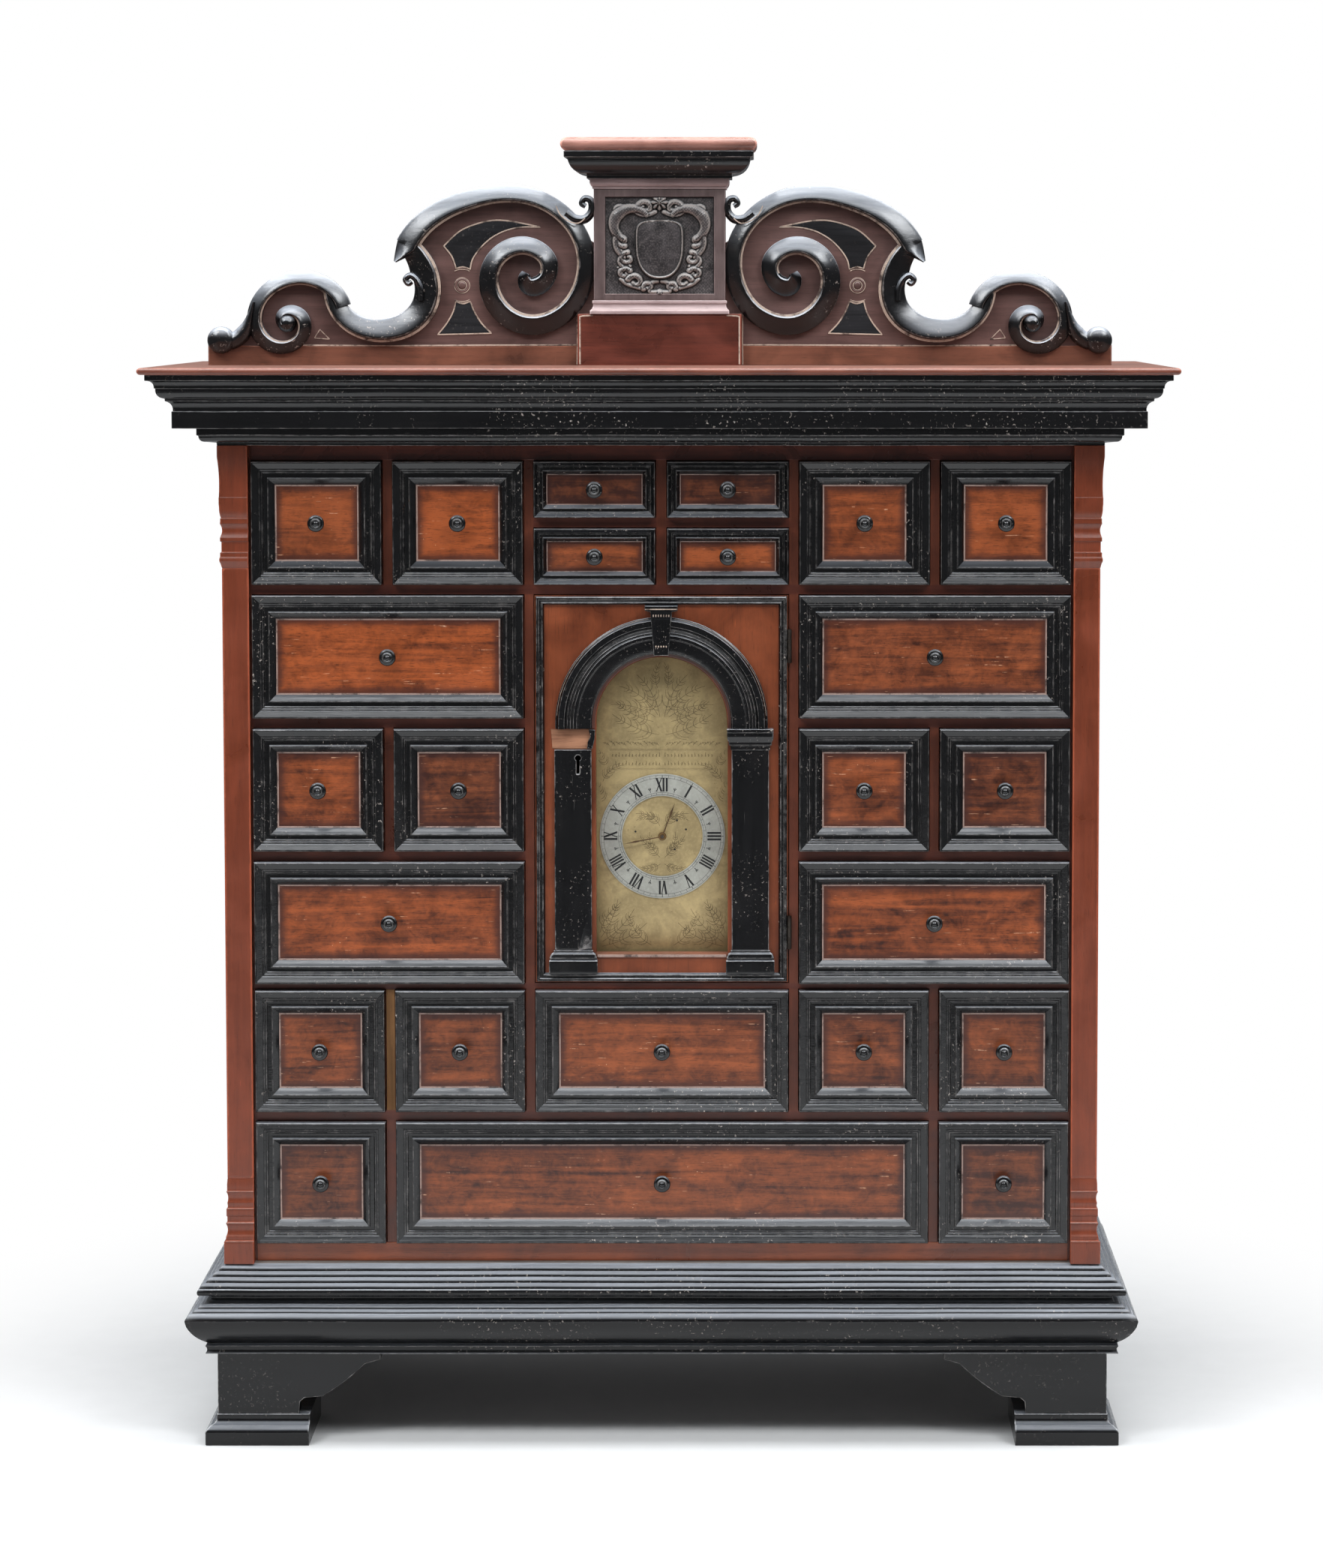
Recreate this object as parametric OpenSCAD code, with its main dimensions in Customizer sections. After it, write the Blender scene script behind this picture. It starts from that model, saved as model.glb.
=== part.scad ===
// Table cabinet for coins and medals: 24 drawers round an arched door, with a
// clock dial behind the arch, a cornice with scroll pediment, and bracket feet.
// X runs to the right, Y to the back and Z up. The origin is on the floor,
// in the middle of the cabinet's box.

/* [Case] */
// Width over the case sides
case_w = 774; // [720:1:860]
// Depth of the case boards, front edge to back
case_d = 289; // [270:1:330]
// Thickness of a case side
side_t = 25; // [20:1:30]
// Thickness of the case floor
floor_t = 17; // [12:1:24]
// Thickness of the case top board
top_t = 13.4; // [10:0.1:20]
// Thickness of the back boards
back_t = 10; // [6:1:14]
// Number of upright back boards
back_count = 4; // [2:1:6]
// Height between the case floor and the case top board
field_h = 698.6; // [660:0.1:780]
// Thickness of a shelf
shelf_t = 8.4; // [6:0.1:12]
// Thickness of the thin shelf under the door
door_shelf_t = 5; // [4:0.1:8]
// Thickness of an upright partition
partition_t = 8; // [6:1:12]
// Width of the centre bay
centre_w = 226; // [210:1:250]
// Thickness of the partition in the middle of the top row
mid_partition_t = 9; // [6:1:14]

/* [Drawers] */
// Gap between a drawer and its opening at each side
drawer_gap = 0.7; // [0.4:0.1:1.5]
// Gap between a drawer and the shelf it slides on
drawer_under_gap = 0.3; // [0.2:0.1:0.6]
// Gap over a drawer
drawer_over_gap = 0.9; // [0.5:0.1:2]
// Thickness of a drawer front
front_t = 12; // [9:1:16]
// Thickness of a drawer side and back
drawer_side_t = 6; // [4:0.5:9]
// Thickness of a drawer bottom
drawer_bottom_t = 5; // [3:0.5:8]
// Free depth left behind a closed drawer
drawer_back_room = 7; // [4:1:20]
// How much lower than its front a drawer's sides are
drawer_side_drop = 3; // [1:1:10]
// Width of the moulding round a drawer front
moulding_w = 22; // [16:1:26]
// Width of the moulding round a small centre drawer
small_moulding_w = 12; // [9:1:14]
// How far the moulding stands out from the drawer front
moulding_h = 8; // [6:0.5:10]
// Thickness of the veneered panel inside the moulding
panel_t = 1.5; // [1:0.5:3]
// Diameter of a knob
knob_d = 15; // [11:0.5:18]
// Length of a knob from the panel
knob_l = 14; // [10:1:18]

/* [Pilasters] */
// Width of a corner pilaster
pilaster_w = 23.5; // [20:0.5:24]
// Thickness of a corner pilaster in front of the case
pilaster_t = 8; // [6:1:12]
// How far capital and base blocks stand out from the shaft
block_out = 3; // [1:0.5:4]
// Height of the capital
capital_h = 108; // [95:1:120]
// Height of the base
pilaster_base_h = 76; // [70:1:90]

/* [Base] */
// Height of a foot pad
pad_h = 26; // [20:1:32]
// Length of a foot pad along the front
pad_l = 92; // [84:1:110]
// Height of a bracket foot above its pad
bracket_h = 57; // [50:1:70]
// Length of a bracket foot along the front
bracket_l = 145; // [130:1:170]
// Thickness of a bracket foot board
bracket_t = 18; // [14:1:22]
// How far a bracket foot stands out from the case
bracket_out = 9; // [6:1:11]
// How far a foot pad stands out from the case
pad_out = 19; // [16:1:22]
// Height of the torus moulding
torus_moulding_h = 45; // [42:1:50]
// Height of the reeded moulding
reeded_moulding_h = 32; // [28:1:40]
// How far the torus stands out from the case
torus_out = 34.5; // [31:0.5:40]
// How far the reeded moulding stands out from the case
reeded_out = 24.5; // [21:0.5:28]
// Thickness of the base frame boards
frame_t = 24; // [18:1:30]

/* [Cornice] */
// How far the cornice stands out from the case
cornice_out = 63; // [58:1:72]
// Height of the bed moulding
bed_h = 16; // [12:1:20]
// Height of the plain fascia
fascia_h = 15; // [12:1:20]
// Height of the crown moulding
crown_h = 32; // [28:1:40]
// Thickness of the cornice top board
cornice_board_t = 6; // [5:1:10]

/* [Pediment] */
// How far the pediment stands to the left of the middle
pediment_shift = 3; // [0:1:6]
// Length of the pediment
pediment_l = 814; // [780:1:840]
// Thickness of the pediment boards
pediment_t = 12; // [10:1:18]
// Height of the plain foot of the pediment boards
pediment_foot_h = 18; // [14:1:22]
// Distance from the pediment front to the case front plane
pediment_back = 85; // [70:1:100]
// How far the scrolls stand out from the pediment boards
scroll_t = 12; // [9:1:14]
// Width of the pedestal block
block_w = 147; // [140:1:160]
// Height of the pedestal block
block_h = 46; // [42:1:52]
// Depth of the pedestal block
block_d = 56; // [50:1:70]
// Width of the pedestal die
die_w = 118; // [110:1:124]
// Height of the pedestal die
die_h = 100; // [96:1:110]
// Depth of the pedestal die
die_d = 48; // [42:1:60]
// Height of the small mouldings under the die
die_foot_h = 12; // [8:1:16]
// Height of the collar over the die
collar_h = 9; // [6:1:12]
// How far the cap stands out from the die
cap_out = 28.5; // [24:0.5:34]
// Height of the cap's hollow moulding
cap_moulding_h = 24; // [20:1:30]
// Thickness of the cap board
cap_board_t = 12; // [9:1:16]

/* [Door] */
// Gap round the door
door_gap = 0.8; // [0.5:0.1:1.5]
// Thickness of the door boards
door_t = 14; // [12:1:18]
// Width of the moulding round the door
door_moulding_w = 7.5; // [6:0.5:10]
// How far the moulding round the door stands out
door_moulding_h = 4; // [3:0.5:6]
// Half width of the arched opening
arch_open_r = 58.5; // [54:0.5:60]
// Inner radius of the arch moulding
arch_in_r = 65; // [62:0.5:68]
// Outer radius of the arch moulding
arch_out_r = 94; // [90:0.5:98]
// How far the arch moulding stands out
arch_h = 7; // [5:0.5:9]
// Height of the opening's sill over the door's foot
sill_up = 25; // [22:1:32]
// Height of the springing over the sill
springing_up = 202; // [190:1:204]
// Width of a door column
column_w = 33; // [28:1:36]
// Thickness of a door column
column_t = 3; // [2:0.5:5]
// Height of a door column's capital
door_capital_h = 19; // [16:1:24]
// Height of a door column's base
door_base_h = 20; // [17:1:24]

/* [Clock] */
// Outer radius of the chapter ring
ring_out_r = 56; // [50:0.5:58]
// Inner radius of the chapter ring
ring_in_r = 36; // [33:0.5:40]
// Height of the dial centre over the opening's sill
dial_up = 103; // [96:1:110]
// Thickness of the dial plate
dial_t = 1.5; // [1:0.1:2.5]
// Thickness of the chapter ring
ring_t = 1; // [0.8:0.1:1.5]
// Distance between the door's back and the hands
hand_room = 1.5; // [1:0.1:3]
// Radius of the centre arbor
arbor_r = 1.5; // [1.2:0.1:2]
// Radial clearance of a turning fit
turn_gap = 0.06; // [0.03:0.01:0.1]
// Thickness of a clock wheel
wheel_t = 2; // [1.5:0.1:3]
// Pendulum length from the anchor to the bob
pendulum_l = 95; // [80:1:100]

/* [Hardware] */
// Radius of a hinge pin
hinge_pin_r = 0.9; // [0.7:0.1:1.1]
// Radius of a hinge knuckle
knuckle_r = 1.9; // [1.7:0.1:2.2]
// Length of a hinge
hinge_l = 30; // [24:1:40]
// Travel of the lock bolt
bolt_travel = 5; // [3.5:0.5:6]

/* [Hidden] */
// Gap left at a glued joint, so that each piece stays a piece of its own
joint = 0.05;
fine = 48;
eps = 0.01;

// Places on the case. The datum is the case's outer face and the pilaster's front.
half = case_w / 2;
back_y = 180;
front_y = back_y - case_d;
datum_y = front_y - pilaster_t;
base_z = pad_h + bracket_h;
reeded_z = base_z + torus_moulding_h;
case_z = reeded_z + reeded_moulding_h;
field_z = case_z + floor_t;
field_top = field_z + field_h;
case_top = field_top + top_t;
cornice_z = case_top + bed_h + fascia_h + crown_h;
pediment_z = cornice_z + cornice_board_t;
// Height that every upright cut goes through
tallest = 2 * pediment_z;
field_half = half - side_t;
inner_back_y = back_y - back_t;

// Bays and rows, by their openings
small_w = (2 * field_half - centre_w - 4 * partition_t) / 4;
row_h = (field_h - 4 * shelf_t - door_shelf_t) / 6;
wide_w = 2 * small_w + partition_t;
low_w = 2 * field_half - 2 * small_w - 2 * partition_t;
tiny_w = (centre_w - mid_partition_t) / 2;
tiny_h = (row_h - shelf_t) / 2;
x_far_left = -field_half;
x_left = x_far_left + small_w + partition_t;
x_mid = -centre_w / 2;
x_right = centre_w / 2 + partition_t;
x_far_right = x_right + small_w + partition_t;
x_tiny_right = mid_partition_t / 2;
function row_z(row) = field_z + (6 - row) * (row_h + shelf_t) - (row < 5 ? shelf_t - door_shelf_t : 0);

// Each drawer: name, left edge, low edge, width, height, moulding width
DRAWERS = [
    ["drawer_1_far_left", x_far_left, row_z(1), small_w, row_h, moulding_w],
    ["drawer_1_left", x_left, row_z(1), small_w, row_h, moulding_w],
    ["drawer_1_mid_upper_left", x_mid, row_z(1) + tiny_h + shelf_t, tiny_w, tiny_h, small_moulding_w],
    ["drawer_1_mid_upper_right", x_tiny_right, row_z(1) + tiny_h + shelf_t, tiny_w, tiny_h, small_moulding_w],
    ["drawer_1_mid_lower_left", x_mid, row_z(1), tiny_w, tiny_h, small_moulding_w],
    ["drawer_1_mid_lower_right", x_tiny_right, row_z(1), tiny_w, tiny_h, small_moulding_w],
    ["drawer_1_right", x_right, row_z(1), small_w, row_h, moulding_w],
    ["drawer_1_far_right", x_far_right, row_z(1), small_w, row_h, moulding_w],
    ["drawer_2_left", x_far_left, row_z(2), wide_w, row_h, moulding_w],
    ["drawer_2_right", x_right, row_z(2), wide_w, row_h, moulding_w],
    ["drawer_3_far_left", x_far_left, row_z(3), small_w, row_h, moulding_w],
    ["drawer_3_left", x_left, row_z(3), small_w, row_h, moulding_w],
    ["drawer_3_right", x_right, row_z(3), small_w, row_h, moulding_w],
    ["drawer_3_far_right", x_far_right, row_z(3), small_w, row_h, moulding_w],
    ["drawer_4_left", x_far_left, row_z(4), wide_w, row_h, moulding_w],
    ["drawer_4_right", x_right, row_z(4), wide_w, row_h, moulding_w],
    ["drawer_5_far_left", x_far_left, row_z(5), small_w, row_h, moulding_w],
    ["drawer_5_left", x_left, row_z(5), small_w, row_h, moulding_w],
    ["drawer_5_middle", x_mid, row_z(5), centre_w, row_h, moulding_w],
    ["drawer_5_right", x_right, row_z(5), small_w, row_h, moulding_w],
    ["drawer_5_far_right", x_far_right, row_z(5), small_w, row_h, moulding_w],
    ["drawer_6_left", x_far_left, row_z(6), small_w, row_h, moulding_w],
    ["drawer_6_middle", x_left, row_z(6), low_w, row_h, moulding_w],
    ["drawer_6_right", x_far_right, row_z(6), small_w, row_h, moulding_w]
];

// Door and clock places
door_half = centre_w / 2 - door_gap;
door_z = row_z(4) + door_gap;
door_top = row_z(2) + row_h - door_gap;
door_back_y = front_y + door_t;
sill_z = door_z + sill_up;
spring_z = sill_z + springing_up;
arch_z = spring_z + 5;
column_x = arch_in_r - 3;
dial_z = sill_z + dial_up;
hand_t = 0.8;
minute_hand_y = door_back_y + hand_room;
hour_hand_y = minute_hand_y + hand_t + 0.5;
ring_y = hour_hand_y + hand_t + 0.7;
dial_y = ring_y + ring_t;
dial_back_y = dial_y + dial_t;

// Clock movement: wheel modules, leaves and teeth
great_m = 1;
centre_m = 0.8;
third_m = 0.7;
motion_m = 0.8;
leaves = 8;
great_n = 64;
centre_n = 48;
third_n = 40;
escape_n = 30;
cannon_n = 12;
motion_n = 36;
motion_leaves = 9;
hour_n = 36;
motion_d = motion_m * (cannon_n + motion_n) / 2;
hour_m = 2 * motion_d / (motion_leaves + hour_n);
great_d = great_m * (great_n + leaves) / 2;
third_d = centre_m * (centre_n + leaves) / 2;
escape_d = third_m * (third_n + leaves) / 2;
great_a = -128;
third_a = 44;
escape_a = 118;
motion_a = -60;
great_p = [great_d * cos(great_a), great_d * sin(great_a)];
third_p = [third_d * cos(third_a), third_d * sin(third_a)];
escape_p = third_p + [escape_d * cos(escape_a), escape_d * sin(escape_a)];
motion_p = [motion_d * cos(motion_a), motion_d * sin(motion_a)];
anchor_up = 24;
anchor_p = escape_p + [0, anchor_up];
plate_t = 2.5;
plate_w = 112;
plate_drop = 74;
plate_rise = 74;
front_plate_y = dial_back_y + 14;
plates_apart = 50;
back_plate_y = front_plate_y + plate_t + plates_apart;
pillar_r = 4;
pillar_x = plate_w / 2 - 8;
pivot_r = 1;
seat_t = 12;
seat_z = dial_z - plate_drop - seat_t;

drawer_nodes = [for (d = DRAWERS) d[0]];

// A box between two corners
module span(a, b) { translate(a) cube(b - a); }

// Turns a drawing of (x, z) into a board from y to y + t
module upright(y, t) {
    translate([0, y + t, 0]) rotate([90, 0, 0]) linear_extrude(t) children();
}

// Points of a round bulge or hollow between two points of a profile.
// A positive bow stands out to the left of the way from p to q.
function bow(p, q, depth, n = 6) = [
    for (i = [1:n - 1])
        let (s = i / n, d = q - p, w = norm(d))
        p + d * s + [-d[1], d[0]] / w * depth * 4 * s * (1 - s)
];

// One strip of moulding along X. The profile's points are (out, height), out
// being the distance in front of the plane y. Both ends are cut at 45 degrees
// where they meet the returns at x = -reach and x = reach.
module front_strip(profile, reach, y, out) {
    intersection() {
        translate([-reach - out, y, 0]) rotate([90, 0, 90])
            linear_extrude(2 * (reach + out)) mirror([1, 0]) polygon(profile);
        translate([0, 0, -1]) linear_extrude(tallest) polygon([
            [-reach + joint, y], [reach - joint, y],
            [reach + out - joint, y - out], [-reach - out + joint, y - out]
        ]);
    }
}

// The two returns that go with a front strip, back to back_end
module side_strips(profile, reach, y, out, back_end) {
    for (s = [-1, 1]) scale_x(s) intersection() {
        translate([reach, back_end, 0]) rotate([90, 0, 0])
            linear_extrude(back_end - y + out) polygon(profile);
        translate([0, 0, -1]) linear_extrude(tallest) polygon([
            [reach, y + joint], [reach, back_end],
            [reach + out, back_end], [reach + out, y - out + joint]
        ]);
    }
}

module scale_x(s) {
    if (s < 0) mirror([1, 0, 0]) children();
    else children();
}

// A moulding that runs round the front and both sides of the case
module wrapped(profile, out) {
    front_strip(profile, half, datum_y, out);
    side_strips(profile, half, datum_y, out, back_y);
}

// Base

module foot_pads() {
    pad_profile = concat(
        [[0, 0], [pad_out, 0], [pad_out, 0.38 * pad_h]],
        bow([pad_out, 0.38 * pad_h], [pad_out - 3, 0.62 * pad_h], -1.2, 4),
        [[pad_out - 3, 0.62 * pad_h]],
        bow([pad_out - 4, 0.66 * pad_h], [bracket_out + 1, pad_h - 2], 2, 5),
        [[bracket_out + 1, pad_h - 2], [bracket_out + 1, pad_h], [0, pad_h]]
    );
    color("#26241f") for (s = [-1, 1]) scale_x(s) {
        pad_corner(pad_profile, datum_y, 1);
        pad_corner(pad_profile, back_y, -1);
    }
}

// One foot pad at a right hand corner: its moulded edge goes round the outer
// side and the face that looks to the front (turn 1) or to the back (turn -1).
module pad_corner(profile, y, turn) {
    inner_x = half + pad_out - pad_l;
    face = turn > 0 ? pad_out : 0;
    intersection() {
        translate([0, y + turn * (pad_l - pad_out), 0]) rotate([90, 0, 0])
            linear_extrude(3 * pad_l, center = true)
            polygon(concat([[inner_x, 0]], shifted(profile, half), [[inner_x, pad_h]]));
        if (turn > 0)
            translate([half, 0, 0]) rotate([90, 0, 90]) linear_extrude(3 * pad_l, center = true)
                mirror([1, 0]) polygon(concat(
                    [[-y - pad_l + pad_out, 0]], shifted(profile, -y), [[-y - pad_l + pad_out, pad_h]]
                ));
        else
            span([0, y - pad_l + pad_out, -1], [2 * half, y, pad_h + 1]);
    }
}

function shifted(profile, dx) = [for (p = profile) if (p[0] > 0) [p[0] + dx, p[1]]];

// The cut-out outline of a bracket foot, from its outer edge inwards
function bracket_outline(l, foot_l) = concat(
    [[0, 0], [foot_l - 6, 0], [foot_l - 5, 0.19 * bracket_h], [foot_l - 1, 0.25 * bracket_h]],
    [[foot_l + 15, 0.275 * bracket_h]],
    bow([foot_l + 15, 0.275 * bracket_h], [l - 14, 0.79 * bracket_h], -1.5, 6),
    [[l - 14, 0.79 * bracket_h], [l, 0.86 * bracket_h], [l, bracket_h], [0, bracket_h]]
);

module bracket_feet() {
    side_l = 118;
    foot_l = pad_l - pad_out + bracket_out - 4;
    ox = half + bracket_out;
    oy = datum_y - bracket_out;
    color("#26241f") for (s = [-1, 1]) scale_x(s) {
        // front board, mitred at the corner
        intersection() {
            upright(oy, bracket_t) translate([ox, pad_h]) mirror([1, 0])
                polygon(bracket_outline(bracket_l, foot_l));
            translate([0, 0, pad_h - 1]) linear_extrude(bracket_h + 2) polygon([
                [0, oy - 1], [ox + 1 - 2 * joint, oy - 1],
                [ox - bracket_t - 1 - 2 * joint, oy + bracket_t + 1], [0, oy + bracket_t + 1]
            ]);
        }
        // side board, mitred to the front one
        intersection() {
            translate([ox - bracket_t, oy, pad_h]) rotate([90, 0, 90]) linear_extrude(bracket_t)
                polygon(bracket_outline(side_l, foot_l));
            translate([0, 0, pad_h - 1]) linear_extrude(bracket_h + 2) polygon([
                [ox + 1, oy - 1 + 2 * joint], [ox + 1, oy + bracket_l],
                [ox - bracket_t - 1, oy + bracket_l], [ox - bracket_t - 1, oy + bracket_t + 1 + 2 * joint]
            ]);
        }
        // side and back boards of the rear foot, butted
        translate([ox - bracket_t, back_y, pad_h]) mirror([0, 1, 0]) rotate([90, 0, 90])
            linear_extrude(bracket_t) polygon(bracket_outline(side_l, foot_l));
        upright(back_y - bracket_t, bracket_t)
            translate([ox - bracket_t - joint, pad_h]) mirror([1, 0])
            polygon(bracket_outline(side_l, foot_l - bracket_t));
        // glue blocks in the corners
        for (y = [oy + bracket_t + joint, back_y - bracket_t - joint - 28])
            span([ox - bracket_t - joint - 28, y, pad_h], [ox - bracket_t - joint, y + 28, base_z]);
    }
}

module base_frame() {
    color("#6b4a2e") {
        span([-half, datum_y, base_z], [half, datum_y + frame_t, case_z]);
        span([-half, back_y - frame_t, base_z], [half, back_y, case_z]);
        for (s = [-1, 1]) scale_x(s)
            span([half - frame_t, datum_y + frame_t + joint, base_z],
                [half, back_y - frame_t - joint, case_z]);
    }
}

module base_mouldings() {
    t = torus_out;
    z = base_z;
    h = torus_moulding_h;
    torus_profile = concat(
        [[0, z], [t - 16, z]],
        bow([t - 16, z], [t - 16, z + 7], 1.6, 5),
        [[t - 16, z + 7], [t - 20, z + 8.5]],
        bow([t - 20, z + 8.5], [t, z + h - 13], -3, 6),
        bow([t, z + h - 13], [t - 5, z + h - 6], 1.5, 4),
        [[t - 5, z + h - 6], [t - 12, z + h - 6], [t - 12, z + h - 3], [t - 15, z + h - 3],
        [t - 15, z + h], [0, z + h]]
    );
    r = reeded_out;
    y = reeded_z + joint;
    g = reeded_moulding_h - joint;
    reeded_profile = concat(
        [[0, y], [r - 9, y], [r - 9, y + 8.5], [r, y + 8.5]],
        bow([r, y + 8.5], [r, y + 14], 1, 4),
        [[r, y + 14]],
        [for (i = [1:4], k = [0, 1])
            [r - i * r / 5 + k * 1.2 - 1.2, y + 14 + (i - 1 + k * 0.25) * (g - 15.5) / 4]],
        [[3, y + g - 1.5], [0, y + g]]
    );
    color("#2b2a28") {
        wrapped(torus_profile, t + 2);
        wrapped(reeded_profile, r + 2);
    }
}

// Case

module case_boards() {
    color("#7a4a2c") {
        for (s = [-1, 1]) scale_x(s) span([field_half, front_y, case_z], [half, back_y, case_top]);
        span([-field_half + joint, front_y, case_z], [field_half - joint, inner_back_y, field_z]);
        span([-field_half + joint, front_y, field_top], [field_half - joint, inner_back_y, case_top]);
    }
}

module shelf(x0, x1, z, t = shelf_t) { span([x0, front_y, z], [x1, inner_back_y, z + t]); }

module shelves() {
    bay = centre_w / 2 + partition_t;
    color("#6e3f27") {
        for (row = [1, 5]) shelf(-field_half, field_half, row_z(row) - shelf_t);
        shelf(-field_half, field_half, row_z(4) - door_shelf_t, door_shelf_t);
        for (row = [2, 3], s = [-1, 1]) scale_x(s) shelf(bay, field_half, row_z(row) - shelf_t);
        for (s = [-1, 1]) scale_x(s) shelf(x_tiny_right, centre_w / 2, row_z(1) + tiny_h);
        // seat board of the clock, housed between the tall partitions
        span([-centre_w / 2, front_plate_y - 3, seat_z],
            [centre_w / 2, back_plate_y + plate_t + 3, seat_z + seat_t]);
    }
}

module upright_board(x, t, z, h) { span([x, front_y, z], [x + t, inner_back_y, z + h]); }

module partitions() {
    strike_z = lock_z - lock_h / 2;
    color("#a06a3c") {
        for (row = [1, 5], s = [-1, 1]) scale_x(s) {
            upright_board(centre_w / 2, partition_t, row_z(row), row_h);
            upright_board(x_far_right - partition_t, partition_t, row_z(row), row_h);
        }
        for (row = [3, 6], s = [-1, 1]) scale_x(s)
            upright_board(x_far_right - partition_t, partition_t, row_z(row), row_h);
        upright_board(-mid_partition_t / 2, mid_partition_t, row_z(1), row_h);
        tall = 3 * row_h + 2 * shelf_t;
        // left of the door, with the mortise for the lock bolt
        difference() {
            upright_board(-centre_w / 2 - partition_t, partition_t, row_z(4), tall);
            span([-centre_w / 2 - bolt_travel - 1, bolt_y - 0.5, lock_z - bolt_h / 2 - 0.5],
                [-centre_w / 2 + 1, bolt_y + bolt_t + 0.5, lock_z + bolt_h / 2 + 0.5]);
        }
        // right of the door, with the recesses for the hinge leaves
        difference() {
            upright_board(centre_w / 2, partition_t, row_z(4), tall);
            for (z = hinge_zs)
                span([centre_w / 2 - 1, front_y - 1, z - hinge_l / 2],
                    [centre_w / 2 + leaf_t, front_y + leaf_w, z + hinge_l / 2]);
        }
    }
}

module back_boards() {
    w = 2 * field_half / back_count;
    color("#8a6a48") for (i = [0:back_count - 1])
        span([-field_half + i * w + 0.5, inner_back_y, case_z],
            [-field_half + (i + 1) * w - 0.5, back_y, case_top]);
}

// A piece of pilaster at the right front corner. Its profile's points are
// (out, height); it stands out the same at the front and at the side.
module corner_piece(profile, z0, z1) {
    x0 = half - pilaster_w;
    intersection() {
        translate([0, front_y, 0]) rotate([90, 0, 0]) linear_extrude(pilaster_t + 10)
            polygon(concat([[x0, z0]], shifted_all(profile, half), [[x0, z1]]));
        translate([x0 - 1, 0, 0]) rotate([90, 0, 90]) linear_extrude(pilaster_w + 20)
            mirror([1, 0])
            polygon(concat([[-front_y, z0]], shifted_all(profile, -datum_y), [[-front_y, z1]]));
    }
}

function shifted_all(profile, dx) = [for (p = profile) [p[0] + dx, p[1]]];

module pilasters() {
    b = block_out;
    z1 = case_top;
    c = z1 - capital_h;
    z0 = case_z;
    d = z0 + pilaster_base_h;
    capital_profile = concat(
        [[0, c], [1, c + 4]], bow([1, c + 4], [1.2, c + 10], 0.8, 4),
        [[1.2, c + 10], [1.2, c + 13.5], [0.2, c + 14], [0.2, c + 23], [1.2, c + 23.5], [1.2, c + 26.5]],
        bow([1.2, c + 27], [1.2, c + 39], -1.6, 6),
        [[1.2, c + 39], [1, c + 41], [1, c + 43.5], [0.4, c + 44]],
        bow([0.4, c + 44], [1.6, c + 56], 0.6, 4),
        [[2, c + 56.5], [2, c + 62], [b - 1.2, c + 62.5]],
        bow([b - 1.2, c + 62.5], [b, z1 - 10], -0.8, 6),
        [[b, z1 - 10], [b, z1]]
    );
    base_profile = concat(
        [[b, z0], [b, z0 + 20], [1.5, z0 + 20.5], [1.5, z0 + 24]],
        bow([1.5, z0 + 24], [1.5, z0 + 36], -1.4, 6),
        [[1.5, z0 + 36], [0.4, z0 + 37], [0.4, z0 + 42], [1, z0 + 42.5], [1, z0 + 49], [0, z0 + 49.5],
        [0, z0 + 52]],
        bow([1, z0 + 52.5], [1, z0 + 64.5], -1.4, 6),
        [[1, z0 + 64.5], [0.4, z0 + 65], [0.4, z0 + 71], [0, d]]
    );
    color("#5b3424") for (s = [-1, 1]) scale_x(s) {
        corner_piece(capital_profile, c, z1);
        span([half - pilaster_w, datum_y, d + joint], [half, front_y, c - joint]);
        corner_piece(base_profile, z0, d);
    }
}

// Cornice

module cornice_boards() {
    t = frame_t;
    z1 = cornice_z - joint;
    nose = cornice_board_t / 2;
    color("#7a3b24") {
        span([-half, datum_y, case_top], [half, datum_y + t, z1]);
        span([-half, back_y - t, case_top], [half, back_y, z1]);
        for (s = [-1, 1]) scale_x(s)
            span([half - t, datum_y + t + joint, case_top], [half, back_y - t - joint, z1]);
        // moulded top board, its front and side edges rounded
        intersection() {
            nosed_board(half + cornice_out, nose);
            translate([0, 0, cornice_z]) rotate([90, 0, 90])
                linear_extrude(2 * (half + cornice_out) + 2, center = true)
                nosed_edge(datum_y - cornice_out, back_y, nose);
        }
    }
}

// A board's cross-section with one rounded edge, at the low end of x
module nosed_edge(x0, x1, nose) {
    translate([x0 + nose, nose]) circle(r = nose, $fn = fine);
    translate([x0 + nose, 0]) square([x1 - x0 - nose, 2 * nose]);
}

module nosed_board(reach, nose) {
    translate([0, back_y + 1, cornice_z]) rotate([90, 0, 0]) linear_extrude(case_d + 100) {
        nosed_edge(-reach, 0, nose);
        mirror([1, 0]) nosed_edge(-reach, eps, nose);
    }
}

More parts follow.
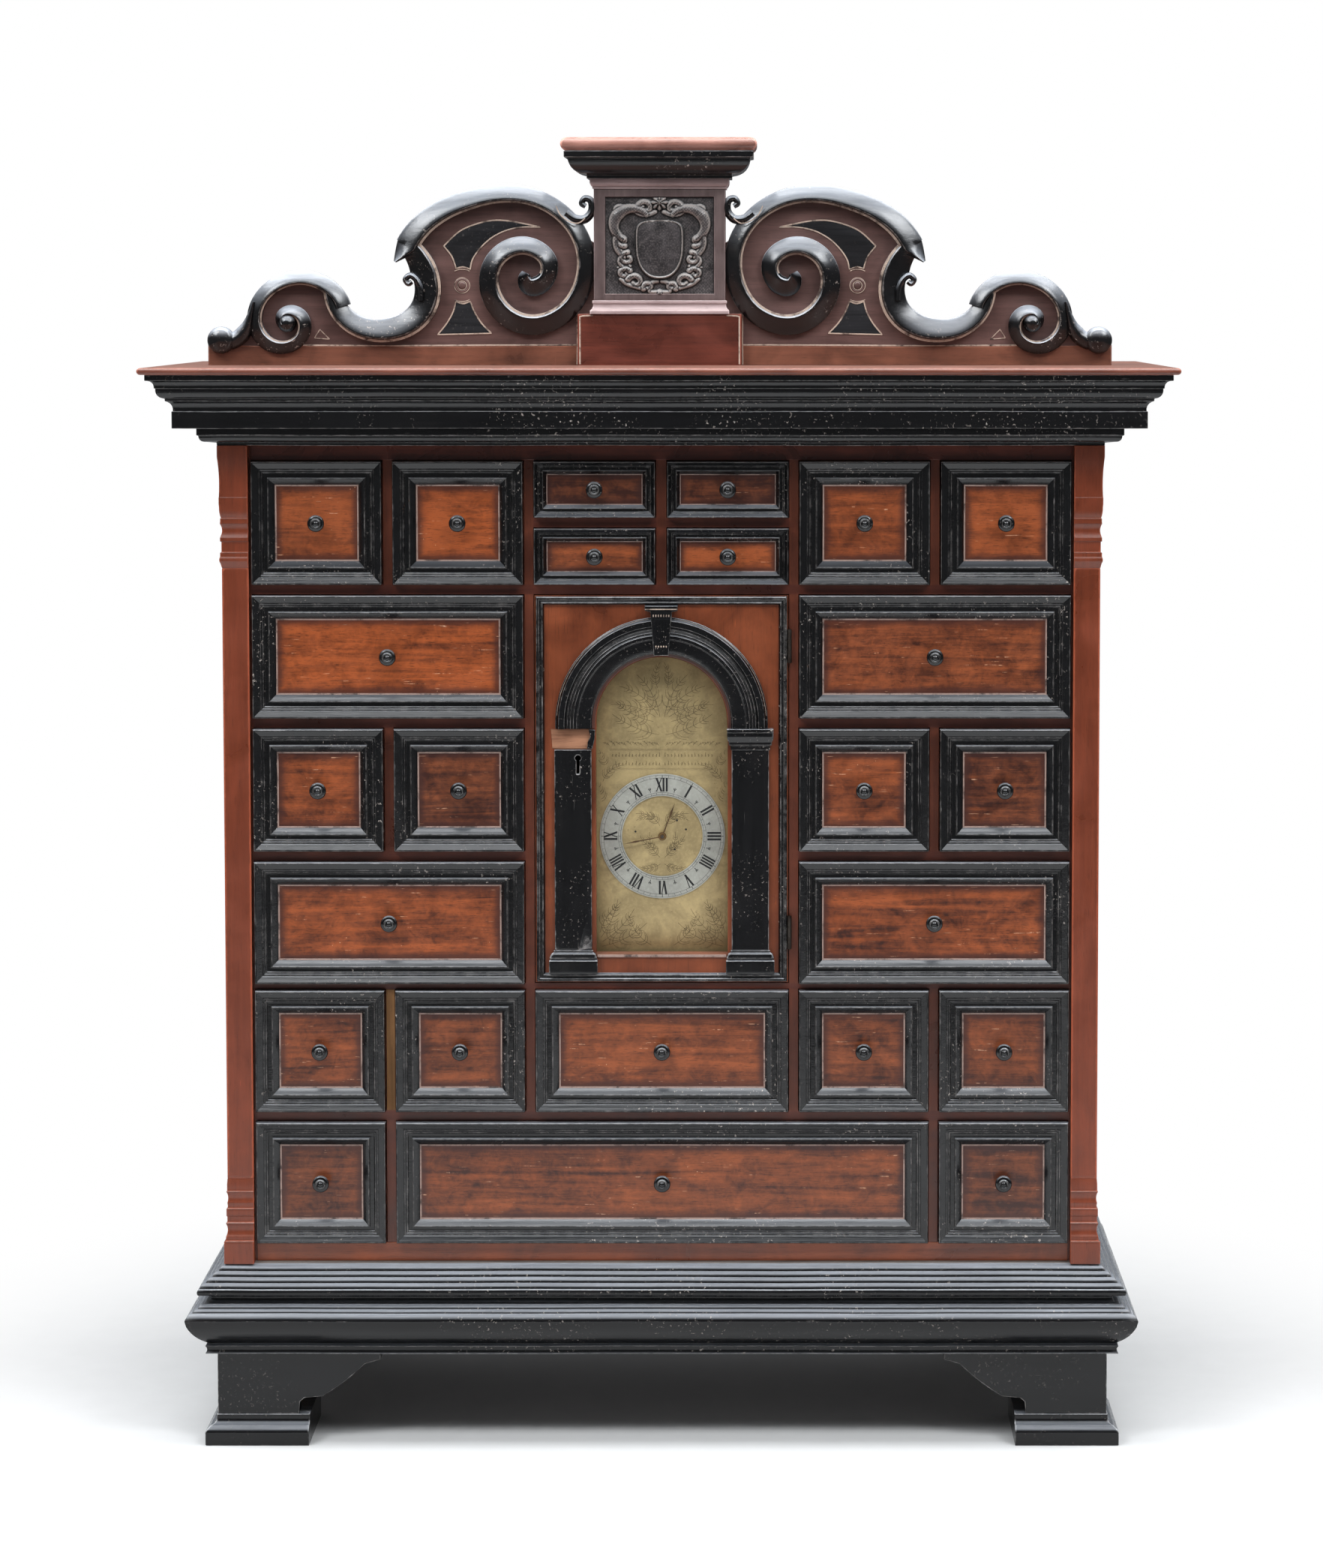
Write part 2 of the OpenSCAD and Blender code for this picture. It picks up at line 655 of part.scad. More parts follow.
module cornice_mouldings() {
    c = cornice_out;
    z = case_top;
    bed_profile = concat(
        [[0, z], [3, z], [3, z + 2.5], [11, z + 3.5]],
        bow([11, z + 3.5], [17, z + bed_h - 7], -2, 5),
        [[17, z + bed_h - 7], [18.5, z + bed_h - 6.5], [18.5, z + bed_h], [0, z + bed_h]]
    );
    f = z + bed_h + joint;
    fascia_profile = [[0, f], [37, f], [37, f + fascia_h - joint], [0, f + fascia_h - joint]];
    k = z + bed_h + fascia_h + joint;
    top = cornice_z - joint;
    crown_profile = concat(
        [[0, k], [c - 27, k]],
        bow([c - 27, k], [c - 21, k + 9], 2.2, 5),
        [[c - 21, k + 9], [c - 21, k + 11]],
        bow([c - 20, k + 11], [c - 14, k + 20], -2.2, 5),
        [[c - 14, k + 20], [c - 13, k + 20]],
        bow([c - 13, k + 20], [c - 7, top - 5], 2.2, 5),
        [[c - 6, top - 5], [c - 6, top], [0, top]]
    );
    color("#2b2a28") {
        wrapped(bed_profile, 20);
        wrapped(fascia_profile, 38);
        wrapped(crown_profile, c);
    }
}

// Pediment. Its scrolls follow curves given by their radius at each quarter
// turn, which a smooth curve joins; drawn for the left half, in (x, z).

pediment_y = datum_y + pediment_back;
pediment_mid = -pediment_shift;

// Value at a place along a list of values, by a cubic through them
function along(list, t) =
    let (
        i = min(len(list) - 2, max(0, floor(t))), s = t - i,
        a = list[max(0, i - 1)], b = list[i], c = list[i + 1], d = list[min(len(list) - 1, i + 2)]
    )
    b + 0.5 * s * (c - a + s * (2 * a - 5 * b + 4 * c - d + s * (3 * (b - c) + d - a)));

// Large scroll: it starts at its left tip and winds clockwise into its eye
big_eye = [-115, 82];
big_from = 171;
big_step = -45;
big_radii = [116, 84, 66, 54.5, 47.2, 45.7, 45.6, 41.8, 36.8, 29.4, 22.8, 18.6, 15.2];
big_widths = [22, 17.5, 15.6, 15.6, 16.4, 17.8, 18.8, 18.4, 17.4, 16.8, 16.2, 15.8, 13];
// Small scroll: it starts at its right end and winds anticlockwise into its eye
small_eye = [-335, 37.7];
small_from = 22;
small_radii = [52.4, 35.3, 27.4, 19.6, 14.6, 11.2];
small_widths = [14, 13.2, 13.5, 11, 11, 8];
// Hollow scroll: one arc that hangs between the other two
hollow_eye = [-251, 70.4];
hollow_from = 40;
hollow_to = -152;
hollow_radii = [41, 43, 39.2, 42.8];
hollow_widths = [24, 23.5, 21.3, 17];

function polar(eye, r, a) = eye + r * [cos(a), sin(a)];

// Knob in which the pediment ends
tail_knob = [-395, 22.5];
tail_knob_r = 12;

// The scrolls are drawn beside a pedestal whose side is this far from the middle.
// They are scaled about the foot of that side, so that the knob ends the pediment.
drawn_side = 59;
pediment_k = (pediment_l - die_w) / 2 / (tail_knob_r - tail_knob[0] - drawn_side);

module fitted() {
    translate([-die_w / 2, 0]) scale(pediment_k) translate([drawn_side, 0]) children();
}

function fit(p) = [-die_w / 2 + (p[0] + drawn_side) * pediment_k, p[1] * pediment_k];

// Outline of a band whose middle winds round an eye; turn is 1 or -1
function band(eye, from, step, radii, widths, n) = let (last = len(radii) - 1) concat(
    [for (i = [0:n]) let (t = last * i / n)
        polar(eye, along(radii, t) + along(widths, t) / 2, from + step * t)],
    [for (i = [n:-1:0]) let (t = last * i / n)
        polar(eye, along(radii, t) - along(widths, t) / 2, from + step * t)]
);

module at_pediment(side) {
    translate([pediment_mid, 0, pediment_z]) scale_x(-side) children();
}

// Slanted tip of the big scroll over the hollow, grown by g
function big_tip(g) = [
    [-236, 108], [-239.6 - g, 97], [-239 - g, 93.2 - g], [-224 + g, 99 - g], [-226 + g, 106]
];

module big_scroll_shape() {
    polygon(band(big_eye, big_from, big_step, big_radii, big_widths, 60));
    translate(big_eye + [4.5, -7]) circle(r = 14.5, $fn = fine);
    polygon(big_tip(0));
    // leaf that curls up from the crest beside the pedestal
    translate([-66, 145]) circle(r = 6.5, $fn = 24);
    polygon([[-82, 134], [-70, 124], [-59.5, 138], [-60, 146], [-70, 141]]);
}

module small_scroll_shape() {
    polygon(band(small_eye, small_from, 90, small_radii, small_widths, 50));
    translate(small_eye) circle(r = 7.8, $fn = fine);
    // tail that leaves the scroll and ends in a knob at the pediment's end
    polygon(concat(
        [[-366, 56], [-373, 45], [-378, 36], [-386, 29], [-386, 19]],
        bow([-386, 19], [-372, 13], -4, 5),
        [[-372, 13], [-362, 20], [-358, 30]]
    ));
    translate(tail_knob) circle(r = tail_knob_r, $fn = fine);
}

module hollow_scroll_shape() {
    polygon(band(hollow_eye, hollow_from, (hollow_to - hollow_from) / 3, hollow_radii, hollow_widths, 30));
    translate([-223.5, 79]) circle(r = 6.5, $fn = 24);
}

// Board behind the scrolls: its edge keeps to the middle of their bands
function middle_line(eye, from, step, radii, t0, t1, n) = [
    for (i = [0:n]) let (t = t0 + (t1 - t0) * i / n) fit(polar(eye, along(radii, t), from + step * t))
];

module pediment_board_shape() {
    difference() {
        polygon(concat(
            [[-pediment_l / 2, 0], [-block_w / 2 - joint, 0], [-block_w / 2 - joint, block_h + joint],
            [-die_w / 2 - 7 * pediment_k, block_h + joint]],
            middle_line(big_eye, big_from, big_step, big_radii, 3.7, 0.1, 24),
            [fit([-226, 90]), fit([-250, 100]), fit([-290, 60])],
            middle_line(small_eye, small_from, 90, small_radii, 0.3, 2, 14),
            [fit([-366, 30]), [-pediment_l / 2 + 6, pediment_foot_h + 2], [-pediment_l / 2, pediment_foot_h]]
        ));
        fitted() translate(hollow_eye) circle(r = 38, $fn = fine);
        fitted() translate([hollow_eye[0] - 38, hollow_eye[1]]) square([72, 60]);
        pedestal_outline();
    }
}

// The pedestal seen from the front, with the gap of a glued joint round it
module pedestal_outline() {
    translate([-block_w / 2 - joint, -1]) square([block_w / 2 + joint, block_h + 1 + joint]);
    translate([-die_w / 2 - 3.5 - joint, block_h - 1]) square([die_w / 2 + 4, die_foot_h + 1 + joint]);
    translate([-die_w / 2 - joint, block_h]) square([die_w / 2 + joint, die_foot_h + die_h + collar_h]);
}

module pediment_boards() {
    color("#5a3222") for (side = [-1, 1]) at_pediment(side)
        upright(pediment_y, pediment_t) pediment_board_shape();
}

module pediment_scrolls() {
    front = pediment_y - scroll_t;
    color("#2b2a28") for (side = [-1, 1]) at_pediment(side) {
        upright(front, scroll_t) difference() {
            fitted() big_scroll_shape();
            pedestal_outline();
        }
        upright(front + 1, scroll_t - 1) fitted() difference() {
            hollow_scroll_shape();
            offset_of_big();
            offset_of_small();
        }
        upright(front, scroll_t) fitted() small_scroll_shape();
    }
}

// The big and small scrolls, a little grown, to fit the hollow one between them
module offset_of_big() {
    polygon(band(big_eye, big_from, big_step, big_radii, [for (w = big_widths) w + 0.3], 60));
    polygon(big_tip(0.15));
}

module offset_of_small() {
    polygon(band(small_eye, small_from, 90, small_radii, [for (w = small_widths) w + 0.3], 50));
}

field_recess = 2.5;
die_rim_w = 10;

module pedestal() {
    z0 = pediment_z;
    z1 = z0 + block_h;
    z2 = z1 + die_foot_h;
    z3 = z2 + die_h;
    z4 = z3 + collar_h;
    y0 = pediment_y - 10;
    yb = y0 + block_d;
    translate([pediment_mid, 0, 0]) color("#5e3020") {
        span([-block_w / 2, y0, z0], [block_w / 2, yb, z1]);
        span([-die_w / 2 - 3.5, y0 - 1, z1 + joint], [die_w / 2 + 3.5, yb - 4, z2 - joint]);
        difference() {
            span([-die_w / 2, y0 + 2, z2], [die_w / 2, y0 + 2 + die_d, z3]);
            span([-die_w / 2 + die_rim_w, y0 + 1, z2 + 6],
                [die_w / 2 - die_rim_w, y0 + 2 + field_recess, z3 - 7]);
        }
        span([-die_w / 2 - 3.5, y0 - 1.5, z3 + joint], [die_w / 2 + 3.5, y0 + 2 + die_d, z4 - joint]);
    }
}

// A blank shield in a scrolled frame under a rosette, carved in relief. The
// outline is the right half; the rim of the die's field is cut out behind it.
cartouche_half = [
    [0, 50.5], [8, 49.2], [13, 46.5], [15, 44], [11, 40], [20, 38.5], [30, 38], [38, 40.5], [41.5, 38],
    [38.5, 34], [42, 28], [43.5, 20], [43.5, 10], [41, 2], [40, -7.7], [36, -11], [34.5, -17],
    [31.5, -19.5], [36, -24], [37.5, -29], [33.5, -34], [38, -37], [37, -41], [28, -43], [20, -41.5],
    [12, -46], [6, -48], [4, -50.5], [0, -50.6]
];

module cartouche() {
    foot_z = pediment_z + block_h + die_foot_h;
    z = foot_z + die_h / 2 + 0.2;
    front = pediment_y - 8;
    back = front + field_recess - joint;
    shield = concat(
        [[-21, 22]], bow([-21, 22], [0, 20], 3, 5), [[0, 20]], bow([0, 20], [21, 22], 3, 5),
        [[21, 22]], bow([21, 22], [0, -36], 11, 8), [[0, -36]], bow([0, -36], [-21, 22], 11, 8)
    );
    last = len(cartouche_half) - 2;
    left_half = [for (i = [last:-1:1]) [-cartouche_half[i][0], cartouche_half[i][1]]];
    color("#2b2a28") difference() {
        translate([pediment_mid, 0, z]) {
            upright(front - 3, back - front + 3)
                polygon(concat(cartouche_half, left_half));
            upright(front - 6, back - front + 6) polygon(shield);
            for (s = [-1, 1]) scale_x(s) {
                upright(front - 7, back - front + 7) difference() {
                    translate([20, 16]) circle(r = 23, $fn = fine);
                    translate([17, 14]) circle(r = 18, $fn = fine);
                    translate([-10, -10]) square([20, 60]);
                }
                upright(front - 6, back - front + 6) translate([31, -29]) circle(r = 5.5, $fn = 24);
                upright(front - 5, back - front + 5) translate([13, -41]) circle(r = 4.5, $fn = 24);
            }
            upright(front - 8, back - front + 8) translate([0, 42.5]) circle(r = 7.5, $fn = fine);
        }
        translate([pediment_mid, 0, 0]) die_rim(joint);
        for (z = [foot_z - 20 + joint, foot_z + die_h - joint])
            span([-die_w, pediment_y - 30, z], [die_w, pediment_y, z + 20]);
    }
}

// The raised rim of the die's front, with the gap of a glued joint round it
module die_rim(gap) {
    z2 = pediment_z + block_h + die_foot_h;
    difference() {
        span([-die_w / 2 - 5, pediment_y - 8 - gap, z2 - die_foot_h - 5],
            [die_w / 2 + 5, pediment_y, z2 + die_h + collar_h]);
        span([-die_w / 2 + die_rim_w + gap, pediment_y - 20, z2 + 6 + gap],
            [die_w / 2 - die_rim_w - gap, pediment_y + 5, z2 + die_h - 7 - gap]);
    }
}

module pedestal_cap() {
    z0 = pediment_z + block_h + die_foot_h + die_h + collar_h;
    z1 = z0 + cap_moulding_h;
    y0 = pediment_y - 10 + 2;
    yb = y0 + die_d;
    o = cap_out - 3;
    reach = die_w / 2;
    hollow_profile = concat(
        [[0, z0], [6, z0], [6, z0 + 3]],
        bow([7, z0 + 3], [o - 3, z1 - 6], 4, 8),
        [[o, z1 - 6], [o, z1 - joint], [0, z1 - joint]]
    );
    nose = cap_board_t / 2;
    color("#3a2620") translate([pediment_mid, 0, 0]) {
        front_strip(hollow_profile, reach, y0, o);
        side_strips(hollow_profile, reach, y0, o, yb);
        // core inside the moulding
        span([-reach + joint, y0 + joint, z0], [reach - joint, yb, z1 - joint]);
        // cap board with rounded front and side edges
        intersection() {
            translate([0, yb, z1]) rotate([90, 0, 0]) linear_extrude(die_d + cap_out) {
                nosed_edge(-reach - cap_out, 0, nose);
                mirror([1, 0]) nosed_edge(-reach - cap_out, eps, nose);
            }
            translate([0, 0, z1]) rotate([90, 0, 90]) linear_extrude(2 * (reach + cap_out), center = true)
                nosed_edge(y0 - cap_out, yb, nose);
        }
    }
}

// Drawers

// Profile of the moulding round a drawer front: (from the outer edge, height)
function drawer_profile(w, h) = [
    [0, 0], [0, h - 0.8], [0.05 * w, h], [0.15 * w, h], [0.18 * w, h - 1.3], [0.32 * w, h - 1.9],
    [0.34 * w, h - 2.7], [0.47 * w, h - 3.3], [0.5 * w, h - 4.2], [0.6 * w, h - 4.6],
    [0.63 * w, h - 1.9], [0.7 * w, h - 1.8], [0.77 * w, h - 2.7], [w, 0.2 * h], [w, 0]
];

// Four strips, mitred, round a rectangle (x0, z0, w, h) that stands on plane y
module mitred_frame(x0, z0, w, h, mw, profile, y) {
    long = max(w, h);
    deep = 30;
    for (turn = [0:3]) {
        len_here = turn % 2 == 0 ? w : h;
        translate([x0 + w / 2, y, z0 + h / 2]) rotate([0, -90 * turn, 0])
            translate([0, 0, -(turn % 2 == 0 ? h : w) / 2]) intersection() {
                translate([-long, 0, 0]) rotate([90, 0, 90]) linear_extrude(2 * long)
                    polygon([for (p = profile) [-p[1], p[0]]]);
                rotate([90, 0, 0]) linear_extrude(deep, center = true) polygon([
                    [-len_here / 2 + joint, 0], [len_here / 2 - joint, 0],
                    [len_here / 2 - mw - joint, mw], [-len_here / 2 + mw + joint, mw]
                ]);
            }
    }
}

// A turned knob that stands forward from plane y
module knob(x, y, z) {
    r = knob_d / 2;
    translate([x, y, z]) rotate([90, 0, 0]) rotate_extrude($fn = fine) polygon(concat(
        [[0, 0], [0.62 * r, 0], [0.62 * r, 1.5], [0.45 * r, 3], [0.42 * r, 0.4 * knob_l]],
        bow([0.42 * r, 0.4 * knob_l], [0.55 * r, knob_l], -0.42 * r, 8),
        [[0.55 * r, knob_l], [0.4 * r, knob_l - 1.2], [0.2 * r, knob_l - 0.6], [0, knob_l - 0.6]]
    ));
}

// One drawer in its opening: low corner (x0, z0), size w by h, moulding width mw
module drawer(d) {
    x0 = d[1] + drawer_gap;
    z0 = d[2] + drawer_under_gap;
    w = d[3] - 2 * drawer_gap;
    h = d[4] - drawer_under_gap - drawer_over_gap;
    mw = d[5];
    x1 = x0 + w;
    z1 = z0 + h;
    side_y = front_y + front_t + joint;
    end_y = inner_back_y - drawer_back_room;
    side_z = z1 - drawer_side_drop;
    t = drawer_side_t;
    face = front_y - panel_t;
    color("#8c4a2a") span([x0, front_y, z0], [x1, front_y + front_t, z1]);
    color("#2b2a28") mitred_frame(x0, z0, w, h, mw, drawer_profile(mw, moulding_h), front_y - joint);
    color("#a5552c") span([x0 + mw + joint, face, z0 + mw + joint],
        [x1 - mw - joint, front_y - joint, z1 - mw - joint]);
    color("#2b2a28") knob((x0 + x1) / 2, face - joint, (z0 + z1) / 2);
    color("#b08a5c") {
        span([x0, side_y, z0], [x0 + t, end_y, side_z]);
        span([x1 - t, side_y, z0], [x1, end_y, side_z]);
        span([x0 + t + joint, end_y - t, z0 + drawer_bottom_t + joint], [x1 - t - joint, end_y, side_z]);
        span([x0 + t + joint, side_y, z0], [x1 - t - joint, end_y, z0 + drawer_bottom_t]);
    }
}

// Door

door_inset = 1.1;
lock_z = sill_z + 172;
lock_h = 30;
lock_w = 34;
lock_t = 7;
bolt_h = 10;
bolt_t = 3;
bolt_y = door_back_y + 1.5 + joint;
leaf_t = 1;
leaf_w = 8;
hinge_zs = [door_z + 45, door_top - 45];
hinge_x = centre_w / 2 + 0.2;
hinge_y = front_y - knuckle_r - 0.35;

module door_boards() {
    stile_in = arch_open_r;
    head_z = arch_z + 0.985 * arch_open_r;
    color("#9c4f2c") {
        // left stile, with the keyhole
        difference() {
            span([-door_half, front_y, door_z], [-stile_in, door_back_y, door_top]);
            keyhole(front_y - 1, door_t + 2);
        }
        // right stile, with the recesses for the hinge leaves
        difference() {
            span([stile_in, front_y, door_z], [door_half, door_back_y, door_top]);
            for (z = hinge_zs)
                span([door_half - leaf_t, front_y - 1, z - hinge_l / 2],
                    [door_half + 1, front_y + leaf_w, z + hinge_l / 2]);
        }
        span([-stile_in + joint, front_y, door_z], [stile_in - joint, door_back_y, sill_z]);
        // arched head, cut from one board between the stiles
        difference() {
            span([-stile_in + joint, front_y, arch_z - 8], [stile_in - joint, door_back_y, door_top]);
            upright(front_y - 1, door_t + 2) {
                translate([0, arch_z]) circle(r = arch_open_r - 0.4, $fn = 96);
                translate([-arch_open_r + 0.4, arch_z - 20]) square([2 * arch_open_r - 0.8, 20]);
            }
        }
    }
}

module keyhole(y, t) {
    upright(y, t) {
        translate([-column_x - 12, lock_z + 4]) circle(r = 3, $fn = 24);
        translate([-column_x - 13.5, lock_z - 12]) square([3, 16]);
    }
}

module door_mouldings() {
    inset = door_inset;
    mw = door_moulding_w;
    h = door_moulding_h;
    profile = [[0, 0], [0, h - 1], [0.12 * mw, h], [0.35 * mw, h], [0.42 * mw, h - 1.3],
        [0.62 * mw, h - 1.6], [0.7 * mw, h - 0.8], [0.8 * mw, h - 0.8], [mw, 0.8], [mw, 0]];
    color("#2b2a28") {
        mitred_frame(-door_half + inset, door_z + inset, 2 * (door_half - inset),
            door_top - door_z - 2 * inset, mw, profile, front_y - joint);
        // sill strip under the opening
        span([-arch_open_r + 1.2, front_y - 1.5, sill_z - 2.5], [arch_open_r - 1.2, front_y - joint, sill_z]);
    }
}

module door_arch() {
    o = arch_out_r;
    i = arch_in_r;
    h = arch_h;
    y = front_y - joint;
    profile = [
        [i, 0], [i, h - 2.2], [i + 2, h - 1.6], [i + 9, h - 1.6], [i + 10, h - 0.6], [i + 13, h - 0.6],
        [i + 14, h - 2], [i + 19, h - 2.2], [i + 21, h], [o - 3, h], [o - 1.5, h - 2.5], [o, h - 3.5],
        [o, 0]
    ];
    color("#2b2a28") difference() {
        union() {
            translate([0, y, arch_z]) rotate([90, 0, 0]) rotate_extrude($fn = 96) polygon(profile);
            for (s = [-1, 1]) scale_x(s)
                translate([0, y, spring_z + joint]) rotate([0, 0, 0]) linear_extrude(arch_z - spring_z + 1)
                    polygon([for (p = profile) [p[0], -p[1]]]);
        }
        span([-2 * o, y - 2 * h, spring_z - 2 * o], [2 * o, y + 1, spring_z + joint]);
        span([-arch_in_r + 0.1, y - 20, spring_z - 1], [arch_in_r - 0.1, y + 1, arch_z]);
        // room for the keystone
        upright(y - 20, 21) keystone_shape(joint);
    }
}

module keystone_shape(grow = 0) {
    top = door_top - door_moulding_w - door_inset - 0.3;
    low = arch_z + arch_in_r - 4.5;
    polygon([[-6.5 - grow, low - grow], [6.5 + grow, low - grow], [9.5 + grow, top - 5],
        [14.5 + grow, top - 4], [14.5 + grow, top + grow], [-14.5 - grow, top + grow],
        [-14.5 - grow, top - 4], [-9.5 - grow, top - 5]]);
}

module door_columns() {
    y = front_y - joint;
    z0 = door_z + door_inset + door_moulding_w + 0.2;
    z1 = z0 + door_base_h;
    z2 = spring_z - door_capital_h;
    x0 = column_x;
    x1 = column_x + column_w;
    // profiles of the base and the capital: (out from the column, share of the height)
    base_steps = [[5, 0], [5, 0.57], [3.5, 0.62], [4.5, 0.7], [3, 0.87], [1, 0.93], [1, 1]];
    capital_steps = [
        [1, 0], [1, 0.18], [2.5, 0.24], [2.5, 0.37], [5, 0.63], [5, 0.82], [7.5, 0.85], [7.5, 1]
    ];
    base_profile = stepped(base_steps, z0, door_base_h - joint, 0.125 * column_w / 4.125);
    capital_profile = stepped(capital_steps, z2 + joint, door_capital_h - joint, 0.125 * column_w / 4.125);
    color("#2b2a28") {
        for (s = [-1, 1]) scale_x(s) {
            difference() {
                span([x0, y - column_t, z1], [x1, y, z2]);
                if (s < 0) mirror([1, 0, 0]) keyhole(y - 20, 21);
            }
            door_block(base_profile, x0, x1, column_t, 5.5, y);
        }
        door_block(capital_profile, x0, x1, column_t, 4, y);
        // keystone
        upright(y - 14, 14) keystone_shape();
    }
}

// A profile from its steps, as (out, height); the depth of the column is added
function stepped(steps, z, h, k) = concat(
    [[0, z]], [for (p = steps) [column_t + p[0] * k, z + p[1] * h]], [[0, z + h]]
);

// A small block whose profile goes round its front and both ends, on plane y.
// The profile's first size is its depth, of which the column's depth t is the core.
module door_block(profile, x0, x1, t, most, y) {
    reach = [for (p = profile) min(most, max(0, p[0] - t))];
    n = len(profile) - 1;
    intersection() {
        translate([x0 - 20, y, 0]) rotate([90, 0, 90]) linear_extrude(x1 - x0 + 40)
            polygon([for (p = profile) [-p[0], p[1]]]);
        translate([0, y, 0]) rotate([90, 0, 0]) linear_extrude(40) polygon(concat(
            [for (i = [1:n - 1]) [x1 + reach[i], profile[i][1]]],
            [for (i = [n - 1:-1:1]) [x0 - reach[i], profile[i][1]]]
        ));
    }
}

module leaf_and_knuckles(z, x_in, on_case) {
    third = hinge_l / 3;
    zs = on_case ? [z - hinge_l / 2, z + hinge_l / 2 - third] : [z - third / 2];
    gap = 0.3;
    difference() {
        union() {
            span([x_in, hinge_y, z - hinge_l / 2 + joint],
                [x_in + leaf_t, front_y + leaf_w - joint, z + hinge_l / 2 - joint]);
            for (k = zs) translate([hinge_x, hinge_y, k + gap / 2])
                cylinder(r = knuckle_r, h = third - gap, $fn = fine);
        }
        // room for the other leaf's knuckles
        others = on_case ? [z - third / 2] : [z - hinge_l / 2 - 1, z + hinge_l / 2 - third];
        for (k = others)
            span([hinge_x - 5, hinge_y - 5, k - gap / 2],
                [hinge_x + 5, front_y - 0.1, k + third + (on_case ? 0 : 1) + gap / 2]);
        translate([hinge_x, hinge_y, z - hinge_l])
            cylinder(r = hinge_pin_r + (on_case ? joint : turn_gap), h = 2 * hinge_l, $fn = fine);
    }
}

module case_hinge_leaves() {
    color("#3a3a38") for (z = hinge_zs) {
        leaf_and_knuckles(z, centre_w / 2, true);
        translate([hinge_x, hinge_y, z - hinge_l / 2]) cylinder(r = hinge_pin_r, h = hinge_l, $fn = fine);
    }
}

module door_hinge_leaves() {
    color("#3a3a38") for (z = hinge_zs) leaf_and_knuckles(z, door_half - leaf_t, false);
}

// Lock on the back of the door: a plate, and a box that the bolt slides through
module door_lock() {
    x0 = -door_half + 2;
    y0 = door_back_y;
    color("#4a4844") difference() {
        span([x0, y0 + joint, lock_z - lock_h / 2], [x0 + lock_w, y0 + lock_t, lock_z + lock_h / 2]);
        span([x0 - 1, bolt_y - turn_gap, lock_z - bolt_h / 2 - turn_gap],
            [x0 + lock_w - 4, bolt_y + bolt_t + turn_gap, lock_z + bolt_h / 2 + turn_gap]);
        translate([-column_x - 12, y0 + 4, lock_z + 4]) rotate([90, 0, 0])
            cylinder(r = 2.4, h = 10, center = true, $fn = 24);
    }
}

module lock_bolt() {
    x0 = -door_half + 1;
    color("#6a6862") difference() {
        span([x0, bolt_y, lock_z - bolt_h / 2], [x0 + lock_w - 10, bolt_y + bolt_t, lock_z + bolt_h / 2]);
        // clear of the key's pin
        translate([-column_x - 12 - bolt_travel, bolt_y - 1, lock_z - bolt_h / 2 - 1])
            cube([bolt_travel + 16, bolt_t + 2, bolt_h / 2 + 1]);
    }
}

// Clock

module dial_plate() {
    w = arch_open_r + 3;
    color("#a08a4a") upright(dial_y, dial_t) difference() {
        union() {
            translate([0, arch_z]) circle(r = w, $fn = 96);
            translate([-w, sill_z - 6]) square([2 * w, arch_z - sill_z + 6]);
        }
        translate([0, dial_z]) circle(r = hour_pipe_r + 1, $fn = fine);
    }
}

module chapter_ring() {
    color("#9aa6a6") upright(ring_y, ring_t - joint) difference() {
        translate([0, dial_z]) circle(r = ring_out_r, $fn = 96);
        translate([0, dial_z]) circle(r = ring_in_r, $fn = 96);
    }
}

hour_pipe_r = arbor_r + turn_gap + 1.4;
hour_angle = 20.6;
minute_angle = 259;

// A slender hand with a round boss, turned to the right by angle from upright
module hand(y, angle, l, boss_r, w, hole_r) {
    difference() {
        union() {
            rod([0, 0], y, y + hand_t, boss_r);
            upright(y, hand_t) translate([0, dial_z]) rotate(-angle)
                polygon([[-w / 2, 0], [-w / 3, 0.7 * l], [-w * 0.9, 0.74 * l], [0, l],
                [w * 0.9, 0.74 * l], [w / 3, 0.7 * l], [w / 2, 0]]);
        }
        rod([0, 0], y - 1, y + hand_t + 1, hole_r);
    }
}

module minute_hand() {
    color("#33332f") hand(minute_hand_y, minute_angle, ring_in_r - 1, 3.2, 2.4, arbor_r - 0.3 + joint);
}

module hour_hand() {
    color("#33332f") hand(hour_hand_y, hour_angle, ring_in_r - 4, 4.2, 2.8, hour_pipe_r + joint);
}

// A toothed wheel in (x, z). Teeth are narrow, so that meshed ones stay clear.
module toothed(m, n, phase, tooth = 0.36) {
    r = m * n / 2;
    step = 360 / n;
    polygon([for (i = [0:n - 1], k = [0:3])
        let (a = phase + i * step + step * tooth * [-0.62, -0.3, 0.3, 0.62][k],
            q = k == 0 || k == 3 ? r - 1.05 * m : r + 0.7 * m)
        [q * cos(a), q * sin(a)]]);
}

// A wheel with its teeth, arms and a round hole for its arbor
module wheel(m, n, phase, hole_r, arms) {
    r = m * n / 2;
    rim = r - 1.05 * m - 3;
    difference() {
        toothed(m, n, phase);
        if (arms > 0) difference() {
            circle(r = rim, $fn = 72);
            circle(r = hole_r + 3.5, $fn = fine);
            for (i = [0:arms - 1]) rotate(360 * i / arms) translate([0, -1.5]) square([r, 3]);
        }
        circle(r = hole_r, $fn = fine);
    }
}

module rod(p, y0, y1, r) {
    translate([p[0], y1, dial_z + p[1]]) rotate([90, 0, 0]) cylinder(r = r, h = y1 - y0, $fn = fine);
}

// Draws in (x, z) about a point of the movement, from y to y + t
module disc(p, y, t) { upright(y, t) translate([p[0], dial_z + p[1]]) children(); }

pivots = [[0, 0], great_p, third_p, escape_p];

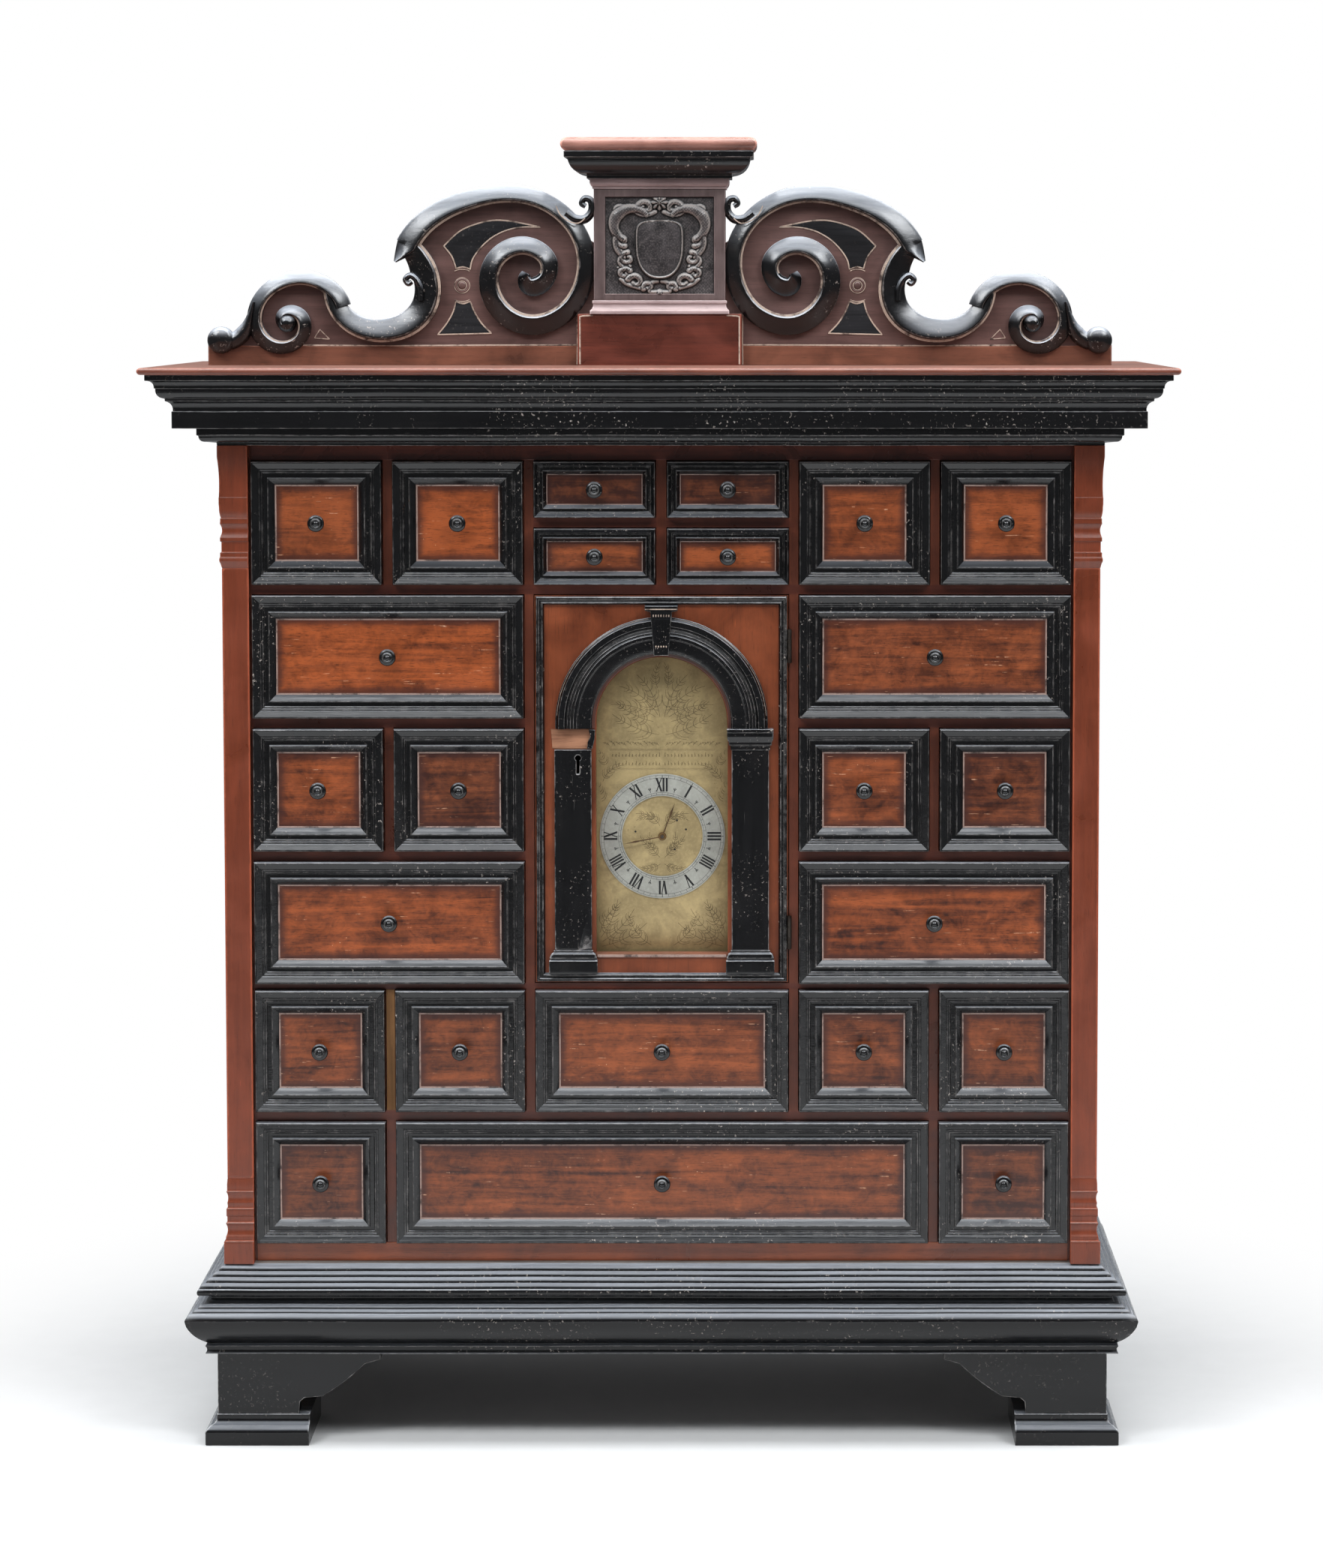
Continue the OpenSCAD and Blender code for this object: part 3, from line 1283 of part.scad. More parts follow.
module movement_frame() {
    color("#a8924e") {
        for (y = [front_plate_y, back_plate_y]) disc([0, 0], y, plate_t) difference() {
            translate([-plate_w / 2, -plate_drop]) square([plate_w, plate_drop + plate_rise]);
            for (p = pivots) translate(p)
                circle(r = (p == [0, 0] ? arbor_r : p == great_p ? 3 : pivot_r) + turn_gap, $fn = fine);
            translate(anchor_p) circle(r = (y == front_plate_y ? pivot_r : 1.8) + turn_gap, $fn = fine);
        }
        for (x = [-pillar_x, pillar_x], z = [-plate_drop + 8, plate_rise - 8]) {
            rod([x, z], front_plate_y + plate_t + joint, back_plate_y - joint, pillar_r);
            rod([0.8 * x, 0.6 * z], dial_back_y + joint, front_plate_y - joint, 2.5);
        }
        // fixed stud of the minute wheel
        rod(motion_p, dial_back_y + 3, front_plate_y - joint, 1.5);
    }
}

train_y = front_plate_y + plate_t;
great_y = train_y + 20;
centre_y = train_y + 10;
third_y = train_y + 30;
escape_y = train_y + 20;
motion_y = dial_back_y + 8;
hour_y = dial_back_y + 3;

module centre_arbor() {
    color("#b09a58") {
        // arbor, with the pinion that the great wheel drives
        union() {
            rod([0, 0], minute_hand_y - 1, minute_hand_y + 2, arbor_r - 0.3);
            rod([0, 0], minute_hand_y + hand_t + 0.1, back_plate_y + plate_t - 0.2, arbor_r);
            disc([0, 0], great_y - 3, 9) toothed(great_m, leaves, 0);
            disc([0, 0], centre_y, wheel_t) wheel(centre_m, centre_n, 0, arbor_r - eps, 5);
            disc([0, 0], motion_y + 0.1, wheel_t + 1.5) toothed(motion_m, cannon_n, 0);
        }
    }
}

module hour_wheel() {
    color("#b09a58") {
        disc([0, 0], hour_y, wheel_t) difference() {
            toothed(hour_m, hour_n, 0);
            circle(r = arbor_r + turn_gap, $fn = fine);
        }
        disc([0, 0], hour_hand_y - 0.2, hour_y - hour_hand_y + 0.2) difference() {
            circle(r = hour_pipe_r, $fn = fine);
            circle(r = arbor_r + turn_gap, $fn = fine);
        }
    }
}

// Turns a wheel of n teeth so that it meshes with a neighbour of m teeth whose
// own turn is phase, when the line from the neighbour to it points along a
function mesh_phase(n, m, phase, a) = 180 + a + 180 / n - (phase - a) * m / n;

module motion_wheel() {
    color("#b09a58") difference() {
        union() {
            disc(motion_p, motion_y + 0.3, wheel_t)
                toothed(motion_m, motion_n, mesh_phase(motion_n, cannon_n, 0, motion_a));
            disc(motion_p, hour_y - 0.3, motion_y - hour_y + 0.6)
                toothed(hour_m, motion_leaves, mesh_phase(motion_leaves, hour_n, 0, motion_a));
        }
        rod(motion_p, dial_back_y, front_plate_y, 1.5 + turn_gap);
    }
}

module going_barrel() {
    color("#b09a58") {
        rod(great_p, front_plate_y + 0.2, back_plate_y + plate_t - 0.2, 3);
        disc(great_p, great_y, wheel_t) toothed(great_m, great_n, mesh_phase(great_n, leaves, 0, great_a));
        rod(great_p, great_y, train_y + plates_apart - 2, 26);
    }
}

module third_arbor() {
    color("#b09a58") {
        rod(third_p, front_plate_y + 0.2, back_plate_y + plate_t - 0.2, pivot_r);
        disc(third_p, centre_y - 2.5, 7) toothed(centre_m, leaves, mesh_phase(leaves, centre_n, 0, third_a));
        disc(third_p, third_y, wheel_t) wheel(third_m, third_n, 0, pivot_r - eps, 4);
    }
}

module escape_arbor() {
    color("#b09a58") {
        rod(escape_p, front_plate_y + 0.2, back_plate_y + plate_t - 0.2, pivot_r);
        disc(escape_p, third_y - 2, 6.5)
            toothed(third_m, leaves, mesh_phase(leaves, third_n, 0, escape_a));
        disc(escape_p, escape_y, wheel_t - 0.5) difference() {
            polygon([for (i = [0:escape_n - 1], k = [0, 1])
                let (a = i * 360 / escape_n + k * 2.5, q = k == 0 ? 14 : 11.2) [q * cos(a), q * sin(a)]]);
            circle(r = pivot_r - eps, $fn = 24);
        }
    }
}

module pendulum() {
    rod_y = back_plate_y + plate_t + 4;
    bob_r = 13;
    color("#8a7a44") {
        rod(anchor_p, front_plate_y + 0.2, rod_y + 3, pivot_r);
        // anchor arms over the escape wheel
        disc(anchor_p, escape_y - 1, wheel_t + 1.5) scale(anchor_up) polygon([
            [0, 0.125], [0.6, -0.33], [0.65, -0.62], [0.52, -0.58], [0.46, -0.35], [0, -0.105],
            [-0.46, -0.35], [-0.52, -0.58], [-0.65, -0.62], [-0.6, -0.33]
        ]);
        disc(anchor_p, rod_y, 2) union() {
            circle(r = 3.5, $fn = 24);
            translate([-1, -pendulum_l]) square([2, pendulum_l]);
        }
        disc(anchor_p + [0, -pendulum_l], rod_y - 2.5, 7) circle(r = bob_r, $fn = fine);
        rod(anchor_p, train_y + 10, rod_y + 3, 1.8);
    }
}

foot_pads();
bracket_feet();
base_frame();
base_mouldings();
case_boards();
shelves();
partitions();
back_boards();
pilasters();
cornice_boards();
cornice_mouldings();
pediment_boards();
pediment_scrolls();
pedestal();
cartouche();
pedestal_cap();
dial_plate();
chapter_ring();
movement_frame();
case_hinge_leaves();
door_boards();
door_mouldings();
door_arch();
door_columns();
door_hinge_leaves();
door_lock();
lock_bolt();
minute_hand();
hour_hand();
centre_arbor();
hour_wheel();
motion_wheel();
going_barrel();
third_arbor();
escape_arbor();
pendulum();
for (d = DRAWERS) drawer(d);
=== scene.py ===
"""Looks of a table cabinet with 24 drawers, a clock door and a scroll pediment.

Every shape is worked out in millimetres in the cabinet's own frame (X right,
Y back, Z up, origin on the floor) and is put into its mesh in metres.
"""

import math

import bmesh
import bpy
import numpy as np
from bpy.props import FloatProperty, FloatVectorProperty, PointerProperty
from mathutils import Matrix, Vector


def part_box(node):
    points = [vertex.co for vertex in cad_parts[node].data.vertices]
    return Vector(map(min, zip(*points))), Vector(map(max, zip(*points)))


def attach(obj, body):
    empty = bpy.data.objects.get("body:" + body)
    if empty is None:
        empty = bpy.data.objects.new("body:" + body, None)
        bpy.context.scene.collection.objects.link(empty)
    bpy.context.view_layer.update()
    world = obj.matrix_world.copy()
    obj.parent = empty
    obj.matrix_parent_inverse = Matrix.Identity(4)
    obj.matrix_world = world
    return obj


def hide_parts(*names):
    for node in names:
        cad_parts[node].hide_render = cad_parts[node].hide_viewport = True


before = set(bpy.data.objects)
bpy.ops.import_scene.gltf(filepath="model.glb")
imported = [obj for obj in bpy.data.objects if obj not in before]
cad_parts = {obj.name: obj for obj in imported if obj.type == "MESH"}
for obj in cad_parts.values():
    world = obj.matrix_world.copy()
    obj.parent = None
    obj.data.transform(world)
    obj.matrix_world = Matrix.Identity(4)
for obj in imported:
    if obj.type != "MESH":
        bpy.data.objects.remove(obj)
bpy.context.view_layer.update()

bl_info = {
    "name": "Table cabinet with clock door",
    "version": (1, 0, 0),
    "blender": (4, 5, 0),
    "location": "View3D > Sidebar > Cabinet",
    "description": "Builds the cabinet's mouldings, scrolls, drawers, door, dial and finishes",
    "category": "Object",
}

MM = 0.001

# Main places of the cabinet in millimetres: half widths, planes from front to
# back, and heights over the floor
HALF, FIELD_HALF = 387.0, 362.0
FRONT, DATUM, BACK = -109.0, -117.0, 180.0
FACE_Y = FRONT - 0.05
BASE_Z, REEDED_Z, CASE_Z, FIELD_Z = 83.0, 128.0, 160.0, 177.0
FIELD_TOP, CASE_TOP, CORNICE_Z, PEDIMENT_Z = 875.6, 889.0, 952.0, 958.0
PEDIMENT_MID, BOARD_Y, SCROLL_Y = -3.0, -32.0, -44.0
ARCH_Z, SPRING_Z, SILL_Z, DIAL_Z = 643.2, 638.2, 436.2, 539.2
DOOR_HALF, DOOR_Z, DOOR_TOP = 112.2, 411.2, 756.4
ARCH_OPEN, ARCH_IN = 58.5, 65.0

# Tone (0 dark to 1 light) and warmth (0 brown to 1 orange) of each drawer's panel
DRAWERS = {
    "1_far_left": (0.80, 0.55), "1_left": (0.98, 0.75),
    "1_mid_upper_left": (0.08, 0.25), "1_mid_upper_right": (0.16, 0.30),
    "1_mid_lower_left": (0.72, 0.45), "1_mid_lower_right": (0.90, 0.55),
    "1_right": (0.75, 0.60), "1_far_right": (0.82, 0.60), "2_left": (0.80, 0.75), "2_right": (0.50, 0.45),
    "3_far_left": (0.56, 0.60), "3_left": (0.34, 0.22), "3_right": (0.52, 0.50), "3_far_right": (0.30, 0.32),
    "4_left": (0.58, 0.64), "4_right": (0.54, 0.60), "5_far_left": (0.50, 0.45), "5_left": (0.50, 0.35),
    "5_middle": (0.55, 0.40), "5_right": (0.52, 0.35), "5_far_right": (0.48, 0.40),
    "6_left": (0.35, 0.25), "6_middle": (0.50, 0.35), "6_right": (0.32, 0.25),
}


def linear(r, g, b):
    """Colour as it is seen on a screen, 0 to 1, turned into a linear one."""
    c = np.array([r, g, b], float)
    return tuple(np.where(c <= 0.04045, c / 12.92, ((c + 0.055) / 1.055) ** 2.4))


# Sizes and colours that a user would change


def length(name, text, default, low, high):
    """Length property, in metres."""
    return FloatProperty(name=name, description=text, default=default, min=low, max=high, unit="LENGTH")


def colour(name, text, r, g, b):
    """Colour property whose default is given as it is seen on a screen."""
    return FloatVectorProperty(
        name=name, description=text, subtype="COLOR", size=3, min=0.0, max=1.0, default=linear(r, g, b),
    )


class CabinetSizes(bpy.types.PropertyGroup):
    """Sizes of the details that are worked on the frame's pieces"""

    round_r: length("Edge rounding", "Radius worn onto the edges of mouldings", 0.0005, 0.0001, 0.002)
    wear_reach: length("Wear reach", "How far wear spreads from an edge", 0.0022, 0.0005, 0.006)
    knob_d: length("Knob diameter", "Diameter of a drawer knob", 0.015, 0.011, 0.018)
    line_w: length("Incised line", "Width of the pale lines round the inlays", 0.0014, 0.0004, 0.003)
    engraving_w: length("Engraved line", "Width of a line cut in the dial plate", 0.0003, 0.0001, 0.001)
    waviness: length("Waviness", "How far hand-planed mouldings stray from straight", 0.00025, 0.0, 0.001)


class CabinetColours(bpy.types.PropertyGroup):
    """Colours of the cabinet's finishes"""

    ebony: colour("Ebonised wood", "Black polish on the mouldings", 0.06, 0.06, 0.065)
    ebony_worn: colour("Worn ebonised edge", "Edges rubbed grey", 0.58, 0.56, 0.55)
    ebony_chip: colour("Chip", "Bare wood where black polish is lost", 0.52, 0.36, 0.24)
    veneer_dark: colour("Dark veneer", "Dark figure of the drawer panels", 0.22, 0.10, 0.065)
    veneer_brown: colour("Brown veneer", "Brown drawer panels", 0.50, 0.285, 0.175)
    veneer_orange: colour("Orange veneer", "Orange drawer panels", 0.68, 0.33, 0.14)
    case_red: colour("Case veneer", "Red-brown veneer of sides and rails", 0.38, 0.175, 0.11)
    pilaster: colour("Pilaster", "Red-brown pilasters", 0.47, 0.215, 0.125)
    ground: colour("Pediment ground", "Purple-brown ground between the scrolls", 0.44, 0.325, 0.305)
    cream: colour("Incised line", "Pale lines beside black parts", 0.74, 0.66, 0.60)
    oak: colour("Bare wood", "Unstained wood of linings and back", 0.68, 0.49, 0.31)
    brass: colour("Brass", "Dial plate and movement", 0.75, 0.665, 0.48)
    silvering: colour("Silvering", "Chapter ring", 0.68, 0.68, 0.645)
    ink: colour("Ink", "Black wax in the numerals", 0.07, 0.07, 0.075)
    steel: colour("Steel", "Hinges, lock and bolt", 0.33, 0.31, 0.29)


def size(name):
    """One of the sizes that a user would change, in millimetres."""
    return getattr(bpy.context.scene.cabinet_sizes, name) / MM


# Lines and profiles


def bow(p, q, depth, n=6):
    """Inner points of a bulge from p to q: the straight line plus a parabola
    that stands depth to the left of the way (negative: a hollow)."""
    p, q = np.array(p, float), np.array(q, float)
    s = np.arange(1, n)[:, None] / n
    d = q - p
    side = np.array([-d[1], d[0]]) / np.hypot(*d)
    return (p + d * s + side * depth * 4 * s * (1 - s)).tolist()


def moulding(*steps, out=0.0, up=0.0):
    """A profile drawn point by point and then moved out and up. A step of
    (out, up, depth, n) is reached by a bulge from the point before it."""
    points = []
    for step in steps:
        if len(step) > 2:
            points += bow(points[-1], step[:2], *step[2:])
        points.append(step[:2])
    return [[out + a, up + b] for a, b in points]


def cubic(points, t):
    """Places at t, counted in points, on a curve through them: a cubic between
    each two, with slopes taken from the points on either side."""
    p = np.asarray(points, float)
    last = len(p) - 1
    i = np.clip(np.floor(t).astype(int), 0, last - 1)
    s = (t - i).reshape((-1,) + (1,) * (p.ndim - 1))
    a, b, c, d = p[np.maximum(i - 1, 0)], p[i], p[i + 1], p[np.minimum(i + 2, last)]
    return b + 0.5 * s * (c - a + s * (2 * a - 5 * b + 4 * c - d + s * (3 * (b - c) + d - a)))


def smooth_line(points, n):
    """n points of the curve through points."""
    return cubic(points, np.linspace(0, len(points) - 1, n))


def ramp(values, n, at=None):
    """n values that go evenly from value to value, which stand at equal steps
    or at the shares given."""
    at = np.linspace(0, 1, len(values)) if at is None else at
    return np.interp(np.linspace(0, 1, n), at, values)


def arc(x, z, r, start, end, n, last=None):
    """n points round (x, z) between two angles in degrees; where last is
    given, the radius goes evenly from r to last."""
    a = np.radians(np.linspace(start, end, n))
    r = np.linspace(r, r if last is None else last, n)
    return np.stack([x + r * np.cos(a), z + r * np.sin(a)], 1)


def circle(x, z, r, n):
    """n points of a closed circle."""
    return arc(x, z, r, 0, 360, n + 1)[:-1]


def resample(line, step, closed=False):
    """Points a step apart along a line, joined by straight pieces."""
    p = np.asarray(line, float)
    if closed:
        p = np.vstack([p, p[:1]])
    at = np.concatenate([[0], np.cumsum(np.hypot(*np.diff(p, axis=0).T))])
    s = np.linspace(0, at[-1], max(3, int(at[-1] / step) + 1))
    q = np.stack([np.interp(s, at, p[:, 0]), np.interp(s, at, p[:, 1])], 1)
    return q[:-1] if closed else q


def turned_area(p):
    """Twice the area inside an outline, positive where it runs to the left."""
    return np.sum(p[:, 0] * np.roll(p[:, 1], -1) - np.roll(p[:, 0], -1) * p[:, 1])


def square_to(line, closed=False):
    """Unit vectors square to a line in (x, z), on the left of its way."""
    way = np.roll(line, -1, 0) - np.roll(line, 1, 0) if closed else np.gradient(line, axis=0)
    way /= np.maximum(np.hypot(*way.T), 1e-9)[:, None]
    return np.stack([-way[:, 1], way[:, 0]], 1)


def inward(outline, d):
    """An outline moved inwards by d, along the bisectors of its corners."""
    p = np.asarray(outline, float)
    a, b = p - np.roll(p, 1, 0), np.roll(p, -1, 0) - p
    a /= np.maximum(np.hypot(*a.T), 1e-9)[:, None]
    b /= np.maximum(np.hypot(*b.T), 1e-9)[:, None]
    left = np.stack([-a[:, 1], a[:, 0]], 1)
    mid = left + np.stack([-b[:, 1], b[:, 0]], 1)
    mid /= np.maximum((mid * left).sum(1), 0.35)[:, None]
    return p + mid * d * np.sign(turned_area(p))


def softened(points, r=None, closed=True):
    """Rounds an outline's corners with short parabolas and marks them.

    A corner becomes four points of the parabola between two places r away on
    its sides, with one more point beyond on each side, where wear ends. The
    mark is the size of the corner's turn, positive where it stands out and
    negative in a hollow, and nought at the far points. Slight turns stay."""
    slight, full_turn, least_room = 0.3, 0.9, 0.25
    r, fade = size("round_r") if r is None else r, size("wear_reach")
    p = np.asarray(points, float)
    q = np.vstack([p[-1:], p, p[:1]])
    a, b = q[:-2] - p, q[2:] - p
    if not closed:
        a[0], b[-1] = -b[0], -a[-1]
    la, lb = np.hypot(*a.T), np.hypot(*b.T)
    ua, ub = a / la[:, None], b / lb[:, None]
    cross = -(ua[:, 0] * ub[:, 1] - ua[:, 1] * ub[:, 0])
    turn = np.arctan2(cross, -(ua * ub).sum(1)) * np.sign(turned_area(p))
    big = np.abs(turn) > slight
    cut = np.minimum(r, 0.36 * np.minimum(la, lb))
    room_a, room_b = np.minimum(fade, 0.48 * la - cut), np.minimum(fade, 0.48 * lb - cut)
    start, end = p + ua * cut[:, None], p + ub * cut[:, None]
    t = np.array([0, 1 / 3, 2 / 3, 1.0])[None, :, None]
    bend = start[:, None] * (1 - t) ** 2 + 2 * p[:, None] * t * (1 - t) + end[:, None] * t**2
    far_a, far_b = start + ua * room_a[:, None], end + ub * room_b[:, None]
    every = np.concatenate([far_a[:, None], bend, far_b[:, None]], axis=1)
    mark = np.clip(turn / full_turn, -1, 1)[:, None] * np.array([[0, 0.55, 1, 1, 0.55, 0]])
    use = np.stack([big & (room_a > least_room), big, big, big, big, big & (room_b > least_room)], axis=1)
    every[~big, 2], mark[~big], use[~big, 2] = p[~big], 0, True
    return every[use], mark[use]


def wave(x, seed, amount):
    """Slow uneven stray from a straight line: three sines of unlike lengths."""
    sines = np.sin(x / 61.0 + seed) + 0.6 * np.sin(x / 23.7 + 2.1 * seed)
    sines = sines + 0.35 * np.sin(x / 9.3 + 3.7 * seed)
    return amount * sines / 1.95


# Surfaces: grids of points, and profiles carried along paths


class Surface:
    """Closed shells gathered into one mesh, with an edge mark (1 worn corner,
    -1 hollow corner), a tone and a warmth at every point."""

    def __init__(self, tone=0.5, warm=0.5):
        self.tone, self.warm = tone, warm
        self.points, self.marks, self.faces, self.slots = [], [], [], []
        self.count = 0
        self.place = None

    def push(self, points, mark):
        """Adds points, put in their place, and gives back the first one's number."""
        points = points.reshape(-1, 3)
        self.points.append(points if self.place is None else self.place(points))
        self.marks.append(mark.ravel().astype(float))
        self.count += len(points)
        return self.count - len(points)

    def quads(self, start, i, j, i2, j2, m, slot):
        """Adds quads between rows i and i2 and columns j and j2 of a grid."""
        quads = np.stack([i * m + j, i2 * m + j, i2 * m + j2, i * m + j2], axis=-1)
        self.faces += (quads.reshape(-1, 4) + start).tolist()
        self.slots += np.broadcast_to(slot, quads.shape[:2]).ravel().tolist()

    def loops(self, rings, mark=0.0, closed=False, slot=0):
        """Joins each ring of points to the next one by quads. The ends are
        closed by one face each, or the last ring is joined to the first."""
        rings = np.asarray(rings, float)
        n, m = rings.shape[:2]
        start = self.push(rings, np.broadcast_to(mark, (n, m)))
        i, j = np.arange(n if closed else n - 1)[:, None], np.arange(m)[None, :]
        self.quads(start, i, j, (i + 1) % n, (j + 1) % m, m, slot)
        if not closed:
            first = (np.arange(m) + start).tolist()
            last = [(n - 1) * m + k for k in first]
            self.faces += [first, last[::-1]]
            self.slots += [int(np.ravel(slot)[0])] * 2

    def relief(self, x, z, y, back, mark):
        """A height field y over a grid of x and z, closed by a flat back."""
        n, m = y.shape
        front = np.stack(np.broadcast_arrays(x, y, z), axis=-1)
        start = self.push(front, mark)
        i, j = np.arange(n - 1)[:, None], np.arange(m - 1)[None, :]
        self.quads(start, i, j, i + 1, j + 1, m, 0)
        rim = np.concatenate([
            np.arange(m), np.arange(1, n) * m + m - 1,
            (n - 1) * m + np.arange(m - 2, -1, -1), np.arange(n - 2, 0, -1) * m,
        ])
        low = front.reshape(-1, 3)[rim].copy()
        low[:, 1] = back
        base = self.push(low, np.zeros(len(rim)))
        k = np.arange(len(rim))
        k2 = (k + 1) % len(rim)
        self.faces += np.stack([start + rim, start + rim[k2], base + k2, base + k], -1).tolist()
        self.faces.append((base + k[::-1]).tolist())
        self.slots += [0] * (len(rim) + 1)

    def build(self, name, finish_names, body, slot, *replaced, smooth=0.62):
        """Makes the object, with faces turned outwards and hard edges kept."""
        mesh = bpy.data.meshes.new(name)
        mesh.from_pydata((np.concatenate(self.points) * MM).tolist(), [], self.faces)
        tone, warm = np.full(self.count, self.tone), np.full(self.count, self.warm)
        for label, values in (("edge", np.concatenate(self.marks)), ("tone", tone), ("warm", warm)):
            layer = mesh.attributes.new(label, "FLOAT", "POINT")
            layer.data.foreach_set("value", values.astype(np.float32))
        for finish in finish_names.split():
            mesh.materials.append(finishes()[finish])
        mesh.polygons.foreach_set("material_index", np.array(self.slots, np.int32))
        mesh.polygons.foreach_set("use_smooth", np.ones(len(self.faces), bool))
        work = bmesh.new()
        work.from_mesh(mesh)
        bmesh.ops.recalc_face_normals(work, faces=work.faces)
        work.to_mesh(mesh)
        work.free()
        mesh.set_sharp_from_angle(angle=smooth)
        mesh.update()
        piece = bpy.data.objects.new(name, mesh)
        bpy.context.scene.collection.objects.link(piece)
        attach(piece, body)
        if replaced:
            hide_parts(*replaced)


def both_marks(a, b):
    """The stronger of two marks, where one runs along and one across."""
    a, b = np.broadcast_arrays(a, b)
    return np.where(np.abs(a) > np.abs(b), a, b)


def rect_ring(x0, x1, y0, y1, z, cut=0.5, fade=2.2):
    """Rings round rectangles, one for each level: every corner has a fade
    point, the two ends of a small chamfer, and another fade point."""
    levels = (np.atleast_1d(np.asarray(v, float)) for v in (x0, x1, y0, y1, z))
    x0, x1, y0, y1, z = np.broadcast_arrays(*levels)
    reach = np.minimum(fade + cut, 0.45 * np.minimum(x1 - x0, y1 - y0))
    cut = np.minimum(cut, 0.5 * reach)
    corners = [(x0, y0, 0, 1, 1, 0), (x1, y0, -1, 0, 0, 1), (x1, y1, 0, -1, -1, 0), (x0, y1, 1, 0, 0, -1)]
    ring = []
    for x, y, ax, ay, bx, by in corners:
        for step, sx, sy in ((reach, ax, ay), (cut, ax, ay), (cut, bx, by), (reach, bx, by)):
            ring.append(np.stack([x + step * sx, y + step * sy, z], axis=-1))
    return np.stack(ring, axis=1), np.tile([0, 1.0, 1.0, 0], 4)


def upright_rings(x0, x1, z0, z1, steps, cut, fade):
    """Rings round one upright rectangle, and their marks: each step is (in
    from the edge, y, mark)."""
    inset, y, mark = (np.array(v, float) for v in zip(*steps))
    rings, _ = rect_ring(x0 + inset, x1 - inset, z0 + inset, z1 - inset, y, cut, fade)
    return rings[..., [0, 2, 1]], np.repeat(mark[:, None], rings.shape[1], axis=1)


def block(surface, lo, hi, cut=0.5, fade=2.2, slot=0):
    """A board with worn edges: rectangles stacked from lo to hi, drawn in at
    both ends by a quarter round."""
    (x0, y0, z0), (x1, y1, z1) = lo, hi
    f = min(fade, 0.3 * (z1 - z0), 0.3 * (x1 - x0), 0.3 * (y1 - y0))
    inset = np.array([cut + f, cut, 0.3 * cut, 0, 0])
    rise = np.array([0, 0, 0.3 * cut, cut, cut + f])
    mark = np.array([0, 0.7, 1.0, 0.7, 0])
    inset, mark = np.concatenate([inset, inset[::-1]]), np.concatenate([mark, mark[::-1]])
    z = np.concatenate([z0 + rise, z1 - rise[::-1]])
    rings, corner = rect_ring(x0 + inset, x1 - inset, y0 + inset, y1 - inset, z, cut, fade)
    surface.loops(rings, both_marks(mark[:, None], corner[None]), slot=slot)


def stack(surface, profile, rect, slot=0, cut=0.4, soft=None):
    """Levels (out, z) of a moulded block, each a rectangle that rect(out)
    gives as x0, x1, y0, y1."""
    points, mark = softened(profile, soft, closed=False)
    rings, corner = rect_ring(*rect(points[:, 0]), points[:, 1], cut)
    surface.loops(rings, both_marks(mark[:, None], 0.8 * corner[None]), slot=slot)


def nosed(surface, rect, z0, t, slot=0):
    """A board whose front and side edges are half rounds: levels on a half
    circle, each drawn in by what the circle leaves."""
    a = np.linspace(-math.pi / 2, math.pi / 2, 11)
    flat = 3
    out = np.pad(t / 2 * (np.cos(a) - 1), 1, "edge")
    out[[0, -1]] -= flat
    level = np.pad(z0 + t / 2 + t / 2 * np.sin(a), 1, "edge")
    mark = np.pad(0.75 * np.abs(np.sin(a * 1.2)) ** 2, 1)
    rings, corner = rect_ring(*rect(out), level, 0.8, 3)
    surface.loops(rings, both_marks(mark[:, None], 0.9 * corner[None]), slot=slot)


def boxed(x0, x1, y0, y1, reach=(1, 1, 1, 0)):
    """Rectangles of a moulded block: each side moves out by reach times out."""
    left, right, front, back = reach
    return lambda out: (x0 - left * out, x1 + right * out, y0 - front * out, y1 + back * out)


def run(surface, profile, stations, closed=False, soft=None, slots=None):
    """A profile of (a, b) carried along stations: each point stands at
    origin + a * out + b * up. Stations are (origin, out, up, mark)."""
    points, mark = softened(profile, soft)
    o, a, b, extra = (np.array([s[i] for s in stations], float) for i in range(4))
    rings = o[:, None] + points[None, :, :1] * a[:, None] + points[None, :, 1:] * b[:, None]
    surface.loops(rings, both_marks(mark[None, :], extra[:, None]), closed, slots(points) if slots else 0)


def round_case(surface, profile, seed):
    """A moulding that runs along one side, the front and the other side, with
    mitred corners; the profile is (out, height)."""
    amount, ends, up = size("waviness"), 1.6, (0, 0, 1)
    y, x = np.linspace(BACK, DATUM + ends, 6), np.linspace(ends - HALF, HALF - ends, 26)
    stations = [((-HALF, v, w), (-1, 0, 0), up, 0) for v, w in zip(y, wave(y, seed, amount))]
    stations.append(((-HALF, DATUM, 0), (-1, -1, 0), up, 0.55))
    stations += [((v, DATUM, w), (0, -1, 0), up, 0) for v, w in zip(x, wave(x, seed + 1, amount))]
    stations.append(((HALF, DATUM, 0), (1, -1, 0), up, 0.55))
    y = y[::-1]
    stations += [((HALF, v, w), (1, 0, 0), up, 0) for v, w in zip(y, wave(y, seed + 2, amount))]
    run(surface, profile, stations)


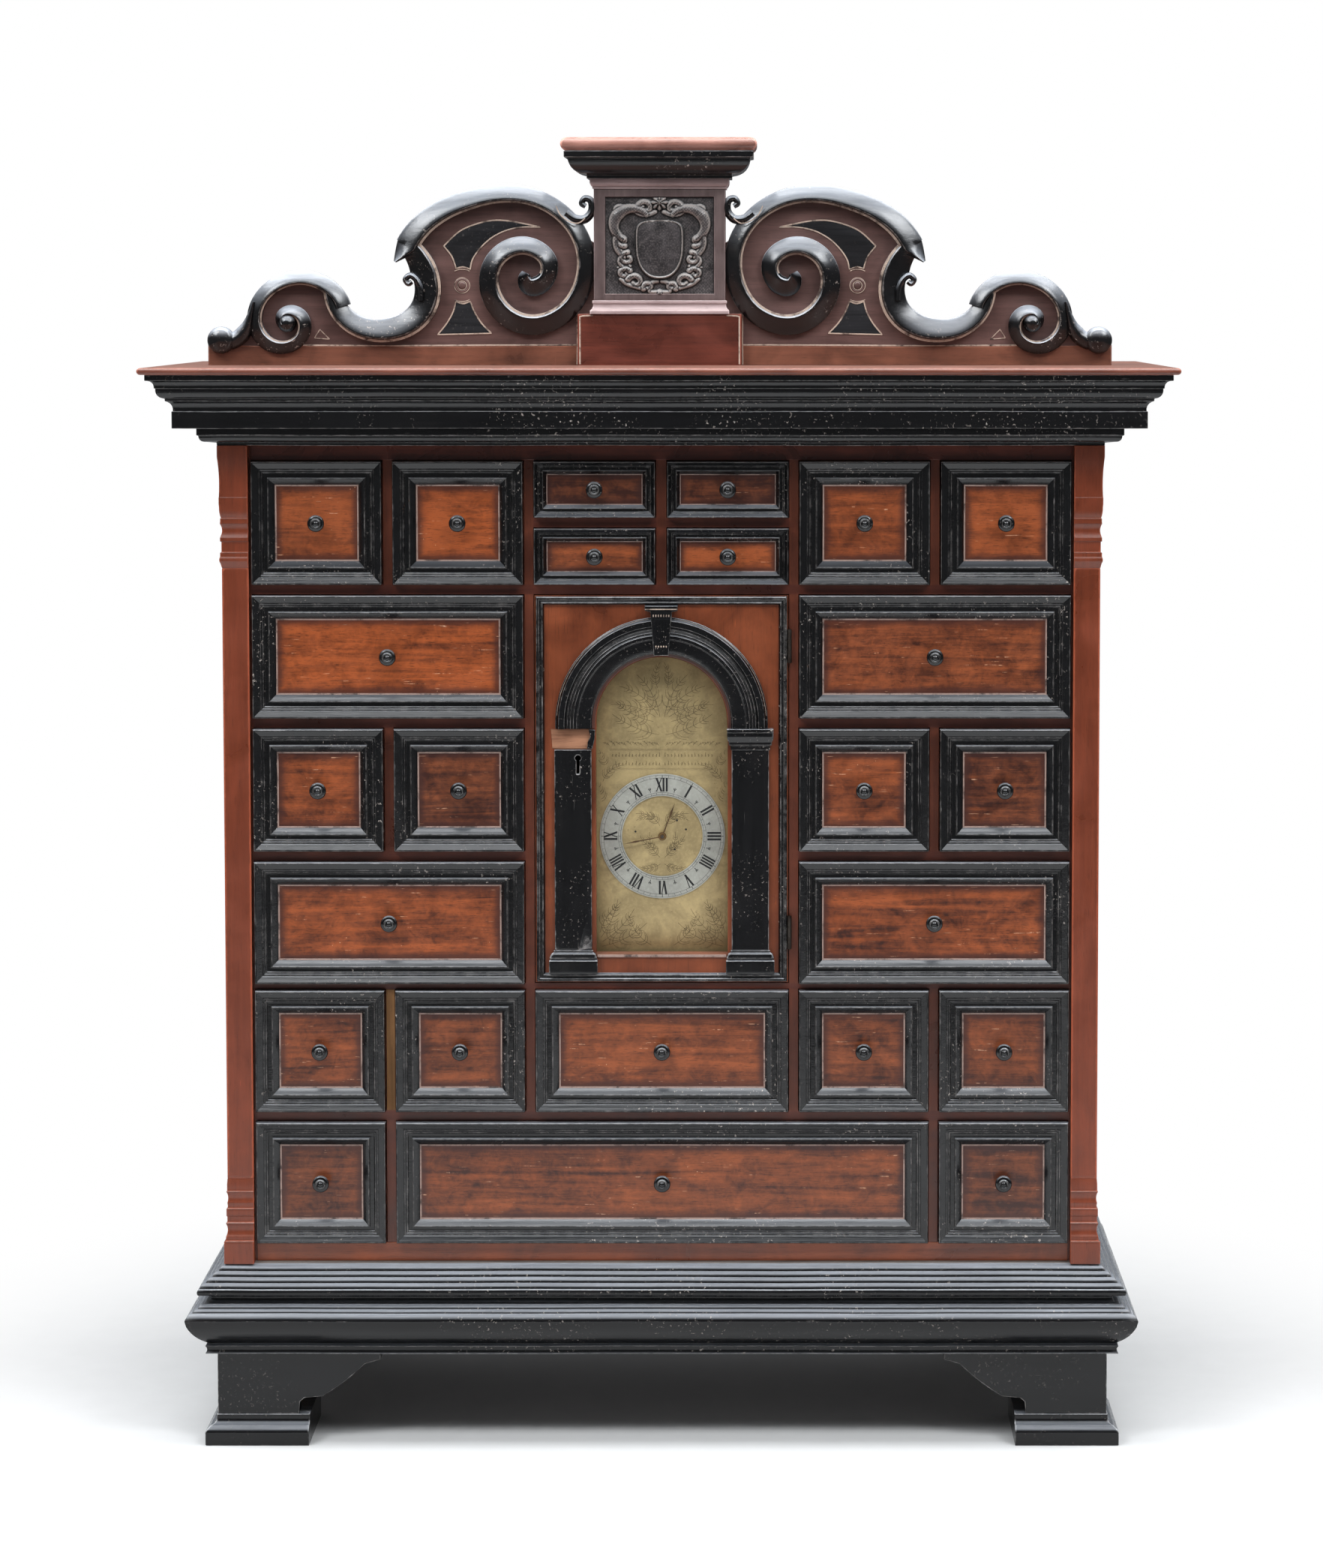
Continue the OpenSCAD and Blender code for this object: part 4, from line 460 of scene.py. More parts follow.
def picture_frame(surface, x0, x1, z0, z1, profile, width, soft=None, slots=None):
    """Four mitred strips round a rectangle on the front plane. The profile is
    (in from the edge, out of the plane)."""
    amount, near, up = 0.5 * size("waviness"), 0.9, (0, -1, 0)
    corners = [(x0, z0, 1, 1), (x1, z0, -1, 1), (x1, z1, -1, -1), (x0, z1, 1, -1)]
    stations = []
    for (cx, cz, sx, sz), (nx, nz, tx, tz) in zip(corners, corners[1:] + corners[:1]):
        start, end = np.array([cx, FACE_Y, cz]), np.array([nx, FACE_Y, nz])
        out_a, out_b = np.array([sx, 0.0, sz]), np.array([tx, 0.0, tz])
        span = np.linalg.norm(end - start)
        way, across = (end - start) / span, (out_a + out_b) / 2
        stations += [(start, out_a, up, -0.45), (start + way * near, out_a, up, 0)]
        for s in (0.25, 0.5, 0.75):
            at = width + 2 + (span - 2 * width - 4) * s
            stations.append((start + way * at + wave(at + cx, cz * 0.1, amount) * across, across, up, 0))
        stations.append((end - way * near, out_b, up, 0))
    run(surface, profile, stations, True, soft, slots)


def plate(surface, outline, y_back, y_front, r=0.6, fade=2.0, slot=0, rim=1.0):
    """An outline in (x, z) made a board from y_back forward to y_front, with
    its front edge rounded by r and marked rim, fading over a distance."""
    steps = [
        (0.0, y_back, 0.0), (0.0, y_front + r, 0.4), (0.3 * r, y_front + 0.3 * r, 1.0), (r, y_front, 0.8),
        (r + fade * 0.5, y_front, 0.25), (r + fade, y_front, 0.0),
    ]
    rings, marks = [], []
    for depth, y, mark in steps if fade > 0 else steps[:4]:
        rings.append(np.insert(inward(outline, depth), 1, y, axis=1))
        marks.append([mark * rim])
    surface.loops(np.array(rings), marks, slot=slot)


def lathe(surface, profile, centre, n=40, soft=None, slot=0):
    """A profile of (r, h) turned round an axis through centre, with h towards
    the front."""
    points, mark = softened(profile, soft, closed=False)
    a = np.linspace(0, 2 * math.pi, n, endpoint=False)
    r, h = points[:, :1], points[:, 1:]
    rings = np.stack(np.broadcast_arrays(r * np.cos(a), -h, r * np.sin(a)), -1) + centre
    surface.loops(rings, mark[:, None], slot=slot)


def band(surface, line, width, section, y_back, height, slot=0, closed=False):
    """A band along a line in (x, z): at each point a section of (across from
    -1 to 1, height from 0 to 1, mark) is laid square to the line and scaled
    by the width and the height there."""
    line = np.asarray(line, float)
    width, height = (np.broadcast_to(v, (len(line),))[:, None] for v in (width, height))
    across = square_to(line, closed)
    s, h, mark = (np.array(v, float) for v in zip(*section))
    x, z = (line[:, i:i + 1] + across[:, i:i + 1] * s * width / 2 for i in (0, 1))
    surface.loops(np.stack([x, y_back - h * height, z], -1), mark[None], closed, slot)


def ribbon(surface, line, width, y, thick, slot=0, closed=False, mark=0.0):
    """A thin strip laid along a line in (x, z), standing thick in front of y."""
    section = [(-1, 0, mark), (-0.7, 1, mark), (0.7, 1, mark), (1, 0, mark)]
    band(surface, line, width, section, y, thick, slot, closed)


# Finishes


class Amount:
    """A number or colour that a material works out, which plain signs add,
    take away and multiply."""

    def __init__(self, finish, socket):
        self.finish, self.socket = finish, socket

    def __add__(self, other):
        return self.finish.math("ADD", self, other)

    def __sub__(self, other):
        return self.finish.math("SUBTRACT", self, other)

    def __mul__(self, other):
        return self.finish.math("MULTIPLY", self, other)

    def capped(self):
        """The same amount, held between 0 and 1."""
        self.socket.node.use_clamp = True
        return self


class Finish:
    """Adds shader nodes to one material and joins them."""

    def __init__(self, name):
        self.material = bpy.data.materials.new(name)
        self.material.use_nodes = True
        self.tree = self.material.node_tree
        self.tree.nodes.clear()
        self.shader = self.tree.nodes.new("ShaderNodeBsdfPrincipled")
        self.out = self.tree.nodes.new("ShaderNodeOutputMaterial")
        self.tree.links.new(self.shader.outputs[0], self.out.inputs["Surface"])
        self.coords = self.node("TexCoord", {}, "Object")

    def put(self, socket, value):
        """Joins a socket to an amount, or sets it to a number or colour."""
        if isinstance(value, Amount):
            self.tree.links.new(value.socket, socket)
        elif hasattr(socket.default_value, "__len__"):
            socket.default_value = (tuple(value) + (1.0,))[:len(socket.default_value)]
        else:
            socket.default_value = value

    def node(self, kind, sockets, out=0, **fields):
        """Adds a node, fills its fields and sockets, and gives one output."""
        n = self.tree.nodes.new("ShaderNode" + kind)
        for field, value in fields.items():
            setattr(n, field, value)
        for key, value in sockets.items():
            self.put(n.inputs[key], value)
        return Amount(self, n.outputs[out])

    def math(self, kind, a, b):
        return self.node("Math", {0: a, 1: b}, operation=kind)

    def height(self):
        return self.node("SeparateXYZ", {0: self.coords}, 2)

    def upward(self):
        """How far the surface faces up: 1 straight up, 0 upright."""
        return self.node("SeparateXYZ", {0: self.node("NewGeometry", {}, "Normal")}, 2)

    def layer(self, name):
        return self.node("Attribute", {}, "Fac", attribute_name=name)

    def stretched(self, scale, turn=(0, 0, 0), move=(0, 0, 0)):
        sockets = {"Vector": self.coords, "Location": move, "Scale": scale, "Rotation": turn}
        return self.node("Mapping", sockets)

    def noise(self, scale, detail, rough, bend=0.0, turn=(0, 0, 0), w=None):
        """Cloudy noise with one scale, or with one along each axis."""
        even = isinstance(scale, float)
        sockets = {
            "Vector": self.coords if even else self.stretched(scale, turn), "Scale": scale if even else 1.0,
            "Detail": detail, "Roughness": rough, "Distortion": bend,
        }
        if w is None:
            return self.node("TexNoise", sockets, "Fac")
        return self.node("TexNoise", sockets | {"W": w}, "Fac", noise_dimensions="4D")

    def cells(self, scale):
        """Distance to the nearest of many scattered points."""
        return self.node("TexVoronoi", {"Vector": self.coords, "Scale": scale}, "Distance")

    def between(self, value, low, high):
        """0 under low, 1 over high, and smooth between them."""
        sockets = {"Value": value, "From Min": low, "From Max": high}
        return self.node("MapRange", sockets, interpolation_type="SMOOTHSTEP")

    def span(self, value, low, high, to_low=0.0, to_high=1.0):
        """Straight from to_low at low to to_high at high."""
        sockets = {"Value": value, "From Min": low, "From Max": high, "To Min": to_low, "To Max": to_high}
        return self.node("MapRange", sockets)

    def mix(self, share, a, b):
        return self.node("Mix", {"Factor": share, 6: a, 7: b}, 2, data_type="RGBA")

    def bump(self, height, strength, distance, under=None):
        sockets = {"Height": height, "Strength": strength, "Distance": distance}
        return self.node("Bump", sockets | ({"Normal": under} if under else {}))

    def finish(self, base, rough, normal=None, **fixed):
        self.put(self.shader.inputs["Base Color"], base)
        self.put(self.shader.inputs["Roughness"], rough)
        if normal is not None:
            self.put(self.shader.inputs["Normal"], normal)
        for label, value in fixed.items():
            self.shader.inputs[label.replace("_", " ")].default_value = value
        return self.material


ALONG, UP, DEEP = 0, 2, 1


def grained(axis, long, fine):
    """Scale of a pattern that is drawn out along one axis."""
    return tuple(long if i == axis else fine for i in range(3))


def shade(tint, k):
    return tuple(min(1.0, c * k) for c in tint)


def ebonised(name, axis=ALONG, chips=0.5, dust_sheen_facing=(0.42, 0.95), most=(0.45, 0.78), silver=0.5, gleam=0.5,
             lift=1.0):
    """Black polish over a fine wood: faint grain, thin brown where it is
    rubbed, grey on worn corners and a pale painted highlight, partly rubbing, on
    those that face up, sparse chips down to the wood, pale flecks in patches, fine
    scratches, dust and a painted bluish sheen on what faces up, a black that can be
    lightened as a painted reflection, and a gloss that changes from place to place."""
    c = bpy.context.scene.cabinet_colours
    f = Finish(name)
    edge, up = f.layer("edge"), f.upward()
    fine = f.noise(grained(axis, 9.0, 150.0), 5, 0.6, 0.4)
    pores = f.noise(grained(axis, 60.0, 1300.0), 2, 0.6)
    cloud, small, broken = f.noise(23.0, 5, 0.6, 0.5), f.noise(420.0, 4, 0.65), f.noise(95.0, 6, 0.7)
    # the black can be lightened here as a painted reflection of a glossy surface
    base = f.mix(f.span(fine, 0.3, 0.75), shade(c.ebony, 0.55 * lift), shade(c.ebony, 1.35 * lift))
    brown = f.between(cloud, 0.52, 0.78) * f.between(fine, 0.35, 0.8)
    base = f.mix(brown * 0.22, base, linear(0.20, 0.16, 0.14))
    worn = f.between(edge * 0.55 + broken, 0.86, 1.2)
    base = f.mix(worn * 0.75, base, c.ebony_worn)
    spots = f.between(f.noise(60.0, 6, 0.72), 0.70, 0.735)
    spots *= f.between(edge + small * 0.9, 0.45 + 0.5 * (1 - chips), 1.15)
    base = f.mix(spots, base, c.ebony_chip)
    dust = f.between(edge * -0.6 + small, 0.75, 1.25)
    base = f.mix(dust * 0.35, base, linear(0.30, 0.28, 0.27))
    scratch = f.between(f.noise(grained(axis, 30.0, 900.0), 2, 0.5, turn=(0.2, 0.35, 0.5)), 0.735, 0.765)
    base = f.mix(scratch * f.between(cloud, 0.45, 0.6) * 0.45, base, linear(0.45, 0.43, 0.42))
    # dust and painted sheen: what faces up turns a pale bluish grey, partly settled dust and partly a painted
    # reflection of the light above
    dust_and_sheen = f.between(up, *dust_sheen_facing) * f.span(fine, 0.3, 0.7, *most)
    base = f.mix(dust_and_sheen, base, linear(silver, 1.03 * silver, 1.08 * silver))
    # worn edges that face up turn near white: partly rubbing, partly a painted highlight
    worn_crest_highlight = f.between(edge, 0.35, 0.95) * f.between(up, 0.12, 0.6) * f.span(broken, 0.35, 0.6, 0.35, 0.9)
    base = f.mix(worn_crest_highlight, base, linear(0.78, 0.78, 0.79))
    flecks = f.between(f.noise(330.0, 4, 0.7), 0.61, 0.67) * f.between(f.noise(11.0, 3, 0.6), 0.47, 0.60)
    base = f.mix(flecks * min(1.0, 0.1 + 1.5 * chips), base, linear(0.70, 0.66, 0.63))
    rough = f.span(cloud, 0.3, 0.7, 0.10, 0.22) + small * 0.08 + f.math("MAXIMUM", worn, dust) * 0.22
    normal = f.bump(fine - spots * 0.8, 0.45, 0.00035, f.bump(pores, 0.35, 0.00012))
    normal = f.bump(f.noise(14.0, 3, 0.5), 0.5, 0.0012, normal)
    return f.finish(base, rough.capped(), normal, Specular_IOR_Level=gleam)


def veneered(name, dark, light, axis=ALONG, figure=0.5, gloss=(0.26, 0.44), under=None):
    """Polished veneer: broad cloudy figure, long grain, dark pores, darker in
    hollow corners, pale rubbed edges, a few scratches, and dust with a painted
    highlight on what faces up. Below the case floor it can turn to another colour."""
    f = Finish(name)
    edge = f.layer("edge")
    long = f.noise(grained(axis, 9.0, 150.0), 6, 0.6, 0.6)
    pores = f.noise(grained(axis, 60.0, 1300.0), 3, 0.7)
    cloud, small = f.noise(17.0, 5, 0.55, 0.8), f.noise(380.0, 4, 0.65)
    tone = f.span(long, 0.25, 0.75) * (1 - figure) + f.span(cloud, 0.25, 0.75) * figure
    base = f.mix(tone, dark, light)
    base = f.mix(f.between(pores, 0.56, 0.7) * 0.4, base, shade(dark, 0.35))
    # darker in hollow corners
    corner_dark = f.between(small * 0.5 - edge, 0.35, 1.1)
    base = f.mix(corner_dark * 0.55, base, shade(dark, 0.3))
    rub = f.between(edge + f.noise(120.0, 5, 0.7) * 0.9, 0.95, 1.5)
    base = f.mix(rub * 0.6, base, shade(light, 1.9))
    scratch = f.between(f.noise((700, 700, 28), 2, 0.5, turn=(0.5, 0.2, 0.1)), 0.745, 0.77)
    base = f.mix(scratch * f.between(cloud, 0.42, 0.6) * 0.5, base, shade(light, 1.8))
    # dust and painted highlight: what faces up turns paler, partly dust and partly a painted highlight
    dust_and_sheen = f.between(f.upward(), 0.30, 0.85) * f.span(small, 0.3, 0.7, 0.08, 0.36)
    base = f.mix(dust_and_sheen, base, linear(0.68, 0.575, 0.53))
    if under:
        base = f.mix(f.between(f.height(), (CASE_Z + 0.3) * MM, (CASE_Z + 0.7) * MM), under, base)
    rough = f.span(cloud, 0.3, 0.7, *gloss) + f.math("MAXIMUM", corner_dark, rub) * 0.2
    normal = f.bump(long, 0.3, 0.0004, f.bump(pores, 0.4, 0.00015))
    return f.finish(base, rough.capped(), f.bump(f.noise(11.0, 3, 0.5), 0.5, 0.0012, normal))


def panel_veneer(name):
    """Veneer of the drawer panels. Tone and warmth are a point's own values,
    and together they pick another part of the figure for each panel."""
    c = bpy.context.scene.cabinet_colours
    f = Finish(name)
    edge, tone, warm = f.layer("edge"), f.layer("tone"), f.layer("warm")
    part = (tone + warm) * 23.7
    long = f.noise((7.0, 60.0, 120.0), 6, 0.62, 0.9, w=part)
    cloud = f.noise((22.0, 22.0, 30.0), 5, 0.6, 1.4, w=part)
    burr = f.noise(75.0, 5, 0.6, 2.2, w=part)
    pores = f.noise((120.0, 1500.0, 1500.0), 3, 0.7)
    figure = long * 0.45 + (cloud * 0.35 + burr * 0.20)
    lit = f.span(figure, 0.37, 0.61, -0.74, 0.46) + f.span(tone, 0, 1, 0.20, 1.0)
    base = f.mix(lit.capped(), c.veneer_dark, f.mix(warm, c.veneer_brown, c.veneer_orange))
    base = f.mix(f.between(pores, 0.54, 0.68) * 0.60, base, shade(c.veneer_dark, 0.5))
    rim = f.between(f.noise(55.0, 5, 0.6) * 0.7 - edge, 0.45, 1.25)
    base = f.mix(rim * 0.78, base, linear(0.235, 0.12, 0.10))
    spots = f.between(f.cells(140.0), 0.07, 0.03) * f.between(cloud, 0.58, 0.66)
    base = f.mix(spots, base, linear(0.12, 0.07, 0.06))
    scratch = f.between(f.noise((40, 800, 800), 2, 0.5, turn=(0.3, 0.5, 0.9)), 0.69, 0.73)
    base = f.mix(scratch * f.between(burr, 0.45, 0.6) * 0.85, base, linear(0.84, 0.66, 0.54))
    chips = f.between(f.cells(210.0), 0.10, 0.05) * f.between(cloud, 0.60, 0.66)
    base = f.mix(chips, base, linear(0.85, 0.68, 0.55))
    rough = f.span(cloud, 0.3, 0.7, 0.24, 0.40) + f.noise(420.0, 4, 0.65) * 0.10
    normal = f.bump(f.noise(30.0, 3, 0.5), 0.35, 0.0006, f.bump(pores, 0.35, 0.00012))
    return f.finish(base, rough, normal)


def bare_wood(name, dark, light, axis):
    """Unpolished lining wood: rings of early and late wood along the grain,
    fine fibres, grey handling marks."""
    f = Finish(name)
    rings = f.noise(grained(axis, 7.2, 120.0), 6, 0.6, 0.8)
    fibres = f.noise(grained(axis, 48.0, 1040.0), 4, 0.7)
    cloud = f.noise(9.0, 5, 0.6, 0.4)
    base = f.mix(f.between(rings, 0.3, 0.72), dark, light)
    base = f.mix(f.between(fibres, 0.5, 0.72) * 0.35, base, shade(dark, 0.5))
    base = f.mix(f.between(cloud, 0.45, 0.8) * 0.45, base, shade(dark, 0.6))
    base = f.mix(f.between(f.layer("edge"), 0.3, 1.1) * 0.4, base, shade(dark, 0.55))
    normal = f.bump(rings, 0.35, 0.0006, f.bump(fibres, 0.5, 0.00025))
    return f.finish(base, f.span(cloud, 0.3, 0.7, 0.62, 0.82), normal, Specular_IOR_Level=0.35)


def carved(name):
    """Carving once black, now grey with dust: painted shade dark in the hollows,
    paler on what faces up from dust and a painted top light, and rubbed pale on what stands out."""
    f = Finish(name)
    edge = f.layer("edge")
    cloud, fine = f.noise(60.0, 5, 0.6, 0.5), f.noise(700.0, 4, 0.65)
    base = f.mix(f.between(cloud, 0.3, 0.7), linear(0.12, 0.115, 0.12), linear(0.27, 0.255, 0.26))
    base = f.mix(f.between(fine, 0.45, 0.7) * 0.35, base, linear(0.50, 0.47, 0.46))
    # painted shade: the hollows are darkened nearly to black
    hollow = f.between(edge * -1.0, 0.05, 0.6)
    base = f.mix(hollow * 0.95, base, linear(0.07, 0.062, 0.06))
    # paler on what faces up: partly dust, partly a painted top light
    base = f.mix(f.between(f.upward(), 0.15, 0.75) * 0.65, base, linear(0.62, 0.61, 0.61))
    rubbed = f.between(edge + cloud * 0.5, 0.45, 1.1)
    base = f.mix(rubbed * 0.8, base, linear(0.64, 0.61, 0.59))
    rough = f.span(cloud, 0.3, 0.7, 0.26, 0.42) + hollow * 0.2
    return f.finish(base, rough.capped(), f.bump(cloud, 0.3, 0.0008, f.bump(fine, 0.4, 0.0002)))


def pale_line(name, tint):
    """Worn pale line: light wood and old polish, broken by dark gaps. On the door's sill the same finish is a
    painted highlight.
    """
    f = Finish(name)
    gaps, fine = f.noise(70.0, 6, 0.7), f.noise(500.0, 4, 0.6)
    base = f.mix(f.between(gaps, 0.34, 0.52), linear(0.24, 0.18, 0.16), tint)
    base = f.mix(f.between(fine, 0.4, 0.7) * 0.35, base, shade(tint, 0.5))
    return f.finish(base, f.span(fine, 0.3, 0.7, 0.4, 0.62), f.bump(fine, 0.4, 0.0002))


def aged_metal(name, tint, dull, gloss, metal=1.0, spots=0.5):
    """Old polished metal: cloudy tarnish, fine rubbing lines, small spots,
    darker in hollow corners."""
    f = Finish(name)
    cloud, fine, speck = f.noise(40.0, 6, 0.62, 0.6), f.noise(400.0, 4, 0.65), f.noise(260.0, 5, 0.7)
    base = f.mix(f.between(cloud, 0.32, 0.72), dull, tint)
    base = f.mix(f.between(fine, 0.45, 0.75) * 0.30, base, shade(tint, 1.25))
    base = f.mix(f.between(speck, 0.62, 0.72) * spots, base, shade(dull, 0.4))
    base = f.mix(f.between(f.layer("edge") * -1.0, 0.2, 1.0), base, shade(dull, 0.35))
    rough = f.span(cloud, 0.3, 0.7, gloss[1], gloss[0]) + speck * 0.12
    normal = f.bump(f.noise(22.0, 3, 0.5), 0.25, 0.0006, f.bump(fine, 0.25, 0.00008))
    return f.finish(base, rough.capped(), normal, Metallic=metal)


FINISHES = {}


def finishes():
    """Every finish by name, made once."""
    if FINISHES:
        return FINISHES
    c = bpy.context.scene.cabinet_colours

    def add(maker, name, *values, **more):
        FINISHES[name] = maker(name, *values, **more)

    def polish(name, dark, light, *values):
        add(veneered, name, linear(*dark), linear(*light), *values)

    def metal(name, tint, dull, *values):
        add(aged_metal, name, linear(*tint), linear(*dull), *values)

    add(ebonised, "ebonised_along")
    add(ebonised, "ebonised_upright", UP)
    add(ebonised, "ebonised_smooth", chips=0.1)
    # the inlays' black is lightened as a painted reflection of their gloss
    add(ebonised, "ebonised_inlay", chips=0.0, lift=3.6)
    # the values after chips set how much dust and painted sheen lies on what faces up, how pale it is, and
    # the gloss
    add(ebonised, "ebonised_carved", ALONG, 0.35, (0.10, 0.85), (0.6, 0.98), 0.68)
    add(ebonised, "ebonised_base", ALONG, 0.3, (0.40, 0.92), (0.6, 0.95), 0.56, 0.34)
    add(ebonised, "ebonised_foot", ALONG, 0.05, (0.30, 0.85), (0.5, 0.9), 0.50, 0.34)
    add(panel_veneer, "panel_veneer")
    add(carved, "carved_wood")
    red = shade(c.case_red, 0.55), shade(c.case_red, 1.25)
    add(veneered, "case_veneer_along", *red)
    add(veneered, "case_veneer_upright", *red, UP, under=linear(0.36, 0.34, 0.33))
    add(veneered, "pilaster_polish", shade(c.pilaster, 0.48), shade(c.pilaster, 1.28), UP, 0.55)
    add(veneered, "scroll_ground", shade(c.ground, 0.14), shade(c.ground, 1.08), ALONG, 0.6, (0.28, 0.48))
    polish("reveal_polish", (0.16, 0.08, 0.06), (0.36, 0.21, 0.17), UP, 0.6)
    polish("dusty_polish", (0.38, 0.31, 0.305), (0.78, 0.69, 0.69), ALONG, 0.5, (0.3, 0.5))
    polish("dark_frame_polish", (0.17, 0.12, 0.115), (0.46, 0.395, 0.39), UP, 0.6, (0.3, 0.5))
    polish("block_polish", (0.12, 0.06, 0.05), (0.44, 0.21, 0.155), ALONG, 0.6, (0.2, 0.4))
    polish("strip_polish", (0.17, 0.10, 0.085), (0.55, 0.34, 0.255), ALONG, 0.7)
    polish("rail_polish_along", (0.32, 0.145, 0.09), (0.66, 0.35, 0.22), ALONG, 0.7)
    polish("rail_polish_upright", (0.24, 0.11, 0.07), (0.50, 0.25, 0.16), UP, 0.7)
    polish("dark_red_polish", (0.22, 0.10, 0.075), (0.46, 0.22, 0.15), ALONG, 0.7)
    polish("spandrel_burr", (0.25, 0.11, 0.065), (0.58, 0.29, 0.15), UP, 0.78)
    polish("cornice_board_polish", (0.22, 0.105, 0.08), (0.52, 0.285, 0.215))
    polish("cap_board_polish", (0.32, 0.20, 0.17), (0.72, 0.51, 0.455))
    add(bare_wood, "grey_old_wood", linear(0.30, 0.275, 0.26), linear(0.50, 0.465, 0.44), ALONG)
    add(bare_wood, "bare_patch", linear(0.46, 0.30, 0.22), linear(0.70, 0.50, 0.38), ALONG)
    add(bare_wood, "bare_wood_deep", shade(c.oak, 0.55), shade(c.oak, 1.05), DEEP)
    add(bare_wood, "bare_wood_along", shade(c.oak, 0.55), shade(c.oak, 1.05), ALONG)
    add(bare_wood, "bare_wood_upright", shade(c.oak, 0.45), shade(c.oak, 0.9), UP)
    add(pale_line, "pale_line", tuple(c.cream))
    # worn pale lips of the drawer mouldings, and a painted highlight on the door's sill
    add(pale_line, "worn_lip", linear(0.62, 0.52, 0.48))
    add(aged_metal, "dial_brass", tuple(c.brass), shade(c.brass, 0.62), (0.34, 0.5), 0.4)
    add(aged_metal, "silvered_ring", tuple(c.silvering), shade(c.silvering, 0.7), (0.42, 0.58), 0.15, 0.25)
    add(aged_metal, "black_wax", tuple(c.ink), shade(c.ink, 0.5), (0.4, 0.6), 0.0)
    add(aged_metal, "dark_steel", tuple(c.steel), linear(0.17, 0.13, 0.11), (0.35, 0.55), 0.9)
    metal("movement_brass", (0.80, 0.66, 0.38), (0.52, 0.40, 0.22), (0.22, 0.4))
    metal("movement_steel", (0.46, 0.45, 0.44), (0.26, 0.24, 0.22), (0.25, 0.42))
    metal("engraved_line", (0.43, 0.37, 0.26), (0.33, 0.28, 0.19), (0.45, 0.6), 0.5)
    metal("browned_hand", (0.44, 0.34, 0.23), (0.27, 0.20, 0.14), (0.35, 0.5), 0.5)
    return FINISHES


def dress(finish, *names):
    """Gives carried-over frame nodes their finish."""
    for name in names:
        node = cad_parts[name]
        for place in node.material_slots:
            place.link = "OBJECT"
            place.material = finishes()[finish]
        if not node.material_slots:
            node.data.materials.append(finishes()[finish])


# Base and case

PAD_H, PAD_L, PAD_OUT = 26.0, 92.0, 19.0
BRACKET_H, BRACKET_OUT, BRACKET_T, GLUE_W = 57.0, 9.0, 18.0, 28.0
GAP = 0.05


def bracket_outline(reach, foot):
    """A bracket foot's cut-out board: its straight foot, a low step, a slope
    and a second step under the base."""
    h = BRACKET_H
    return np.array(moulding(
        (0, 0), (foot - 6, 0), (foot - 5, 0.19 * h), (foot - 1, 0.25 * h), (foot + 15, 0.275 * h),
        (reach - 14, 0.79 * h, -1.5, 6), (reach, 0.86 * h), (reach, h), (0, h),
    ))


def swung(side):
    """Places points drawn in (along y, depth, z) on the left or right face."""
    return lambda p: np.stack([-side * p[:, 1], p[:, 0], p[:, 2]], 1)


class CABINET_OT_feet(bpy.types.Operator):
    """Moulded foot pads and cut-out bracket feet"""

    bl_idname = "cabinet.feet"
    bl_label = "Feet"

    def execute(self, context):
        pads, feet = Surface(), Surface()
        h, brim = PAD_H, BRACKET_OUT + 1
        profile = moulding(
            (PAD_OUT - 0.6, 0), (PAD_OUT, 0.6), (PAD_OUT, 0.38 * h), (PAD_OUT - 3, 0.62 * h, -1.2, 5),
            (PAD_OUT - 4, 0.66 * h), (brim, h - 2, 2, 6), (brim, h), (BRACKET_OUT - 4, h),
        )
        room, front_reach, side_reach, slip = PAD_L - PAD_OUT, 145.0, 118.0, 0.15
        foot = room + BRACKET_OUT - 4
        ox, oy = HALF + BRACKET_OUT, DATUM - BRACKET_OUT
        for s in (-1, 1):
            x0, x1 = sorted((s * (HALF - room), s * HALF))
            stack(pads, profile, boxed(x0, x1, DATUM, DATUM + room, (s < 0, s > 0, 1, 0)))
            stack(pads, profile, boxed(x0, x1, BACK - room, BACK, (s < 0, s > 0, 0, 0)))
            for reach, y, r in ((front_reach, oy, 0.6), (side_reach, BACK - BRACKET_T, 0.4)):
                outline = bracket_outline(reach, foot) * [-s, 1] + [s * (ox - slip), PAD_H]
                plate(feet, outline, y + BRACKET_T, y, r)
            feet.place = swung(s)
            for first, turn in ((oy + slip, 1), (BACK - slip, -1)):
                outline = bracket_outline(side_reach, foot) * [turn, 1] + [first, PAD_H]
                plate(feet, outline, BRACKET_T - ox, -ox)
            feet.place = None
            x0, x1 = sorted(s * (ox - BRACKET_T - GAP - w) for w in (0, GLUE_W))
            for y in (oy + BRACKET_T + GAP, BACK - BRACKET_T - GLUE_W - GAP):
                block(feet, (x0, y, PAD_H), (x1, y + GLUE_W, BASE_Z), 0.4, 2, slot=1)
        pads.build("foot_pads_moulded", "ebonised_foot", "case", "ebonised_wood", "foot_pads")
        feet.build("bracket_feet_cut", "ebonised_foot bare_wood_along", "case", "ebonised_wood",
                   "bracket_feet")
        return {"FINISHED"}


